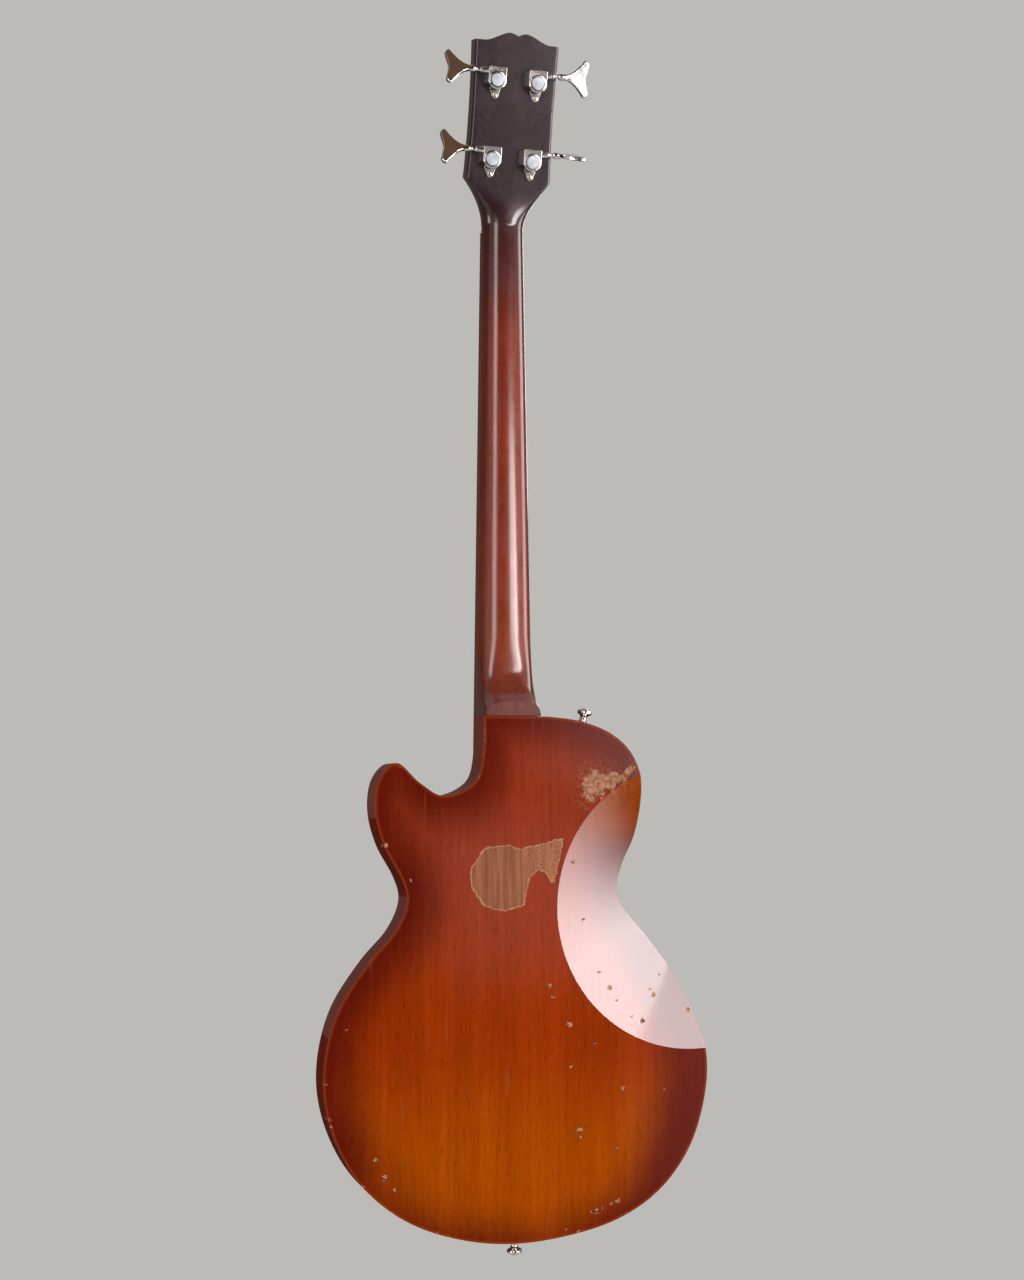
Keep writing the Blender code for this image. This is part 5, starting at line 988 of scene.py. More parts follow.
def string_underside(s):
    """Height of the strings' undersides above the fingerboard's underside."""
    share = (NUT_S - s) / SCALE_LENGTH
    lift = STRING_LIFT_NUT + (STRING_LIFT_BRIDGE - STRING_LIFT_NUT) * share
    return BOARD_THICKNESS + FRET_HEIGHT + lift


def neck_to_body(x, height, s):
    """The body frame's coordinates of a neck point."""
    c, k = cos(NECK_PITCH), sin(NECK_PITCH)
    return Vector((x, FRONT - height * c + s * k, height * k + s * c))


def head_to_neck(x, y, z):
    """The neck frame's coordinates of a headstock point."""
    c, k = cos(HEAD_TILT), sin(HEAD_TILT)
    return Vector((x, y * c + z * k, HEAD_S - y * k + z * c))


def head_half_width(z):
    """Half the headstock's width at a height above the nut."""
    neck = neck_half_width(NUT_S)
    if z <= 0:
        return neck
    if z < HEAD_CORNER_HEIGHT:
        share = z / HEAD_CORNER_HEIGHT
        return neck + (HEAD_CORNER_HALF - neck) * (0.1 * share + 0.9 * share ** 1.9)
    share = (z - HEAD_CORNER_HEIGHT) / (HEAD_SIDE_TOP - HEAD_CORNER_HEIGHT)
    straight = HEAD_CORNER_HALF + (HEAD_TOP_HALF - HEAD_CORNER_HALF) * share
    middle = (HEAD_CORNER_HALF + HEAD_TOP_HALF) / 2 - HEAD_WAIST_HALF
    return straight - 4 * middle * share * (1 - share)


def crown_height(x):
    """The headstock's top edge: two low humps with a dip between them."""
    side = abs(x)
    if side >= CROWN_FOOT:
        return HEAD_SIDE_TOP
    if side >= CROWN_HUMP:
        share = (CROWN_FOOT - side) / (CROWN_FOOT - CROWN_HUMP)
        return HEAD_SIDE_TOP + CROWN_RISE * share ** 2 * (3 - 2 * share)
    share = 1 - side / CROWN_HUMP
    return HEAD_SIDE_TOP + CROWN_RISE - CROWN_DIP * share ** 1.5


def crown_points(count=44):
    """The top edge from the treble side to the bass side."""
    xs = [HEAD_TOP_HALF * (1 - 2 * i / count) for i in range(count + 1)]
    return [(x, crown_height(x)) for x in xs]


# Body

GRID_FINE = 0.0035
CHANNEL_RADIUS = 0.0038
PATCH_BAND = (-0.122, 0.048, -0.182, -0.04)
BARE_PATCH = (
    (0.042, -0.137), (0.029, -0.117), (0.005, -0.115), (-0.002, -0.119), (-0.027, -0.114),
    (-0.045, -0.109), (-0.035, -0.151), (-0.027, -0.139), (-0.019, -0.138), (-0.012, -0.145),
    (-0.007, -0.169), (0.012, -0.173), (0.03, -0.168), (0.041, -0.151),
)
FLAKED_PATCH = (
    (-0.062, -0.058), (-0.071, -0.047), (-0.085, -0.051), (-0.116, -0.045), (-0.104, -0.06),
    (-0.08, -0.076), (-0.064, -0.076),
)
PICKUP_PLACES = (-0.125, -0.25)
CHANNELS = (
    ((0.022, FRONT + 0.012, -0.135), (0.022, FRONT + 0.012, -0.24)),
    ((0.04, FRONT + 0.012, -0.258), (0.08, FRONT + 0.012, -0.302)),
)


def away_from(ring, x, z):
    """Distance from a point to a closed ring, above zero inside it."""
    nearest, inside = 1.0, False
    for i, (x1, z1) in enumerate(ring):
        x0, z0 = ring[i - 1]
        dx, dz = x1 - x0, z1 - z0
        length = dx * dx + dz * dz
        share = max(0.0, min(1.0, ((x - x0) * dx + (z - z0) * dz) / length)) if length else 0.0
        nearest = min(nearest, hypot(x - x0 - share * dx, z - z0 - share * dz))
        if (z0 > z) != (z1 > z) and x < x0 + (z - z0) * dx / dz:
            inside = not inside
    return nearest if inside else -nearest


def body_plan(steps):
    """The body's outline as a closed ring of points."""
    return [tuple(p) for p in smooth_curve(BODY_OUTLINE, steps)][:-1]


def round_rim(bm):
    """Rounds the edge between the side wall and the front, the back and the scoop."""
    bmesh.ops.remove_doubles(bm, verts=bm.verts, dist=1e-6)
    bmesh.ops.dissolve_limit(bm, angle_limit=radians(0.3), verts=bm.verts, edges=bm.edges)
    for front, segments in ((False, 4), (True, 3)):
        rim = []
        for edge in bm.edges:
            walls = [abs(face.normal.y) < 0.5 for face in edge.link_faces]
            at_front = all(vert.co.y < FRONT / 2 for vert in edge.verts)
            under_heel = at_front and all(vert.co.z > -GAP for vert in edge.verts)
            if len(walls) == 2 and walls[0] != walls[1] and at_front == front and not under_heel:
                rim.append(edge)
        bmesh.ops.bevel(
            bm, geom=rim, offset=BODY_EDGE_RADIUS, offset_type="OFFSET", segments=segments,
            profile=0.5, affect="EDGES", clamp_overlap=True,
        )


def lay_grid(bm, pitch):
    """Cuts the flat faces so that their points can carry the sunburst and the worn patches."""
    def lines(low, high, fine_low, fine_high):
        places, place = [], low
        while place < high:
            places.append(place)
            place += GRID_FINE if fine_low < place < fine_high else pitch
        return places
    x_low, x_high, z_low, z_high = PATCH_BAND
    cuts = [((x, 0, 0), (1, 0, 0)) for x in lines(-0.176, 0.173, x_low, x_high)]
    cuts += [((0, 0, z), (0, 0, 1)) for z in lines(-0.46, -0.001, z_low, z_high)]
    for place, square in cuts:
        slice_mesh(bm, place, square, dist=1e-6)


def mark_edges(bm):
    """Smooth faces, with crisp edges at corners and round the scoop."""
    slope = SCOOP_SLOPE * 0.6
    for edge in bm.edges:
        flat = len(edge.link_faces) == 2 and all(face.normal.y > 0.9 for face in edge.link_faces)
        edge.smooth = not (len(edge.link_faces) == 2 and (
            edge.calc_face_angle() > radians(CREASE) or flat and edge.calc_face_angle() > slope))
    for face in bm.faces:
        face.smooth = True


def routed_out():
    """The neck pocket, and the cavities and channels cut from the front."""
    over = 0.02
    side = TENON_WIDTH / 2 + GAP
    pocket = shape(add_box, "pocket", (-side, FRONT - over, -TENON_LENGTH - GAP),
                   (side, -TENON_FLOOR + GAP, over))
    cavities, channels = bmesh.new(), bmesh.new()
    for place in PICKUP_PLACES:
        plan = rounded_box(0.0472, 0.02, 0.006, 6, (0.0, place))
        add_plate(cavities, plan, (FRONT - over, FRONT + 0.019))
    plan = rounded(shrunk(CONTROL_OUTLINE, CONTROL_RIM), CONTROL_CORNER - CONTROL_RIM / 2, 6)
    add_plate(cavities, plan, (FRONT - over, FRONT + 0.029))
    for start, end in CHANNELS:
        ahead = Vector(end) - Vector(start)
        place = moved_to(start) @ ahead.to_track_quat("Z", "Y").to_matrix().to_4x4()
        add_rod(channels, CHANNEL_RADIUS, ahead.length, 20, place)
    return pocket, solid("cavities", cavities), solid("channels", channels)


CONTROL_RIM = 0.0085
CONTROL_CORNER = 0.012


def shrunk(corners, amount):
    """The polygon with its corners drawn towards its middle."""
    centre = sum((Vector(c) for c in corners), Vector((0.0, 0.0))) / len(corners)
    moved = []
    for corner in corners:
        arm = Vector(corner) - centre
        moved.append(tuple(centre + arm * (arm.length - amount) / arm.length))
    return moved


def fastener_bores():
    """Narrow bores for the studs and the strap buttons' screws, from the frame's places."""
    bores = bmesh.new()
    for place in stud_places():
        add_plate(bores, circle(0.0038, 20, place), (FRONT - 0.02, FRONT + 0.0183))
    for place, turn in strap_places():
        matrix = moved_to(place) @ turn
        add_lathe(bores, [(0, -0.025), (0.0023, -0.024), (0.0023, 0.01), (0, 0.01)], 12, matrix)
    return solid("bores", bores)


def strap_places():
    """Each strap button's foot on the body's edge, and the way it points."""
    plan = body_plan(8)
    def crossing(x, pick):
        found = []
        for (x0, z0), (x1, z1) in zip(plan, plan[1:] + plan[:1]):
            if (x0 - x) * (x1 - x) <= 0 and x0 != x1:
                found.append(z0 + (z1 - z0) * (x - x0) / (x1 - x0))
        return pick(found)
    return [
        (Vector((-0.07, FRONT / 2, crossing(-0.07, max) + GAP + 0.0006)),
         Matrix.Rotation(-radians(14.0), 4, "Y")),
        (Vector((0.0, FRONT / 2, crossing(0.0, min) - GAP - 0.0002)), Matrix.Rotation(pi, 4, "X")),
    ]


def bridge_z():
    """The bridge's place on the body, from the scale."""
    return neck_to_body(0.0, string_underside(BRIDGE_S), BRIDGE_S).z


def stud_places():
    z = bridge_z()
    return [(-0.047, z + 0.002), (0.047, z + 0.002), (0.0, z - 0.033)]


def make_body(scene):
    """The slab: its outline, scoop, round edges and cavities, and the marks its finish reads."""
    sizes = scene.bass_sizes
    plan = body_plan(sizes.outline_steps)
    made = shape(add_plate, "body_shell", plan, (FRONT, 0.0))
    depth = SCOOP_RADIUS * tan(SCOOP_SLOPE)
    cone = [(0, -depth), (SCOOP_RADIUS * 1.1, depth * 0.1), (0, depth * 0.1)]
    place = along("+Y", (SCOOP_CENTRE[0], 0.0, SCOOP_CENTRE[1]))
    cut(made, shape(add_lathe, "scoop", cone, 180, place))
    with opened(made) as bm:
        round_rim(bm)
    cut(made, *routed_out(), fastener_bores())
    with opened(made) as bm:
        bmesh.ops.remove_doubles(bm, verts=bm.verts, dist=1e-6)
        lay_grid(bm, sizes.mesh_pitch)
        mark_edges(bm)
        layers = [bm.verts.layers.float.new(name) for name in ("rim", "bare", "flake")]
        for vert in bm.verts:
            for layer, ring in zip(layers, (plan, BARE_PATCH, FLAKED_PATCH)):
                vert[layer] = away_from(ring, vert.co.x, vert.co.z)
    made.data.transform(TO_BODY)
    hand_over(keep_flats(made), "sunburst_lacquer", "body")


class BASS_OT_body(Operator):
    """Makes the slab with its scoop, its round edges and the cavities in it."""

    bl_idname = "bass.body"
    bl_label = "Body"

    def execute(self, context):
        make_body(context.scene)
        return {"FINISHED"}


# Neck

NECK_POINTS = 36


def neck_section(half, depth, power):
    """Half-round points behind the fingerboard's plane: (across, behind), treble side to bass side."""
    points = []
    for i in range(NECK_POINTS + 1):
        angle = pi * i / NECK_POINTS
        across = copysign(abs(cos(angle)) ** (2 / power), cos(angle))
        behind = 0.0 if i in (0, NECK_POINTS) else abs(sin(angle)) ** (2 / power)
        points.append((half * across, depth * behind))
    return points


def heel_depth(s):
    """Depth of the wood behind the fingerboard's plane, deepening into the heel."""
    share = (NUT_S - s) / NUT_S
    depth = NECK_DEPTH_NUT + (NECK_DEPTH_HEEL - NECK_DEPTH_NUT) * share
    run = HEEL_SWEEP_START - s
    if run <= 0:
        return depth
    steep = HEEL_SWEEP_RADIUS * 0.83
    if run <= steep:
        return depth + HEEL_SWEEP_RADIUS - sqrt(HEEL_SWEEP_RADIUS ** 2 - run ** 2)
    slope = steep / sqrt(HEEL_SWEEP_RADIUS ** 2 - steep ** 2)
    reach = HEEL_SWEEP_RADIUS - sqrt(HEEL_SWEEP_RADIUS ** 2 - steep ** 2)
    return depth + reach + slope * (run - steep)


def heel_power(s):
    """The section grows squarer towards the heel."""
    if s > 0.075:
        return 2.25
    share = (0.075 - max(s, 0.0)) / 0.075
    return 2.25 + 2.9 * share ** 1.6


def flat_section(half, depth):
    """The headstock's section: flat back, sides square to it, small round back edges."""
    r = 0.0026
    side = [(half, depth * share) for share in (0.0, 0.25, 0.5, 0.7)]
    corner = [(half - r + r * cos(a), depth - r + r * sin(a)) for a in quarter(6)]
    flat = [((half - r) * (1 - i / 8), depth) for i in range(1, 9)]
    right = side + corner + flat
    return right + [(-x, y) for x, y in reversed(right[:-1])]


def neck_rings():
    """Cross-sections from inside the body up to the headstock's top, in the neck's frame."""
    places = [-0.012, -0.006] + [0.0035 * i for i in range(24)] + [0.1, 0.13, 0.17, 0.22, 0.27, 0.32, 0.37]
    places += [NUT_S - 0.02, NUT_S - 0.008]
    rings = []
    for s in places:
        half = neck_half_width(s)
        rings.append([Vector((x, y, s)) for x, y in neck_section(half, heel_depth(s), heel_power(s))])
    heights = [0.0025 * i for i in range(21)] + [0.06, 0.085, 0.11, 0.14]
    heights.append(HEAD_SIDE_TOP + CROWN_RISE + 0.004)
    for z in heights:
        share = min(1.0, z / 0.04)
        ease = share * share * (3 - 2 * share)
        half = head_half_width(min(z, HEAD_SIDE_TOP))
        depth = NECK_DEPTH_NUT + (HEAD_THICKNESS - NECK_DEPTH_NUT) * ease
        lean = HEAD_TILT * (1 - min(1.0, (z + 0.012) / 0.04))
        ring = []
        for (xa, ya), (xb, yb) in zip(neck_section(half, depth, 2.25), flat_section(half, depth)):
            x, y = xa + (xb - xa) * ease, ya + (yb - ya) * ease
            ring.append(head_to_neck(x, y * cos(lean), z + y * sin(lean)))
        rings.append(ring)
    return rings


POST_SIDE = 0.019
POST_LOWER = 0.0605
POST_UPPER = 0.13
POST_HOLE = 0.0076


def post_places():
    """Post axes on the headstock in string order: bass side low and high, treble side high and low."""
    return [(-POST_SIDE, POST_LOWER), (-POST_SIDE, POST_UPPER),
            (POST_SIDE, POST_UPPER), (POST_SIDE, POST_LOWER)]


def neck_openings():
    """Rod channel, rod pocket, post holes and screw bores, as solids in the world's frame."""
    side, half = ROD_RADIUS + GAP, ROD_POCKET_HALF
    channel = shape(add_box, "channel", (-side, -0.01, ROD_TAIL - GAP),
                    (side, ROD_DEPTH + side, HEAD_S + 0.006), place=TO_NECK)
    pocket = shape(add_box, "pocket", (-half, -0.02, HEAD_S + 0.0035),
                   (half, ROD_DEPTH + 0.0052, HEAD_S + 0.03), place=TO_NECK)
    posts = bmesh.new()
    for x, z in post_places():
        add_plate(posts, circle(POST_HOLE, 32, (x, z)), (-0.01, HEAD_THICKNESS + 0.01))
        screw = circle(0.0015, 12, (x, z - 0.013))
        add_plate(posts, screw, (HEAD_THICKNESS - 0.009, HEAD_THICKNESS + 0.01))
    return channel, pocket, solid("post_holes", posts, TO_HEAD)


def make_neck():
    """Heel, shaft and headstock from one skin, with the tenon joined and the rest cut away."""
    made = shape(add_rings, "neck_shaft", neck_rings(), place=TO_NECK)
    cut(made,
        shape(add_box, "heel", (-0.05, -HEEL_STEP, -0.05), (0.05, 0.05, 0.1), place=TO_BODY),
        shape(add_box, "foot", (-0.05, -0.08, -0.06), (0.05, 0.06, GAP), place=TO_BODY))
    soften(made, 0.0012, 3, 50)
    tilt = Matrix.Rotation(NECK_PITCH, 3, "X")
    low = tilt @ Vector((0, -FRONT - TENON_FLOOR, -TENON_LENGTH))
    high = tilt @ Vector((0, -FRONT - TENON_FLOOR, 0.008))
    profile = [(low.y, low.z), (high.y, high.z), (0.0, 0.008), (0.0, low.z)]
    sides = [[(x, y, z) for y, z in profile] for x in (-TENON_WIDTH / 2, TENON_WIDTH / 2)]
    combine(made, [shape(add_rings, "tenon", sides, place=TO_NECK)], "UNION")
    top = HEAD_SIDE_TOP + CROWN_RISE + 0.02
    plan = [(0.05, HEAD_SIDE_TOP)] + crown_points() + [(-0.05, HEAD_SIDE_TOP), (-0.05, top), (0.05, top)]
    crown = shape(add_plate, "crown", plan, (-0.01, HEAD_THICKNESS + 0.01), place=TO_HEAD)
    cut(made, crown, *neck_openings())
    hand_over(shade(made, 34), "cherry_lacquer", "neck")


class BASS_OT_neck(Operator):
    """Makes the neck in one piece: heel, tenon, shaft and tilted headstock."""

    bl_idname = "bass.neck"
    bl_label = "Neck"

    def execute(self, context):
        make_neck()
        return {"FINISHED"}


# Repeated hardware and swept wire, made by Geometry Nodes

def geometry_tree(name, inputs):
    """A Geometry Nodes tree with geometry in and out, its named inputs, and their identifiers."""
    tree = bpy.data.node_groups.new(name, "GeometryNodeTree")
    for way in ("INPUT", "OUTPUT"):
        tree.interface.new_socket(name="Geometry", in_out=way, socket_type="NodeSocketGeometry")
    names = {}
    for label, kind in inputs.items():
        names[label] = tree.interface.new_socket(name=label, in_out="INPUT", socket_type=kind).identifier
    recipe = Recipe(tree)
    entry = recipe.node("NodeGroupInput").outputs
    return recipe, {label: Signal(recipe, entry[label]) for label in ("Geometry", *names)}, names


def end_tree(recipe, given, names, mesh):
    """Ends a tree: its instances are made real and get their finish."""
    real = recipe.add("GeometryNodeRealizeInstances", {"Geometry": mesh})
    done = recipe.add("GeometryNodeSetMaterial", {"Geometry": real, "Material": given["Finish"]})
    recipe.feed(recipe.node("NodeGroupOutput").inputs, Geometry=done)
    return recipe.tree, names


@cache
def hardware_tree():
    """Puts a template piece at each point, turned by the point's attribute."""
    recipe, given, names = geometry_tree("Repeated hardware", {
        "Template": "NodeSocketObject", "Finish": "NodeSocketMaterial",
    })
    template = recipe.add("GeometryNodeObjectInfo", {"Object": given["Template"]}, "Geometry",
                          transform_space="ORIGINAL")
    turn = recipe.add("GeometryNodeInputNamedAttribute", {"Name": "turn"}, "Attribute",
                      data_type="FLOAT_VECTOR")
    copies = recipe.add("GeometryNodeInstanceOnPoints", {
        "Points": given["Geometry"], "Instance": template, "Rotation": turn,
    })
    return end_tree(recipe, given, names, copies)


@cache
def wire_tree():
    """Sweeps a round section along a path and stores how far along it each point lies."""
    recipe, given, names = geometry_tree("Swept wire", {
        "Radius": "NodeSocketFloat", "Sides": "NodeSocketInt", "Finish": "NodeSocketMaterial",
    })
    path = recipe.add("GeometryNodeMeshToCurve", {"Mesh": given["Geometry"]})
    run = recipe.add("GeometryNodeSplineParameter", out="Length")
    marked = recipe.add("GeometryNodeStoreNamedAttribute", {
        "Geometry": path, "Name": "run", "Value": run,
    }, data_type="FLOAT", domain="POINT")
    section = recipe.add("GeometryNodeCurvePrimitiveCircle", {
        "Resolution": given["Sides"], "Radius": given["Radius"],
    })
    tube = recipe.add("GeometryNodeCurveToMesh", {
        "Curve": marked, "Profile Curve": section, "Fill Caps": True,
    })
    return end_tree(recipe, given, names, tube)


def run_tree(made, tree_and_names, **values):
    """Runs a tree on an object and keeps the result as its plain mesh."""
    tree, names = tree_and_names
    step = made.modifiers.new(tree.name, "NODES")
    step.node_group = tree
    for label, value in values.items():
        step[names[label]] = value
    return settle(made)


def repeated(name, template, places, finish):
    """One carried piece made of a template's copies, each at its own place."""
    mesh = bpy.data.meshes.new(name)
    mesh.from_pydata([tuple(place.translation) for place in places], [], [])
    turns = mesh.attributes.new("turn", "FLOAT_VECTOR", "POINT")
    for i, place in enumerate(places):
        turns.data[i].vector = place.to_euler()
    made = run_tree(in_scene(name, mesh), hardware_tree(), Template=template, Finish=look(finish))
    bpy.data.objects.remove(template, do_unlink=True)
    return carried(shade(made), finish)


def swept(name, points, radius, sides, finish):
    """A wire along a path."""
    mesh = bpy.data.meshes.new(name)
    mesh.from_pydata([tuple(p) for p in points], [(i, i + 1) for i in range(len(points) - 1)], [])
    made = run_tree(in_scene(name, mesh), wire_tree(), Radius=radius, Sides=sides, Finish=look(finish))
    with opened(made) as bm:
        face_out(bm)
    return round_off(made, 50)


def joined(name, parts):
    """One object from several, kept as separate shells."""
    bm = bmesh.new()
    for part in parts:
        bm.from_mesh(part.data)
        bpy.data.objects.remove(part, do_unlink=True)
    return as_object(name, bm)


def crossed(arm, half, low, high):
    """The two slots of a cross recess."""
    return (shape(add_box, "slot", (-arm, -half, low), (arm, half, high)),
            shape(add_box, "slot_across", (-half, -arm, low), (half, arm, high)))


def screw_head(radius, height):
    """A domed head with a cross recess, its foot on the surface."""
    head = shape(add_lathe, "screw_head", [
        (0, -0.0004), (radius, -0.0004), (radius, height * 0.25), (radius * 0.93, height * 0.62),
        (radius * 0.72, height * 0.9), (radius * 0.42, height), (0, height),
    ], 24)
    return cut(head, *crossed(radius * 0.56, radius * 0.13, height * 0.35, height + 0.001))


# Tuners. Each tuner's frame: +X runs out to the button, +Y out of the headstock's back.

GEAR_RADIUS = 20 * 0.0006 / 2
WORM_PITCH = pi * 0.0006
AXLE_DISTANCE = GEAR_RADIUS + 0.0019
KEY_AXIS_HEIGHT = 0.0046
GEAR_WIDTH = 0.004
POST_RADIUS = 0.0046
POST_WAIST = 0.0041
CASE_RADIUS = 0.0085
CASE_TOP = 0.0115
CASE_HEIGHT = 0.0085
CASE_WALL = 0.001
CAP_RADIUS = 0.0077
CAP_HEIGHT = 0.001
TAB_DISTANCE = 0.013
TAB_RADIUS = 0.0032
TAB_THICKNESS = 0.0014
SHAFT_RADIUS = 0.0019
SLEEVE_RADIUS = 0.003
SLEEVE_LENGTH = 0.005
KEY_REACH = 0.0485
BUTTON_START = 0.0225
BUTTON_HALF = 0.0163
BUTTON_THICKNESS = 0.0042
KEY_REST_TURNS = (82.0, 2.0, 27.0, 25.0)
BUSHING_RADIUS = 0.007
BUSHING_FLANGE = 0.0088


def case_plan(inset):
    """The housing seen from behind: square shoulders above, round below."""
    radius = CASE_RADIUS - inset
    top = CASE_TOP - inset
    chamfer = 0.0012
    plan = [(radius - chamfer + chamfer * cos(a), top - chamfer + chamfer * sin(a))
            for a in quarter(4)]
    plan += [(-x, z) for x, z in reversed(plan)]
    for i in range(33):
        angle = pi + pi * i / 32
        plan.append((radius * cos(angle), radius * sin(angle)))
    return plan


def tab_plan():
    """The screw tab, from inside the housing's round wall to its round tip."""
    seat = CASE_RADIUS - CASE_WALL / 2
    plan = []
    for i in range(9):
        angle = radians(-135 + 90 * i / 8)
        plan.append((seat * cos(angle), seat * sin(angle)))
    for i in range(17):
        angle = radians(-15 - 150 * i / 16)
        plan.append((TAB_RADIUS * cos(angle), -TAB_DISTANCE + TAB_RADIUS * sin(angle)))
    return plan


def button_plan():
    """The fishtail button: a narrow root, concave shoulders, round lobes and a hollow end."""
    root = BUTTON_START
    length = KEY_REACH - BUTTON_START
    lobe = 0.004
    centre = (KEY_REACH - lobe - 0.0004, BUTTON_HALF - lobe)
    marks = [
        (root, 0.0024), (root + length * 0.24, 0.0031), (root + length * 0.46, 0.0064),
        (root + length * 0.68, 0.012),
    ]
    marks += [
        (centre[0] + lobe * cos(a), centre[1] + lobe * sin(a))
        for a in (radians(d) for d in (95, 55, 15, -25))
    ]
    marks += [(KEY_REACH - 0.0018, 0.0062), (KEY_REACH - 0.0027, 0.0028), (KEY_REACH - 0.003, 0.0)]
    upper = [tuple(p) for p in smooth_curve(marks, 5)]
    return upper + [(x, -z) for x, z in reversed(upper[:-1])]


def tuner_place(index):
    x, z = post_places()[index]
    return TO_HEAD @ moved_to((x, HEAD_THICKNESS, z))


def placed(made, matrix, mirrored):
    """Mirrors a bass-side piece about its own frame, then puts it in place."""
    if mirrored:
        with opened(made) as bm:
            bmesh.ops.scale(bm, vec=(-1, 1, 1), verts=bm.verts)
            face_out(bm)
    made.data.transform(matrix)
    return made


def make_housing(index, base, mirrored):
    """The hollow case with its cap, screw tab and shaft sleeve."""
    foot, top, soft = 2 * GAP, CASE_HEIGHT, 0.0006
    outer, inner = case_plan(0.0), case_plan(CASE_WALL)
    walls = [[(x, foot, z) for x, z in drawn_in(outer, 0.0)]]
    walls += [[(x, top - soft + soft * sin(t), z) for x, z in drawn_in(outer, soft * (1 - cos(t)))]
              for t in quarter(4)]
    housing = shape(add_cup, f"tuner_{index + 1}_housing", walls,
                    [level(inner, foot), level(inner, top - CASE_WALL)])
    on_case = along("+Y", (0, CASE_HEIGHT, 0))
    rim = CAP_RADIUS
    cap = shape(add_lathe, "cap", [
        (0, -CASE_WALL / 2), (rim, -CASE_WALL / 2), (rim, CAP_HEIGHT * 0.35),
        (rim - 0.0002, CAP_HEIGHT * 0.6), (rim - 0.0006, CAP_HEIGHT * 0.8),
        (rim - 0.0014, CAP_HEIGHT * 0.8), (rim - 0.0017, CAP_HEIGHT * 0.35), (0, CAP_HEIGHT * 0.35),
    ], 48, on_case)
    tab = shape(add_soft_plate, "tab", tab_plan(), GAP, GAP + TAB_THICKNESS, 0.0003, 2)
    start = CASE_RADIUS - CASE_WALL * 0.5
    length = SLEEVE_LENGTH + CASE_WALL * 0.5
    lip = SLEEVE_RADIUS
    sleeve = shape(add_lathe, "sleeve", [
        (0, 0), (lip, 0), (lip, length - 0.0022), (lip - 0.0003, length - 0.0019),
        (lip - 0.0003, length - 0.0015), (lip, length - 0.0012), (lip, length - 0.0003),
        (lip - 0.0003, length), (0, length),
    ], 28, along("+X", (start, KEY_AXIS_HEIGHT, AXLE_DISTANCE)))
    inside = along("+X", (CASE_RADIUS - 2 * CASE_WALL, KEY_AXIS_HEIGHT, AXLE_DISTANCE))
    bore = shape(add_rod, "bore", SHAFT_RADIUS + 0.0003, 0.02, 24, inside)
    face = CAP_RADIUS - 0.0022
    disc = shape(add_lathe, f"tuner_{index + 1}_cap", [
        (0, CAP_HEIGHT * 0.3), (face, CAP_HEIGHT * 0.3), (face, CAP_HEIGHT * 1.02),
        (face - 0.0002, CAP_HEIGHT * 1.08), (0, CAP_HEIGHT * 1.1),
    ], 48, on_case)
    carried(shade(placed(disc, base, mirrored), 34), "satin_chrome")
    combine(housing, [cap, tab, sleeve], "UNION")
    cut(housing, bore)
    soften(housing, 0.00018, 1, 60)
    placed(housing, base, mirrored)
    return hand_over(shade(housing, 34), "chrome", f"tuner_housing_{index + 1}")


def make_key(index, base, mirrored):
    """The turned shaft and the button, fitted to the CAD key's own worm."""
    node = f"tuner_key_{index + 1}"
    turn = Matrix.Rotation(radians(KEY_REST_TURNS[index]), 4, "X")
    axis = base @ moved_to((0, KEY_AXIS_HEIGHT, AXLE_DISTANCE)) @ turn
    side = -1 if mirrored else 1
    worm_end = WORM_PITCH * 1.75 + 0.0004
    outward = axis.to_3x3() @ Vector((side, 0, 0))
    worm = kept_end(node, f"{node}_worm", axis @ Vector((side * worm_end, 0, 0)), outward)
    sleeve_end = CASE_RADIUS + SLEEVE_LENGTH
    thin, full = SHAFT_RADIUS, SLEEVE_RADIUS
    shaft = shape(add_lathe, "shaft", [
        (0, worm_end), (thin * 0.5, worm_end), (thin, worm_end + 0.0004), (thin, sleeve_end + GAP),
        (full - 0.0003, sleeve_end + GAP), (full, sleeve_end + 0.0006), (full, sleeve_end + 0.0015),
        (full - 0.0003, sleeve_end + 0.0018), (thin + 0.0001, sleeve_end + 0.0022),
        (thin, BUTTON_START - 0.0036), (thin + 0.0004, BUTTON_START - 0.0026),
        (full, BUTTON_START - 0.001), (full, BUTTON_START + 0.0012), (full - 0.0006, BUTTON_START + 0.0046),
        (0.0012, BUTTON_START + 0.009), (0, BUTTON_START + 0.011),
    ], 32, along("+X"))
    half = BUTTON_THICKNESS / 2
    combine(shaft, [shape(add_soft_plate, "button", button_plan(), -half, half, 0.0011, 5)], "UNION")
    soften(shaft, 0.00015, 1, 60)
    placed(shaft, axis, mirrored)
    made = joined(f"tuner_{index + 1}_key", [worm, shaft])
    return hand_over(shade(made, 40), "chrome", node)


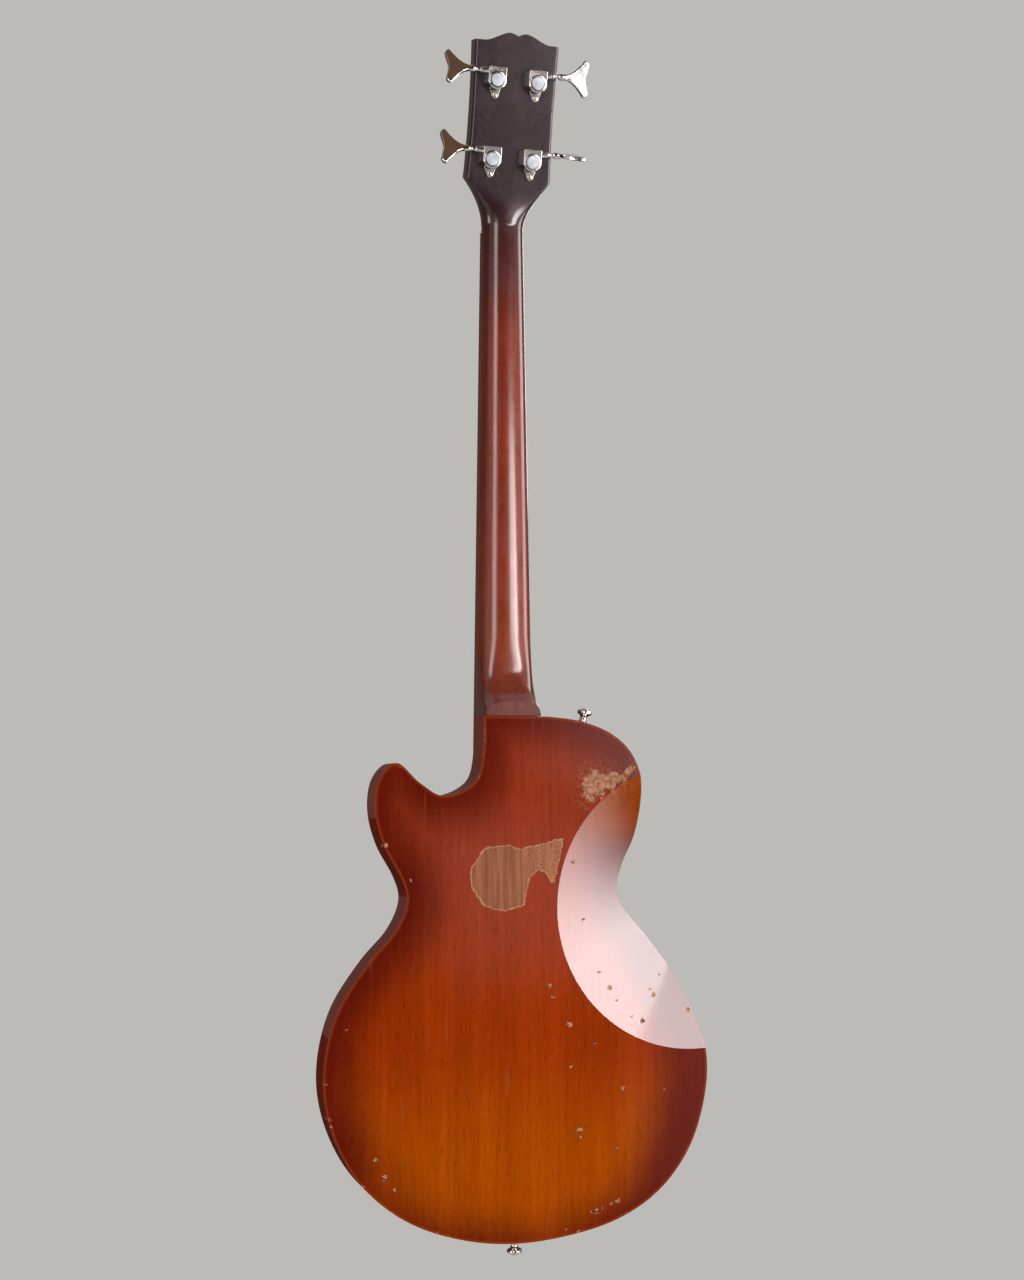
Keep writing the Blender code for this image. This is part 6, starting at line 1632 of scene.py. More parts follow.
def make_post(index, base):
    """The turned string post, below the CAD post's own worm wheel."""
    node = f"tuner_post_{index + 1}"
    seat = KEY_AXIS_HEIGHT - GEAR_WIDTH / 2
    outward = base.to_3x3() @ Vector((0, -1, 0))
    wheel = kept_end(node, f"{node}_wheel", base @ Vector((0, seat - 0.0001, 0)), outward)
    veneer = HEAD_THICKNESS + GAP + VENEER_THICKNESS
    tip = veneer + 0.019
    full, waist = POST_RADIUS, POST_WAIST
    shaft = shape(add_lathe, "post_shaft", [
        (0, -seat + 0.0002), (full, -seat + 0.0002), (full, veneer + 0.0026),
        (waist + 0.0002, veneer + 0.0031), (waist, veneer + 0.0036),
        (waist, tip - 0.0044), (waist + 0.0002, tip - 0.0038),
        (full + 0.0004, tip - 0.0032), (full + 0.0004, tip - 0.0014), (full - 0.0002, tip - 0.0003),
        (full - 0.0007, tip), (0.0016, tip), (0.0014, tip - 0.0012), (0, tip - 0.0012),
    ], 36, along("-Y"))
    slot = (-0.0013, -tip - 0.001, -0.008), (0.0013, -tip + 0.0022, 0.008)
    cut(shaft, shape(add_box, "post_slot", *slot))
    soften(shaft, 0.00015, 1, 60)
    shaft.data.transform(base)
    made = joined(f"tuner_{index + 1}_post", [wheel, shaft])
    return hand_over(shade(made, 40), "nickel", node)


def make_bushing(index):
    """The flanged bush that guides a post."""
    x, z = post_places()[index]
    face = -(GAP + VENEER_THICKNESS + GAP)
    inner = POST_RADIUS + 0.0006
    rim = BUSHING_FLANGE
    made = shape(add_lathe, f"tuner_{index + 1}_bushing", [
        (inner, face - 0.001), (inner + 0.0003, face - 0.0012), (rim - 0.0012, face - 0.0012),
        (rim - 0.0005, face - 0.0009), (rim, face - 0.0003), (rim, face), (BUSHING_RADIUS, face),
        (BUSHING_RADIUS, 0.01), (inner, 0.01),
    ], 48, along("+Y", (x, 0, z)), place=TO_HEAD)
    return hand_over(shade(made, 40), "chrome", f"tuner_bushing_{index + 1}")


class BASS_OT_tuners(Operator):
    """Makes the four tuners: housing, key, post and bushing."""

    bl_idname = "bass.tuners"
    bl_label = "Tuners"

    def execute(self, context):
        places = []
        for index, (x, _) in enumerate(post_places()):
            base = tuner_place(index)
            mirrored = x < 0
            make_housing(index, base, mirrored)
            make_key(index, base, mirrored)
            make_post(index, base)
            make_bushing(index)
            spin = Matrix.Rotation(radians(25 + 50 * index), 4, "Z")
            places.append(base @ along("+Y", (0, GAP + TAB_THICKNESS, -TAB_DISTANCE)) @ spin)
        repeated("tuner_screws", screw_head(0.0024, 0.0011), places, "nickel")
        return {"FINISHED"}


# Strings

WINDING_TURNS = 2.25
WINDING_POINTS = 40
WINDING_AIR = 0.00045
BALL_RADIUS = 0.003
BALL_LENGTH = 0.0036
BRIDGE_LIFT = 0.007
BRIDGE_HALF_WIDTH = 0.041
BRIDGE_FRONT = 0.0145
BRIDGE_BACK = 0.0255
BRIDGE_HEIGHT = 0.011
BRIDGE_PLATE = 0.0045
TROUGH_HALF = 0.0115


def string_path(index):
    """A string from its ball at the bridge, over saddle and nut, in the body's frame."""
    radius = STRING_DIAMETERS[index] / 2
    z = bridge_z()
    x = string_x(index, BRIDGE_S)
    anchor_y = FRONT - BRIDGE_LIFT - BRIDGE_HEIGHT + 0.0015
    back = z - BRIDGE_BACK
    anchor = Vector((x, anchor_y, back - BALL_RADIUS / 2))
    rear_s = BRIDGE_S - TROUGH_HALF + 0.0025
    bend = neck_to_body(string_x(index, rear_s), string_underside(rear_s) + radius, rear_s)
    slot = Vector((x, anchor_y, back + 0.006))
    nut_end = NUT_S + NUT_THICKNESS + 0.0006
    nut_in = neck_to_body(string_x(index, NUT_S), string_underside(NUT_S) + radius, NUT_S)
    nut_out = neck_to_body(string_x(index, NUT_S), string_underside(NUT_S) + radius, nut_end)
    lead_in = bend + (nut_in - bend) * 0.012
    return [anchor, slot, bend, lead_in, nut_in, nut_out], radius


def winding_points(index, start, radius):
    """The turns on the post, from the tangent point, in the headstock's frame."""
    px, pz = post_places()[index]
    centre_radius = POST_WAIST + GAP + radius
    inward = 1 if px < 0 else -1
    dx, dz = start.x - px, start.z - pz
    tangent = atan2(dz, dx) + inward * acos(centre_radius / hypot(dx, dz))
    step_y = 2 * radius + WINDING_AIR
    lowest = -(GAP + VENEER_THICKNESS) - 0.004 - radius
    turns = []
    for k in range(int(WINDING_TURNS * WINDING_POINTS) + 1):
        angle = tangent + inward * 2 * pi * k / WINDING_POINTS
        y = lowest - step_y * k / WINDING_POINTS
        turns.append(Vector((px + centre_radius * cos(angle), y, pz + centre_radius * sin(angle))))
    return turns


def make_strings():
    """Each string as one swept wire, with its ball end."""
    for index in range(STRING_COUNT):
        points, radius = string_path(index)
        points = [TO_BODY @ p for p in points]
        start = TO_HEAD.inverted() @ points[-1]
        points += [TO_HEAD @ p for p in winding_points(index, start, radius)]
        wire = swept(f"wire_{index + 1}", points, radius, 14, "string_wire")
        hand_over(wire, "string_wire", f"string_{index + 1}")
        foot = points[0] - Vector((BALL_LENGTH / 2, 0, BALL_RADIUS / 2 + GAP))
        rim, groove = BALL_RADIUS, BALL_RADIUS * 0.72
        length = BALL_LENGTH
        ball = shape(add_lathe, f"string_{index + 1}_ball", [
            (0, 0), (rim - 0.0002, 0), (rim, 0.0002), (rim, length * 0.28), (groove, length * 0.38),
            (groove, length * 0.62), (rim, length * 0.72), (rim, length - 0.0002),
            (rim - 0.0002, length), (0, length),
        ], 28, along("+X", foot))
        carried(shade(ball, 40), "brass")


class BASS_OT_strings(Operator):
    """Sweeps the four wound strings from their balls to their turns on the posts."""

    bl_idname = "bass.strings"
    bl_label = "Strings"

    def execute(self, context):
        make_strings()
        return {"FINISHED"}


# Fingerboard and nut

BOARD_SHARES = [i / 8 - 1 for i in range(17)]


def make_fingerboard():
    """The board and frets as skins, the dots as copies, and the nut."""
    rings, soft = [], 0.0006
    for s in (BOARD_END, NUT_S - GAP):
        half = neck_half_width(s)
        crest = BOARD_THICKNESS - board_sag(half)
        top = [(half * f * (1 - soft / half), -(BOARD_THICKNESS - board_sag(half * f)), s)
               for f in BOARD_SHARES]
        rings.append([(-half, -GAP, s), (-half, -crest + soft, s)] + top
                     + [(half, -crest + soft, s), (half, -GAP, s)])
    hand_over(shade(shape(add_rings, "board", rings, place=TO_NECK), 30), "rosewood", "fingerboard")

    bm = bmesh.new()
    arc = [pi * i / 8 for i in range(9)]
    for number in range(1, FRET_COUNT + 1):
        s = fret_s(number)
        half = neck_half_width(s)
        rings = []
        for share in BOARD_SHARES:
            end = abs(share) == 1
            x = share * half - (copysign(FRET_INSET, share) if end else 0.0)
            rise = FRET_HEIGHT * (0.55 if end else 1.0)
            top = BOARD_THICKNESS - board_sag(x)
            section = [(-0.5 * cos(a), rise * sin(a)) for a in arc]
            section = [(-0.2, -FRET_SEAT / 2)] + section + [(0.2, -FRET_SEAT / 2)]
            rings.append([(x, -(top + high), s + FRET_WIDTH * wide) for wide, high in section])
        add_rings(bm, rings)
    carried(shade(solid("frets", bm, TO_NECK), 40), "nickel")

    places = []
    for number in (3, 5, 7, 9, 12, 15, 17, 19):
        s = (fret_s(number) + fret_s(number - 1)) / 2
        for x in (-0.0105, 0.0105) if number == 12 else (0.0,):
            places.append(on_front(TO_NECK, (x, board_sag(x) - BOARD_THICKNESS, s)))
    profile = [(0, -0.0004), (0.0031, -0.0004), (0.0031, 0.00006), (0, 0.00008)]
    repeated("position_dots", shape(add_lathe, "dot", profile, 32), places, "marker_shell")
    dress("nut", "bone", 0.00025, 40)


class BASS_OT_fingerboard(Operator):
    """Makes the rounded fingerboard, its frets, its position dots and the nut."""

    bl_idname = "bass.fingerboard"
    bl_label = "Fingerboard"

    def execute(self, context):
        make_fingerboard()
        return {"FINISHED"}


# Headstock front

COVER_THICKNESS = 0.0015
COVER_WIDTH = 0.026
COVER_LENGTH = 0.04


def make_headstock_front():
    """The veneer and the cover as soft plates, with the rod and its nut beneath."""
    heights = [0.0004 + (HEAD_CORNER_HEIGHT - 0.0004) * i / 16 for i in range(17)]
    heights += [0.06, 0.08, 0.1, 0.12, 0.14]
    inset = 0.0001
    right = [(head_half_width(z) - inset, z) for z in heights]
    top = [(x * (1 - inset / HEAD_TOP_HALF), z - inset) for x, z in crown_points()]
    plan = right + top + [(-x, z) for x, z in reversed(right)]
    veneer = shape(add_soft_plate, "veneer", plan, -GAP, -GAP - VENEER_THICKNESS, 0.0003, 2, place=TO_HEAD)
    bm = bmesh.new()
    for x, z in post_places():
        add_plate(bm, circle(POST_HOLE, 32, (x, z)), (-0.01, 0.01))
    side = ROD_POCKET_HALF
    add_plate(bm, [(-side, 0.0085), (side, 0.0085), (side, 0.0305), (-side, 0.0305)], (-0.01, 0.01))
    cut(veneer, solid("veneer_holes", bm, TO_HEAD))
    hand_over(shade(veneer, 34), "black_lacquer", "headstock_veneer")

    half, foot = COVER_WIDTH / 2, 0.0025
    top_z = foot + COVER_LENGTH
    marks = [(half, foot + 0.006), (half * 0.72, 0.02), (half * 0.5, 0.029),
             (half * 0.34, top_z - 0.004), (half * 0.16, top_z)]
    sides = [(half, foot)] + [tuple(p) for p in smooth_curve(marks, 6)]
    plan = sides + [(-x, z) for x, z in reversed(sides)]
    near = -GAP - VENEER_THICKNESS - GAP
    cover = shape(add_soft_plate, "rod_cover", plan, near, near - COVER_THICKNESS, 0.0004, 3, place=TO_HEAD)
    hand_over(shade(cover, 34), "black_lacquer", "truss_rod_cover")
    offset = COVER_WIDTH / 2 - 0.004
    places = [
        on_front(TO_HEAD, (x, near - COVER_THICKNESS, z), turn)
        for x, z, turn in ((-offset, 0.006, 0.4), (offset, 0.006, 1.1), (0.0, 0.039, 0.8))
    ]
    repeated("cover_screws", screw_head(0.0019, 0.0008), places, "nickel")
    dress("truss_rod", "steel")
    dress("truss_rod_nut", "brass", 0.0002)


class BASS_OT_headstock_front(Operator):
    """Makes the black veneer and the bell-shaped cover over the truss rod's pocket."""

    bl_idname = "bass.headstock_front"
    bl_label = "Headstock front"

    def execute(self, context):
        make_headstock_front()
        return {"FINISHED"}


# Bridge

def capsule(first, second, radius):
    """A plan with two round ends."""
    a, b = Vector(first), Vector(second)
    ahead = atan2(a.y - b.y, a.x - b.x)
    plan = []
    for centre, middle in ((a, ahead), (b, ahead + pi)):
        for i in range(17):
            angle = middle - pi / 2 + pi * i / 16
            plan.append((centre.x + radius * cos(angle), centre.y + radius * sin(angle)))
    return plan


def make_bridge():
    """The casting, its studs, and the saddles with their screws."""
    z = bridge_z()
    under = FRONT - BRIDGE_LIFT
    floor, top = under - 0.0032, under - BRIDGE_HEIGHT
    middle = (0.0, z + (BRIDGE_FRONT - BRIDGE_BACK) / 2)
    plan = rounded_box(BRIDGE_HALF_WIDTH, (BRIDGE_FRONT + BRIDGE_BACK) / 2, 0.004, 8, middle)
    bridge = shape(add_soft_plate, "bridge_casting", plan, under, top, 0.0012, 4)
    ears = []
    for x, ear_z in stud_places():
        inner_z = z - BRIDGE_BACK + 0.004 if x == 0 else ear_z
        plan = capsule((x, ear_z), (x * 0.78, inner_z), 0.0075)
        ears.append(shape(add_soft_plate, "ear", plan, under - 0.0002, under - BRIDGE_PLATE, 0.0008))
    combine(bridge, ears, "UNION")
    side = 1.5 * STRING_SPACING_BRIDGE + 0.007 + GAP + 0.0005
    holes, slots = bmesh.new(), bmesh.new()
    trough = (-side, top - 0.01, z - TROUGH_HALF), (side, floor, z + TROUGH_HALF)
    for index in range(STRING_COUNT):
        x = string_x(index, BRIDGE_S)
        place = along("+Z", (x, floor - 0.0036, z - TROUGH_HALF - 0.0033))
        add_rod(holes, 0.0018, 0.05, 20, place)
        foot = top + 0.0015 + STRING_DIAMETERS[0] / 2 + GAP
        add_box(slots, (x - 0.0018, top - 0.01, z - BRIDGE_BACK - 0.01),
                (x + 0.0018, foot, z - TROUGH_HALF + 0.001))
    for x, ear_z in stud_places():
        add_plate(holes, circle(0.003, 28, (x, ear_z)), (under - 0.02, under + 0.01))
    cut(bridge, shape(add_box, "trough", *trough), solid("holes", holes), solid("slots", slots))
    soften(bridge, 0.0003, 2, 60)
    bridge.data.transform(TO_BODY)
    hand_over(shade(bridge, 34), "cast_metal", "bridge_base")

    lift, plate = BRIDGE_LIFT, BRIDGE_LIFT + BRIDGE_PLATE
    stud = shape(add_lathe, "stud", [
        (0, -0.018), (0.0031, -0.018), (0.0035, -0.017), (0.0035, lift - 0.0022), (0.0067, lift - 0.0022),
        (0.007, lift - 0.0019), (0.007, lift - 0.0001), (0.0035, lift - 0.0001), (0.0028, lift + 0.0004),
        (0.0028, plate - 0.0002), (0.0054, plate - 0.0002), (0.0056, plate + 0.0002),
        (0.0055, plate + 0.0014), (0.0048, plate + 0.0022), (0, plate + 0.0022),
    ], 40)
    slot = (-0.008, -0.0007, plate + 0.0008), (0.008, 0.0007, plate + 0.004)
    cut(stud, shape(add_box, "stud_slot", *slot))
    places = [
        on_front(TO_BODY, (x, FRONT, ear_z), turn)
        for (x, ear_z), turn in zip(stud_places(), (0.5, 1.3, 0.2))
    ]
    repeated("bridge_studs", stud, places, "chrome")
    for index in range(STRING_COUNT):
        dress(f"saddle_{index + 1}", "nickel", 0.0003, 34)
        length = BRIDGE_FRONT + GAP + TROUGH_HALF + 0.003
        thread = []
        pitch, height = 0.0008, -length
        while height < -0.0008:
            thread += [(0.00135, height), (0.0015, height + pitch / 2)]
            height += pitch
        screw = shape(add_lathe, f"saddle_screw_{index + 1}", [(0, -length)] + thread + [
            (0.0015, 0), (0.0021, 0), (0.0024, 0.0003), (0.0023, 0.0014), (0.002, 0.0018), (0, 0.0018),
        ], 24)
        cut(screw, *crossed(0.0014, 0.0003, 0.0008, 0.003))
        x = string_x(index, BRIDGE_S)
        screw.data.transform(TO_BODY @ moved_to((x, floor - 0.0036, z + BRIDGE_FRONT + GAP)))
        hand_over(shade(screw, 40), "nickel", f"intonation_screw_{index + 1}")


class BASS_OT_bridge(Operator):
    """Makes the cast bridge on its three studs, its saddles and their screws."""

    bl_idname = "bass.bridge"
    bl_label = "Bridge"

    def execute(self, context):
        make_bridge()
        return {"FINISHED"}


# Pickups

PICKUP_HALF_LENGTH = 0.039
PICKUP_HALF_WIDTH = 0.019
PICKUP_CORNER = 0.005
PICKUP_HEIGHT = 0.016
PICKUP_WALL = 0.0009
RING_HALF_LENGTH = 0.053
RING_HALF_WIDTH = 0.026
RING_RISES = (0.0048, 0.0072)
POLE_RADIUS = 0.0023


def make_pickups():
    """Ring, cover and coil of each pickup, and the screws of both."""
    heads, poles = [], []
    for number, name in enumerate(("neck", "bridge")):
        z = PICKUP_PLACES[number]
        top = neck_to_body(0.0, string_underside(z), z).y + 0.0036
        rise = FRONT - RING_RISES[number]
        outer = rounded_box(RING_HALF_LENGTH, RING_HALF_WIDTH, 0.005, 8, (0.0, z))
        inner = rounded_box(PICKUP_HALF_LENGTH + 0.0006, PICKUP_HALF_WIDTH + 0.0006, PICKUP_CORNER,
                            8, (0.0, z))
        foot, soft = FRONT - GAP, 0.0007
        rings = [level(outer, foot)]
        rings += [level(outer, rise + soft * (1 - sin(t)), 0.0006 + soft * (1 - cos(t)))
                  for t in quarter(4)]
        rings += [level(inner, rise, -0.0003), level(inner, rise + 0.0003), level(inner, foot)]
        ring = shade(shape(add_rings, f"{name}_ring", rings, wrap=True, place=TO_BODY), 34)
        hand_over(ring, "black_lacquer", f"pickup_ring_{name}")

        outer = rounded_box(PICKUP_HALF_LENGTH, PICKUP_HALF_WIDTH, PICKUP_CORNER, 8, (0.0, z))
        inner = drawn_in(outer, PICKUP_WALL)
        soft, end = 0.0014, top + PICKUP_HEIGHT
        rings = [level(outer, end)]
        for t in quarter(5):
            y, inset = top + soft * (1 - sin(t)), soft * (1 - cos(t))
            rings.append([(x, y, zz) for x, zz in drawn_in(outer, inset)])
        cover = shape(add_cup, f"{name}_cover", rings,
                      [level(inner, end), level(inner, top + PICKUP_WALL)])
        bm = bmesh.new()
        for index in range(STRING_COUNT):
            place = (string_x(index, z), z)
            add_plate(bm, circle(POLE_RADIUS + 0.0003, 28, place), (top - 0.005, top + 0.004))
            poles.append(on_front(TO_BODY, (place[0], top, z), 0.35 + 0.8 * index + number))
        cut(cover, solid("pole_holes", bm))
        cover.data.transform(TO_BODY)
        hand_over(shade(cover, 34), "chrome", f"pickup_cover_{name}")
        for x in (-1, 1):
            for side in (-1, 1):
                place = (x * (RING_HALF_LENGTH - 0.0034), rise, z + side * (RING_HALF_WIDTH - 0.0034))
                heads.append(on_front(TO_BODY, place, 0.9 * x + 0.4 * side))
            heads.append(on_front(TO_BODY, (x * (PICKUP_HALF_LENGTH + 0.0044), rise, z)))
        hand_over(shade(kept_coil(name), 34), "coil_tape", f"pickup_coil_{name}")
        dress(f"pickup_lead_{name}", "lead_braid", 0.0, 60)
    repeated("ring_screws", screw_head(0.0022, 0.001), heads, "nickel")
    pole = shape(add_lathe, "pole", [
        (0, -0.0085), (POLE_RADIUS, -0.0085), (POLE_RADIUS, 0.0003),
        (POLE_RADIUS - 0.0002, 0.0005), (0, 0.0005),
    ], 32)
    cut(pole, shape(add_box, "pole_slot", (-0.004, -0.0004, 0.0), (0.004, 0.0004, 0.003)))
    repeated("pole_screws", pole, poles, "nickel")


class BASS_OT_pickups(Operator):
    """Makes both pickups: frame, pressed cover, poles, coil, screws and lead."""

    bl_idname = "bass.pickups"
    bl_label = "Pickups"

    def execute(self, context):
        make_pickups()
        return {"FINISHED"}


def kept_coil(name):
    """The coil block and its baseplate without the poles, which are their own piece."""
    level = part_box(f"pickup_cover_{name}")[0].y + PICKUP_WALL + GAP + 0.0001
    return kept_end(f"pickup_coil_{name}", f"{name}_coil", (0, level, 0), (0, -1, 0))


# Controls

CONTROL_PLATE_GAUGE = 0.002
CONTROL_OUTLINE = (
    (0.06, -0.266), (0.13, -0.261), (0.151, -0.318),
    (0.145, -0.368), (0.12, -0.404), (0.082, -0.411), (0.056, -0.374),
)
KNOBS = (
    ("volume_knob_neck", 0.084, -0.318), ("tone_knob_neck", 0.124, -0.318),
    ("volume_knob_bridge", 0.084, -0.358), ("tone_knob_bridge", 0.124, -0.358),
)
KNOB_RADIUS = 0.0125
KNOB_TOP_RADIUS = 0.0105
KNOB_HEIGHT = 0.0145
KNOB_FLUTES = 24
SWITCH_PLACE = (0.098, -0.286)
JACK_PLACE = (0.102, -0.39)
PLATE_FAR = FRONT - GAP - CONTROL_PLATE_GAUGE
KNOB_FOOT = PLATE_FAR - 0.0022 - 3 * GAP - 0.0004


def make_knob(node, x, z):
    """A fluted knob with a soft crown, a pointer groove and the shaft pressed in it."""
    sides = KNOB_FLUTES * 6
    profile = [
        (KNOB_RADIUS - 0.0004, 0.0, 0), (KNOB_RADIUS, 0.0004, 0), (KNOB_RADIUS, 0.0024, 0),
        (KNOB_RADIUS - 0.0006, 0.0031, 0), (KNOB_RADIUS - 0.0009, 0.0034, 1),
        (KNOB_TOP_RADIUS, KNOB_HEIGHT - 0.0018, 1), (KNOB_TOP_RADIUS - 0.0003, KNOB_HEIGHT - 0.0008, 0.5),
        (KNOB_TOP_RADIUS - 0.001, KNOB_HEIGHT - 0.0002, 0), (KNOB_TOP_RADIUS - 0.0018, KNOB_HEIGHT, 0),
        (KNOB_TOP_RADIUS * 0.4, KNOB_HEIGHT - 0.0003, 0),
    ]
    rings = []
    for radius, height, fluted in profile:
        ring = []
        for i in range(sides):
            angle = 2 * pi * i / sides
            depth = 0.00045 * fluted * (0.5 - 0.5 * cos(angle * KNOB_FLUTES))
            ring.append(((radius - depth) * cos(angle), (radius - depth) * sin(angle), height))
        rings.append(ring)
    knob = shape(add_rings, f"{node}_cap", rings)
    cut(knob, shape(add_box, "pointer", (-0.0004, KNOB_TOP_RADIUS * 0.35, KNOB_HEIGHT - 0.0006),
                    (0.0004, KNOB_TOP_RADIUS * 1.2, KNOB_HEIGHT + 0.002)))
    sink = KNOB_FOOT - FRONT - 0.007 + GAP
    stem = shape(add_lathe, "stem", [
        (0, sink), (0.0028, sink), (0.003, sink + 0.0003), (0.003, 0.0001), (0, 0.0001),
    ], 28)
    made = joined(f"{node}_dressed", [knob, stem])
    turn = Matrix.Rotation(pi / 2, 4, "X")
    made.data.transform(TO_BODY @ moved_to((x, KNOB_FOOT, z)) @ turn)
    return hand_over(shade(made, 40), "knob_plastic", node)


def make_controls():
    """The plate with its holes and screws, and all that stands in it."""
    plan = rounded(CONTROL_OUTLINE, CONTROL_CORNER, 10)
    plate = shape(add_soft_plate, "controls_plate", plan, FRONT - GAP, PLATE_FAR, 0.0006, 3)
    bm = bmesh.new()
    holes = [(0.0052, (x, z)) for _, x, z in KNOBS]
    for radius, place in holes + [(0.0052, JACK_PLACE), (0.0062, SWITCH_PLACE)]:
        add_plate(bm, circle(radius, 28, place), (PLATE_FAR - 0.01, FRONT + 0.01))
    cut(plate, solid("plate_holes", bm))
    plate.data.transform(TO_BODY)
    hand_over(shade(plate, 34), "black_lacquer", "control_plate")
    corners = shrunk(CONTROL_OUTLINE, CONTROL_RIM * 0.62)
    places = []
    for number in (0, 1, 3, 5, 6):
        x, z = corners[number]
        places.append(on_front(TO_BODY, (x, PLATE_FAR, z), 0.7 * number))
    repeated("plate_screws", screw_head(0.0024, 0.001), places, "nickel")
    for node, x, z in KNOBS:
        make_knob(node, x, z)
    for number in range(4):
        dress(f"potentiometer_{number + 1}", "nickel", 0.0003, 34)
    dress("selector_switch", "nickel", 0.0003, 34)
    dress("jack_socket", "nickel", 0.0002, 34)
    lever = shape(add_lathe, "selector_lever", [
        (0, -0.007), (0.0012, -0.0066), (0.0012, -0.0034), (0.003, -0.002), (0.0036, 0.0),
        (0.003, 0.002), (0.0014, 0.0034), (0.0015, 0.0125), (0.0022, 0.0134), (0.0028, 0.015),
        (0.0033, 0.0172), (0.0034, 0.019), (0.0031, 0.0207), (0.0024, 0.0218), (0.0013, 0.0224), (0, 0.0225),
    ], 36, along("-Y"))
    lever.data.transform(TO_BODY @ moved_to((SWITCH_PLACE[0], FRONT - 0.001, SWITCH_PLACE[1])))
    hand_over(shade(lever, 40), "cream_plastic", "switch_lever")


class BASS_OT_controls(Operator):
    """Makes the control plate, the four knobs, the selector and the output jack."""

    bl_idname = "bass.controls"
    bl_label = "Controls"

    def execute(self, context):
        make_controls()
        return {"FINISHED"}


# Strap buttons

def make_strap_buttons(scene):
    """Both buttons with the heads of their screws."""
    rim, stem, height = 0.0066, 0.003, 0.012
    segments = scene.bass_sizes.round_segments
    for node, (place, turn) in zip(("strap_button_upper", "strap_button_lower"), strap_places()):
        button = shape(add_lathe, f"{node}_turned", [
            (0, -0.022), (0.0016, -0.02), (0.002, 0.0), (0.0061, 0.0), (0.0064, 0.0003), (0.0062, 0.0008),
            (0.0052, 0.0016), (stem + 0.0008, 0.0027), (stem + 0.0001, 0.0042), (stem, 0.0058),
            (stem + 0.0012, height - 0.0044), (rim - 0.0006, height - 0.0036), (rim, height - 0.0028),
            (rim, height - 0.0014), (rim - 0.0003, height - 0.0005), (rim - 0.001, height),
            (0.0042, height), (0.004, height + 0.0003), (0.0036, height + 0.001),
            (0.0024, height + 0.0016), (0, height + 0.0017),
        ], segments)
        for slot in crossed(0.0021, 0.0005, height + 0.0006, height + 0.004):
            cut(button, slot)
        button.data.transform(TO_BODY @ moved_to(place) @ turn)
        hand_over(shade(button, 40), "chrome", node)


class BASS_OT_strap_buttons(Operator):
    """Turns the two strap buttons."""

    bl_idname = "bass.strap_buttons"
    bl_label = "Strap buttons"

    def execute(self, context):
        make_strap_buttons(context.scene)
        return {"FINISHED"}


# Studio

FLOOR_HEIGHT = -1.45


def emitter(name, colour, strength, fades=()):
    """A glowing card's material. A fade is an axis, where the glow is nil and where it is full."""
    material = bpy.data.materials.new(name)
    recipe = blank(material)
    parts = dict(zip("XYZ", recipe.split(recipe.add("ShaderNodeTexCoord", out="Object"))))
    for axis, nil, full in fades:
        strength = recipe.step(parts[axis], nil, full) * strength
    glow = recipe.add("ShaderNodeEmission", {"Color": colour, "Strength": strength})
    recipe.node("ShaderNodeOutputMaterial", {"Surface": glow})
    return material


def upright(start, end, low, high):
    """The corners of an upright card over a line on the floor."""
    return [(*start, low), (*end, low), (*end, high), (*start, high)]


def card(name, corners, material):
    """A flat card that only reflections see."""
    mesh = bpy.data.meshes.new(name)
    mesh.from_pydata(corners, [], [tuple(range(len(corners)))])
    mesh.materials.append(material)
    made = in_scene(name, mesh)
    for rays in ("camera", "diffuse", "shadow", "transmission", "volume_scatter"):
        setattr(made, f"visible_{rays}", False)


def panel(name, place, target, width, height, power, tint=(1.0, 1.0, 1.0)):
    """A soft rectangular lamp that faces a target and isn't seen in reflections."""
    lamp = bpy.data.lights.new(name, "AREA")
    lamp.shape = "RECTANGLE"
    lamp.size = width
    lamp.size_y = height
    lamp.energy = power
    lamp.color = tint
    made = in_scene(name, lamp)
    made.location = place
    made.rotation_euler = (Vector(target) - Vector(place)).to_track_quat("-Z", "Y").to_euler()
    made.visible_camera = False
    made.visible_glossy = False


def set_camera():
    """Puts the camera where the picture was taken from."""
    turn, rise, roll = CAMERA_TURN, CAMERA_RISE, CAMERA_ROLL
    outward = Vector((sin(turn), cos(turn), 0.0))
    level_right = Vector((-cos(turn), sin(turn), 0.0))
    ahead = -outward * cos(rise) + Vector((0, 0, 1)) * sin(rise)
    level_up = level_right.cross(ahead)
    right = level_right * cos(roll) - level_up * sin(roll)
    up = level_right * sin(roll) + level_up * cos(roll)
    lens = bpy.data.cameras.new("camera")
    lens.sensor_fit = "VERTICAL"
    lens.sensor_height = SENSOR_HEIGHT
    lens.lens = SENSOR_HEIGHT * FOCAL_PIXELS / IMAGE_HEIGHT
    camera = in_scene("camera", lens)
    axes = Matrix((right, up, -ahead)).transposed().to_4x4()
    camera.matrix_world = moved_to(BASE + CAMERA_FROM_BASE) @ axes
    bpy.context.scene.camera = camera


def make_floor(backdrop):
    """A pale round floor that fades out into the background."""
    material, recipe, where, surface = start_look("floor")
    x, y, _ = recipe.split(where)
    flat = recipe.add("ShaderNodeCombineXYZ", {"X": x, "Y": y})
    away = recipe.add("ShaderNodeVectorMath", {0: flat}, "Value", operation="LENGTH")
    tint = recipe.mix(recipe.noise(where, 40.0, 3.0) * 0.12, backdrop, (0.9, 0.9, 0.9, 1.0))
    recipe.feed(surface, Base_Color=tint, Roughness=0.9, Alpha=recipe.step(away, 1.9, 0.7))
    bm = bmesh.new()
    bm.faces.new([bm.verts.new((x, y, FLOOR_HEIGHT)) for x, y in circle(2.0, 96)])
    floor = as_object("floor", bm)
    floor.data.materials.append(material)


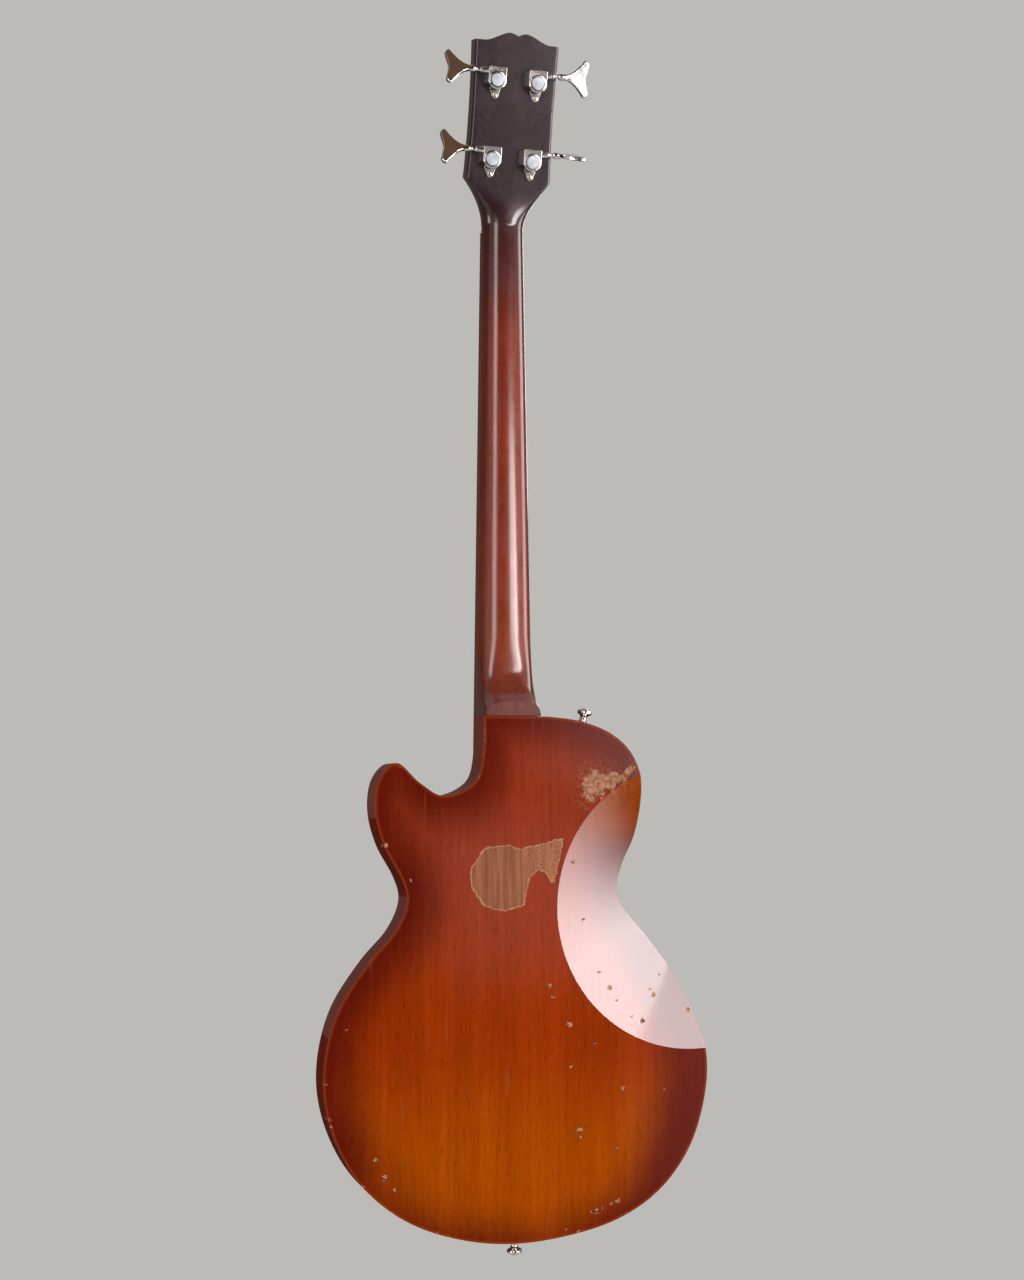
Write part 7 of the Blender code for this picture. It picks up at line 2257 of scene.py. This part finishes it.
def set_world(backdrop):
    """The backdrop's tone where it is seen or reflected, and a cool light elsewhere."""
    world = bpy.data.worlds.new("studio")
    bpy.context.scene.world = world
    recipe = blank(world)
    rays = recipe.node("ShaderNodeLightPath").outputs
    camera, glossy, through = (Signal(recipe, rays[f"Is {name} Ray"]) for name in
                               ("Camera", "Glossy", "Transmission"))
    seen = recipe.math("MAXIMUM", camera, recipe.math("MAXIMUM", glossy, through))
    shown = recipe.add("ShaderNodeBackground", {"Color": backdrop, "Strength": 1.0})
    lit = recipe.add("ShaderNodeBackground", {"Color": (0.92, 0.96, 1.0, 1.0), "Strength": 0.42})
    both = recipe.add("ShaderNodeMixShader", {0: seen, 1: lit, 2: shown})
    recipe.node("ShaderNodeOutputWorld", {"Surface": both})


def set_lamps(studio):
    """The soft lamps, which light the colours only."""
    middle, front = (0.0, 0.0, -0.42), studio.front_lamp
    panel("side_panel", (-1.7, 1.75, -0.1), (-0.4, 1.3, -0.15), 1.5, 2.9, studio.side_lamp)
    panel("other_panel", (1.55, 2.5, 0.05), middle, 0.35, 1.6, studio.other_lamp)
    panel("front_panel", (-1.3, -2.3, 0.6), middle, 2.0, 2.0, front, (1.0, 0.97, 0.93))
    panel("front_fill", (1.9, -1.6, 0.1), middle, 0.9, 1.6, front * 0.5)


WHITE = tone(255, 250, 251)
DIM = tone(92, 82, 76)

# Each card's name, colour, strength, fades and corners
CARDS = (
    ("dark_card", tone(30, 22, 18), 1.0, (), upright((-3.6, 3.7), (2.4, 3.7), -2.6, 2.4)),
    ("haze_card", tone(255, 226, 222), 1.6, (("X", -0.95, -1.6), ("Z", -1.35, -0.6)),
     upright((-2.2, 3.66), (-0.9, 3.66), -1.35, -0.26)),
    ("head_card", tone(244, 240, 238), 0.4,
     (("X", -0.7, -0.95), ("X", -1.42, -1.18), ("Z", -0.52, -0.74), ("Z", -1.2, -0.98)),
     upright((-1.42, 3.62), (-0.7, 3.62), -1.2, -0.52)),
    ("rim_card", WHITE, 7.0, (), upright((2.6, 0.55), (2.6, 1.25), -1.7, -0.56)),
    ("edge_card", tone(255, 214, 200), 0.5, (("X", -1.25, -1.65),),
     upright((-2.2, 3.64), (-1.25, 3.64), -2.2, -1.1)),
    ("brown_card", tone(108, 80, 62), 1.0, (),
     [(-1.9, 0.4, 1.9), (1.9, 0.4, 1.9), (1.9, 4.0, 1.9), (-1.9, 4.0, 1.9)]),
    ("low_card", tone(50, 38, 32), 1.0, (), upright((-3.4, -3.6), (3.0, -3.6), -3.0, -0.85)),
    ("back_card", DIM, 1.0, (), upright((-3.4, -3.6), (3.0, -3.6), -0.85, 1.8)),
    ("left_card", DIM, 1.0, (), upright((-3.4, -3.6), (-3.4, 0.2), -3.0, 1.8)),
    ("right_card", DIM, 1.0, (), upright((3.0, -3.6), (3.0, 1.2), -3.0, 1.8)),
    ("front_card", WHITE, 5.0, (), upright((-2.3, -3.2), (-1.7, -3.4), 0.3, 1.7)),
    ("scoop_card", WHITE, 17.5, (("Z", -1.6, -0.45),), [
        (-1.72, 1.35, -1.62), (-1.72, 2.76, -1.62), (-1.72, 2.76, 0.34), (-1.72, 2.3, 0.08),
        (-1.72, 1.8, -0.35), (-1.72, 1.35, -0.6),
    ]),
    ("upper_card", WHITE, 12.5, (("Z", 0.34, 0.16),), upright((-1.73, 2.76), (-1.0, 2.76), -0.3, 0.34)),
    ("neck_card", WHITE, 5.0, (), upright((-1.74, -0.15), (-1.74, 0.55), -0.8, 1.2)),
    ("strip_card", WHITE, 5.5, (), upright((0.75, 2.45), (1.4, 2.25), -0.9, 0.9)),
)


class BASS_OT_studio(Operator):
    """Sets the floor, the background, the lamps and the camera."""

    bl_idname = "bass.studio"
    bl_label = "Studio"

    def execute(self, context):
        studio = context.scene.bass_studio
        set_world(studio.backdrop)
        set_lamps(studio)
        for name, colour, strength, fades, corners in CARDS:
            card(name, corners, emitter(name, colour, strength, fades))
        make_floor(studio.backdrop)
        set_camera()
        context.scene.view_settings.view_transform = "Standard"
        return {"FINISHED"}


class BASS_PT_panel(Panel):
    """Lists the settings and the steps."""

    bl_idname = "BASS_PT_panel"
    bl_label = "Bass"
    bl_space_type = "VIEW_3D"
    bl_region_type = "UI"
    bl_category = "Bass"

    def draw(self, context):
        scene = context.scene
        for name, kind in SETTINGS.items():
            box = self.layout.box()
            for setting in kind.__annotations__:
                box.prop(getattr(scene, name), setting)
        for step in STEPS:
            self.layout.operator(step.bl_idname)


STEPS = (
    BASS_OT_body, BASS_OT_neck, BASS_OT_headstock_front, BASS_OT_fingerboard, BASS_OT_tuners,
    BASS_OT_strings, BASS_OT_bridge, BASS_OT_pickups, BASS_OT_controls, BASS_OT_strap_buttons,
    BASS_OT_studio,
)
SETTINGS = {"bass_finish": BassFinish, "bass_sizes": BassSizes, "bass_studio": BassStudio}
CLASSES = (*SETTINGS.values(), *STEPS, BASS_PT_panel)


def register():
    for entry in CLASSES:
        bpy.utils.register_class(entry)
    for name, kind in SETTINGS.items():
        setattr(bpy.types.Scene, name, PointerProperty(type=kind))


def unregister():
    for name in SETTINGS:
        delattr(bpy.types.Scene, name)
    for entry in reversed(CLASSES):
        bpy.utils.unregister_class(entry)


def main():
    register()
    for step in STEPS:
        family, name = step.bl_idname.split(".")
        getattr(getattr(bpy.ops, family), name)()


if __name__ == "__main__":
    main()
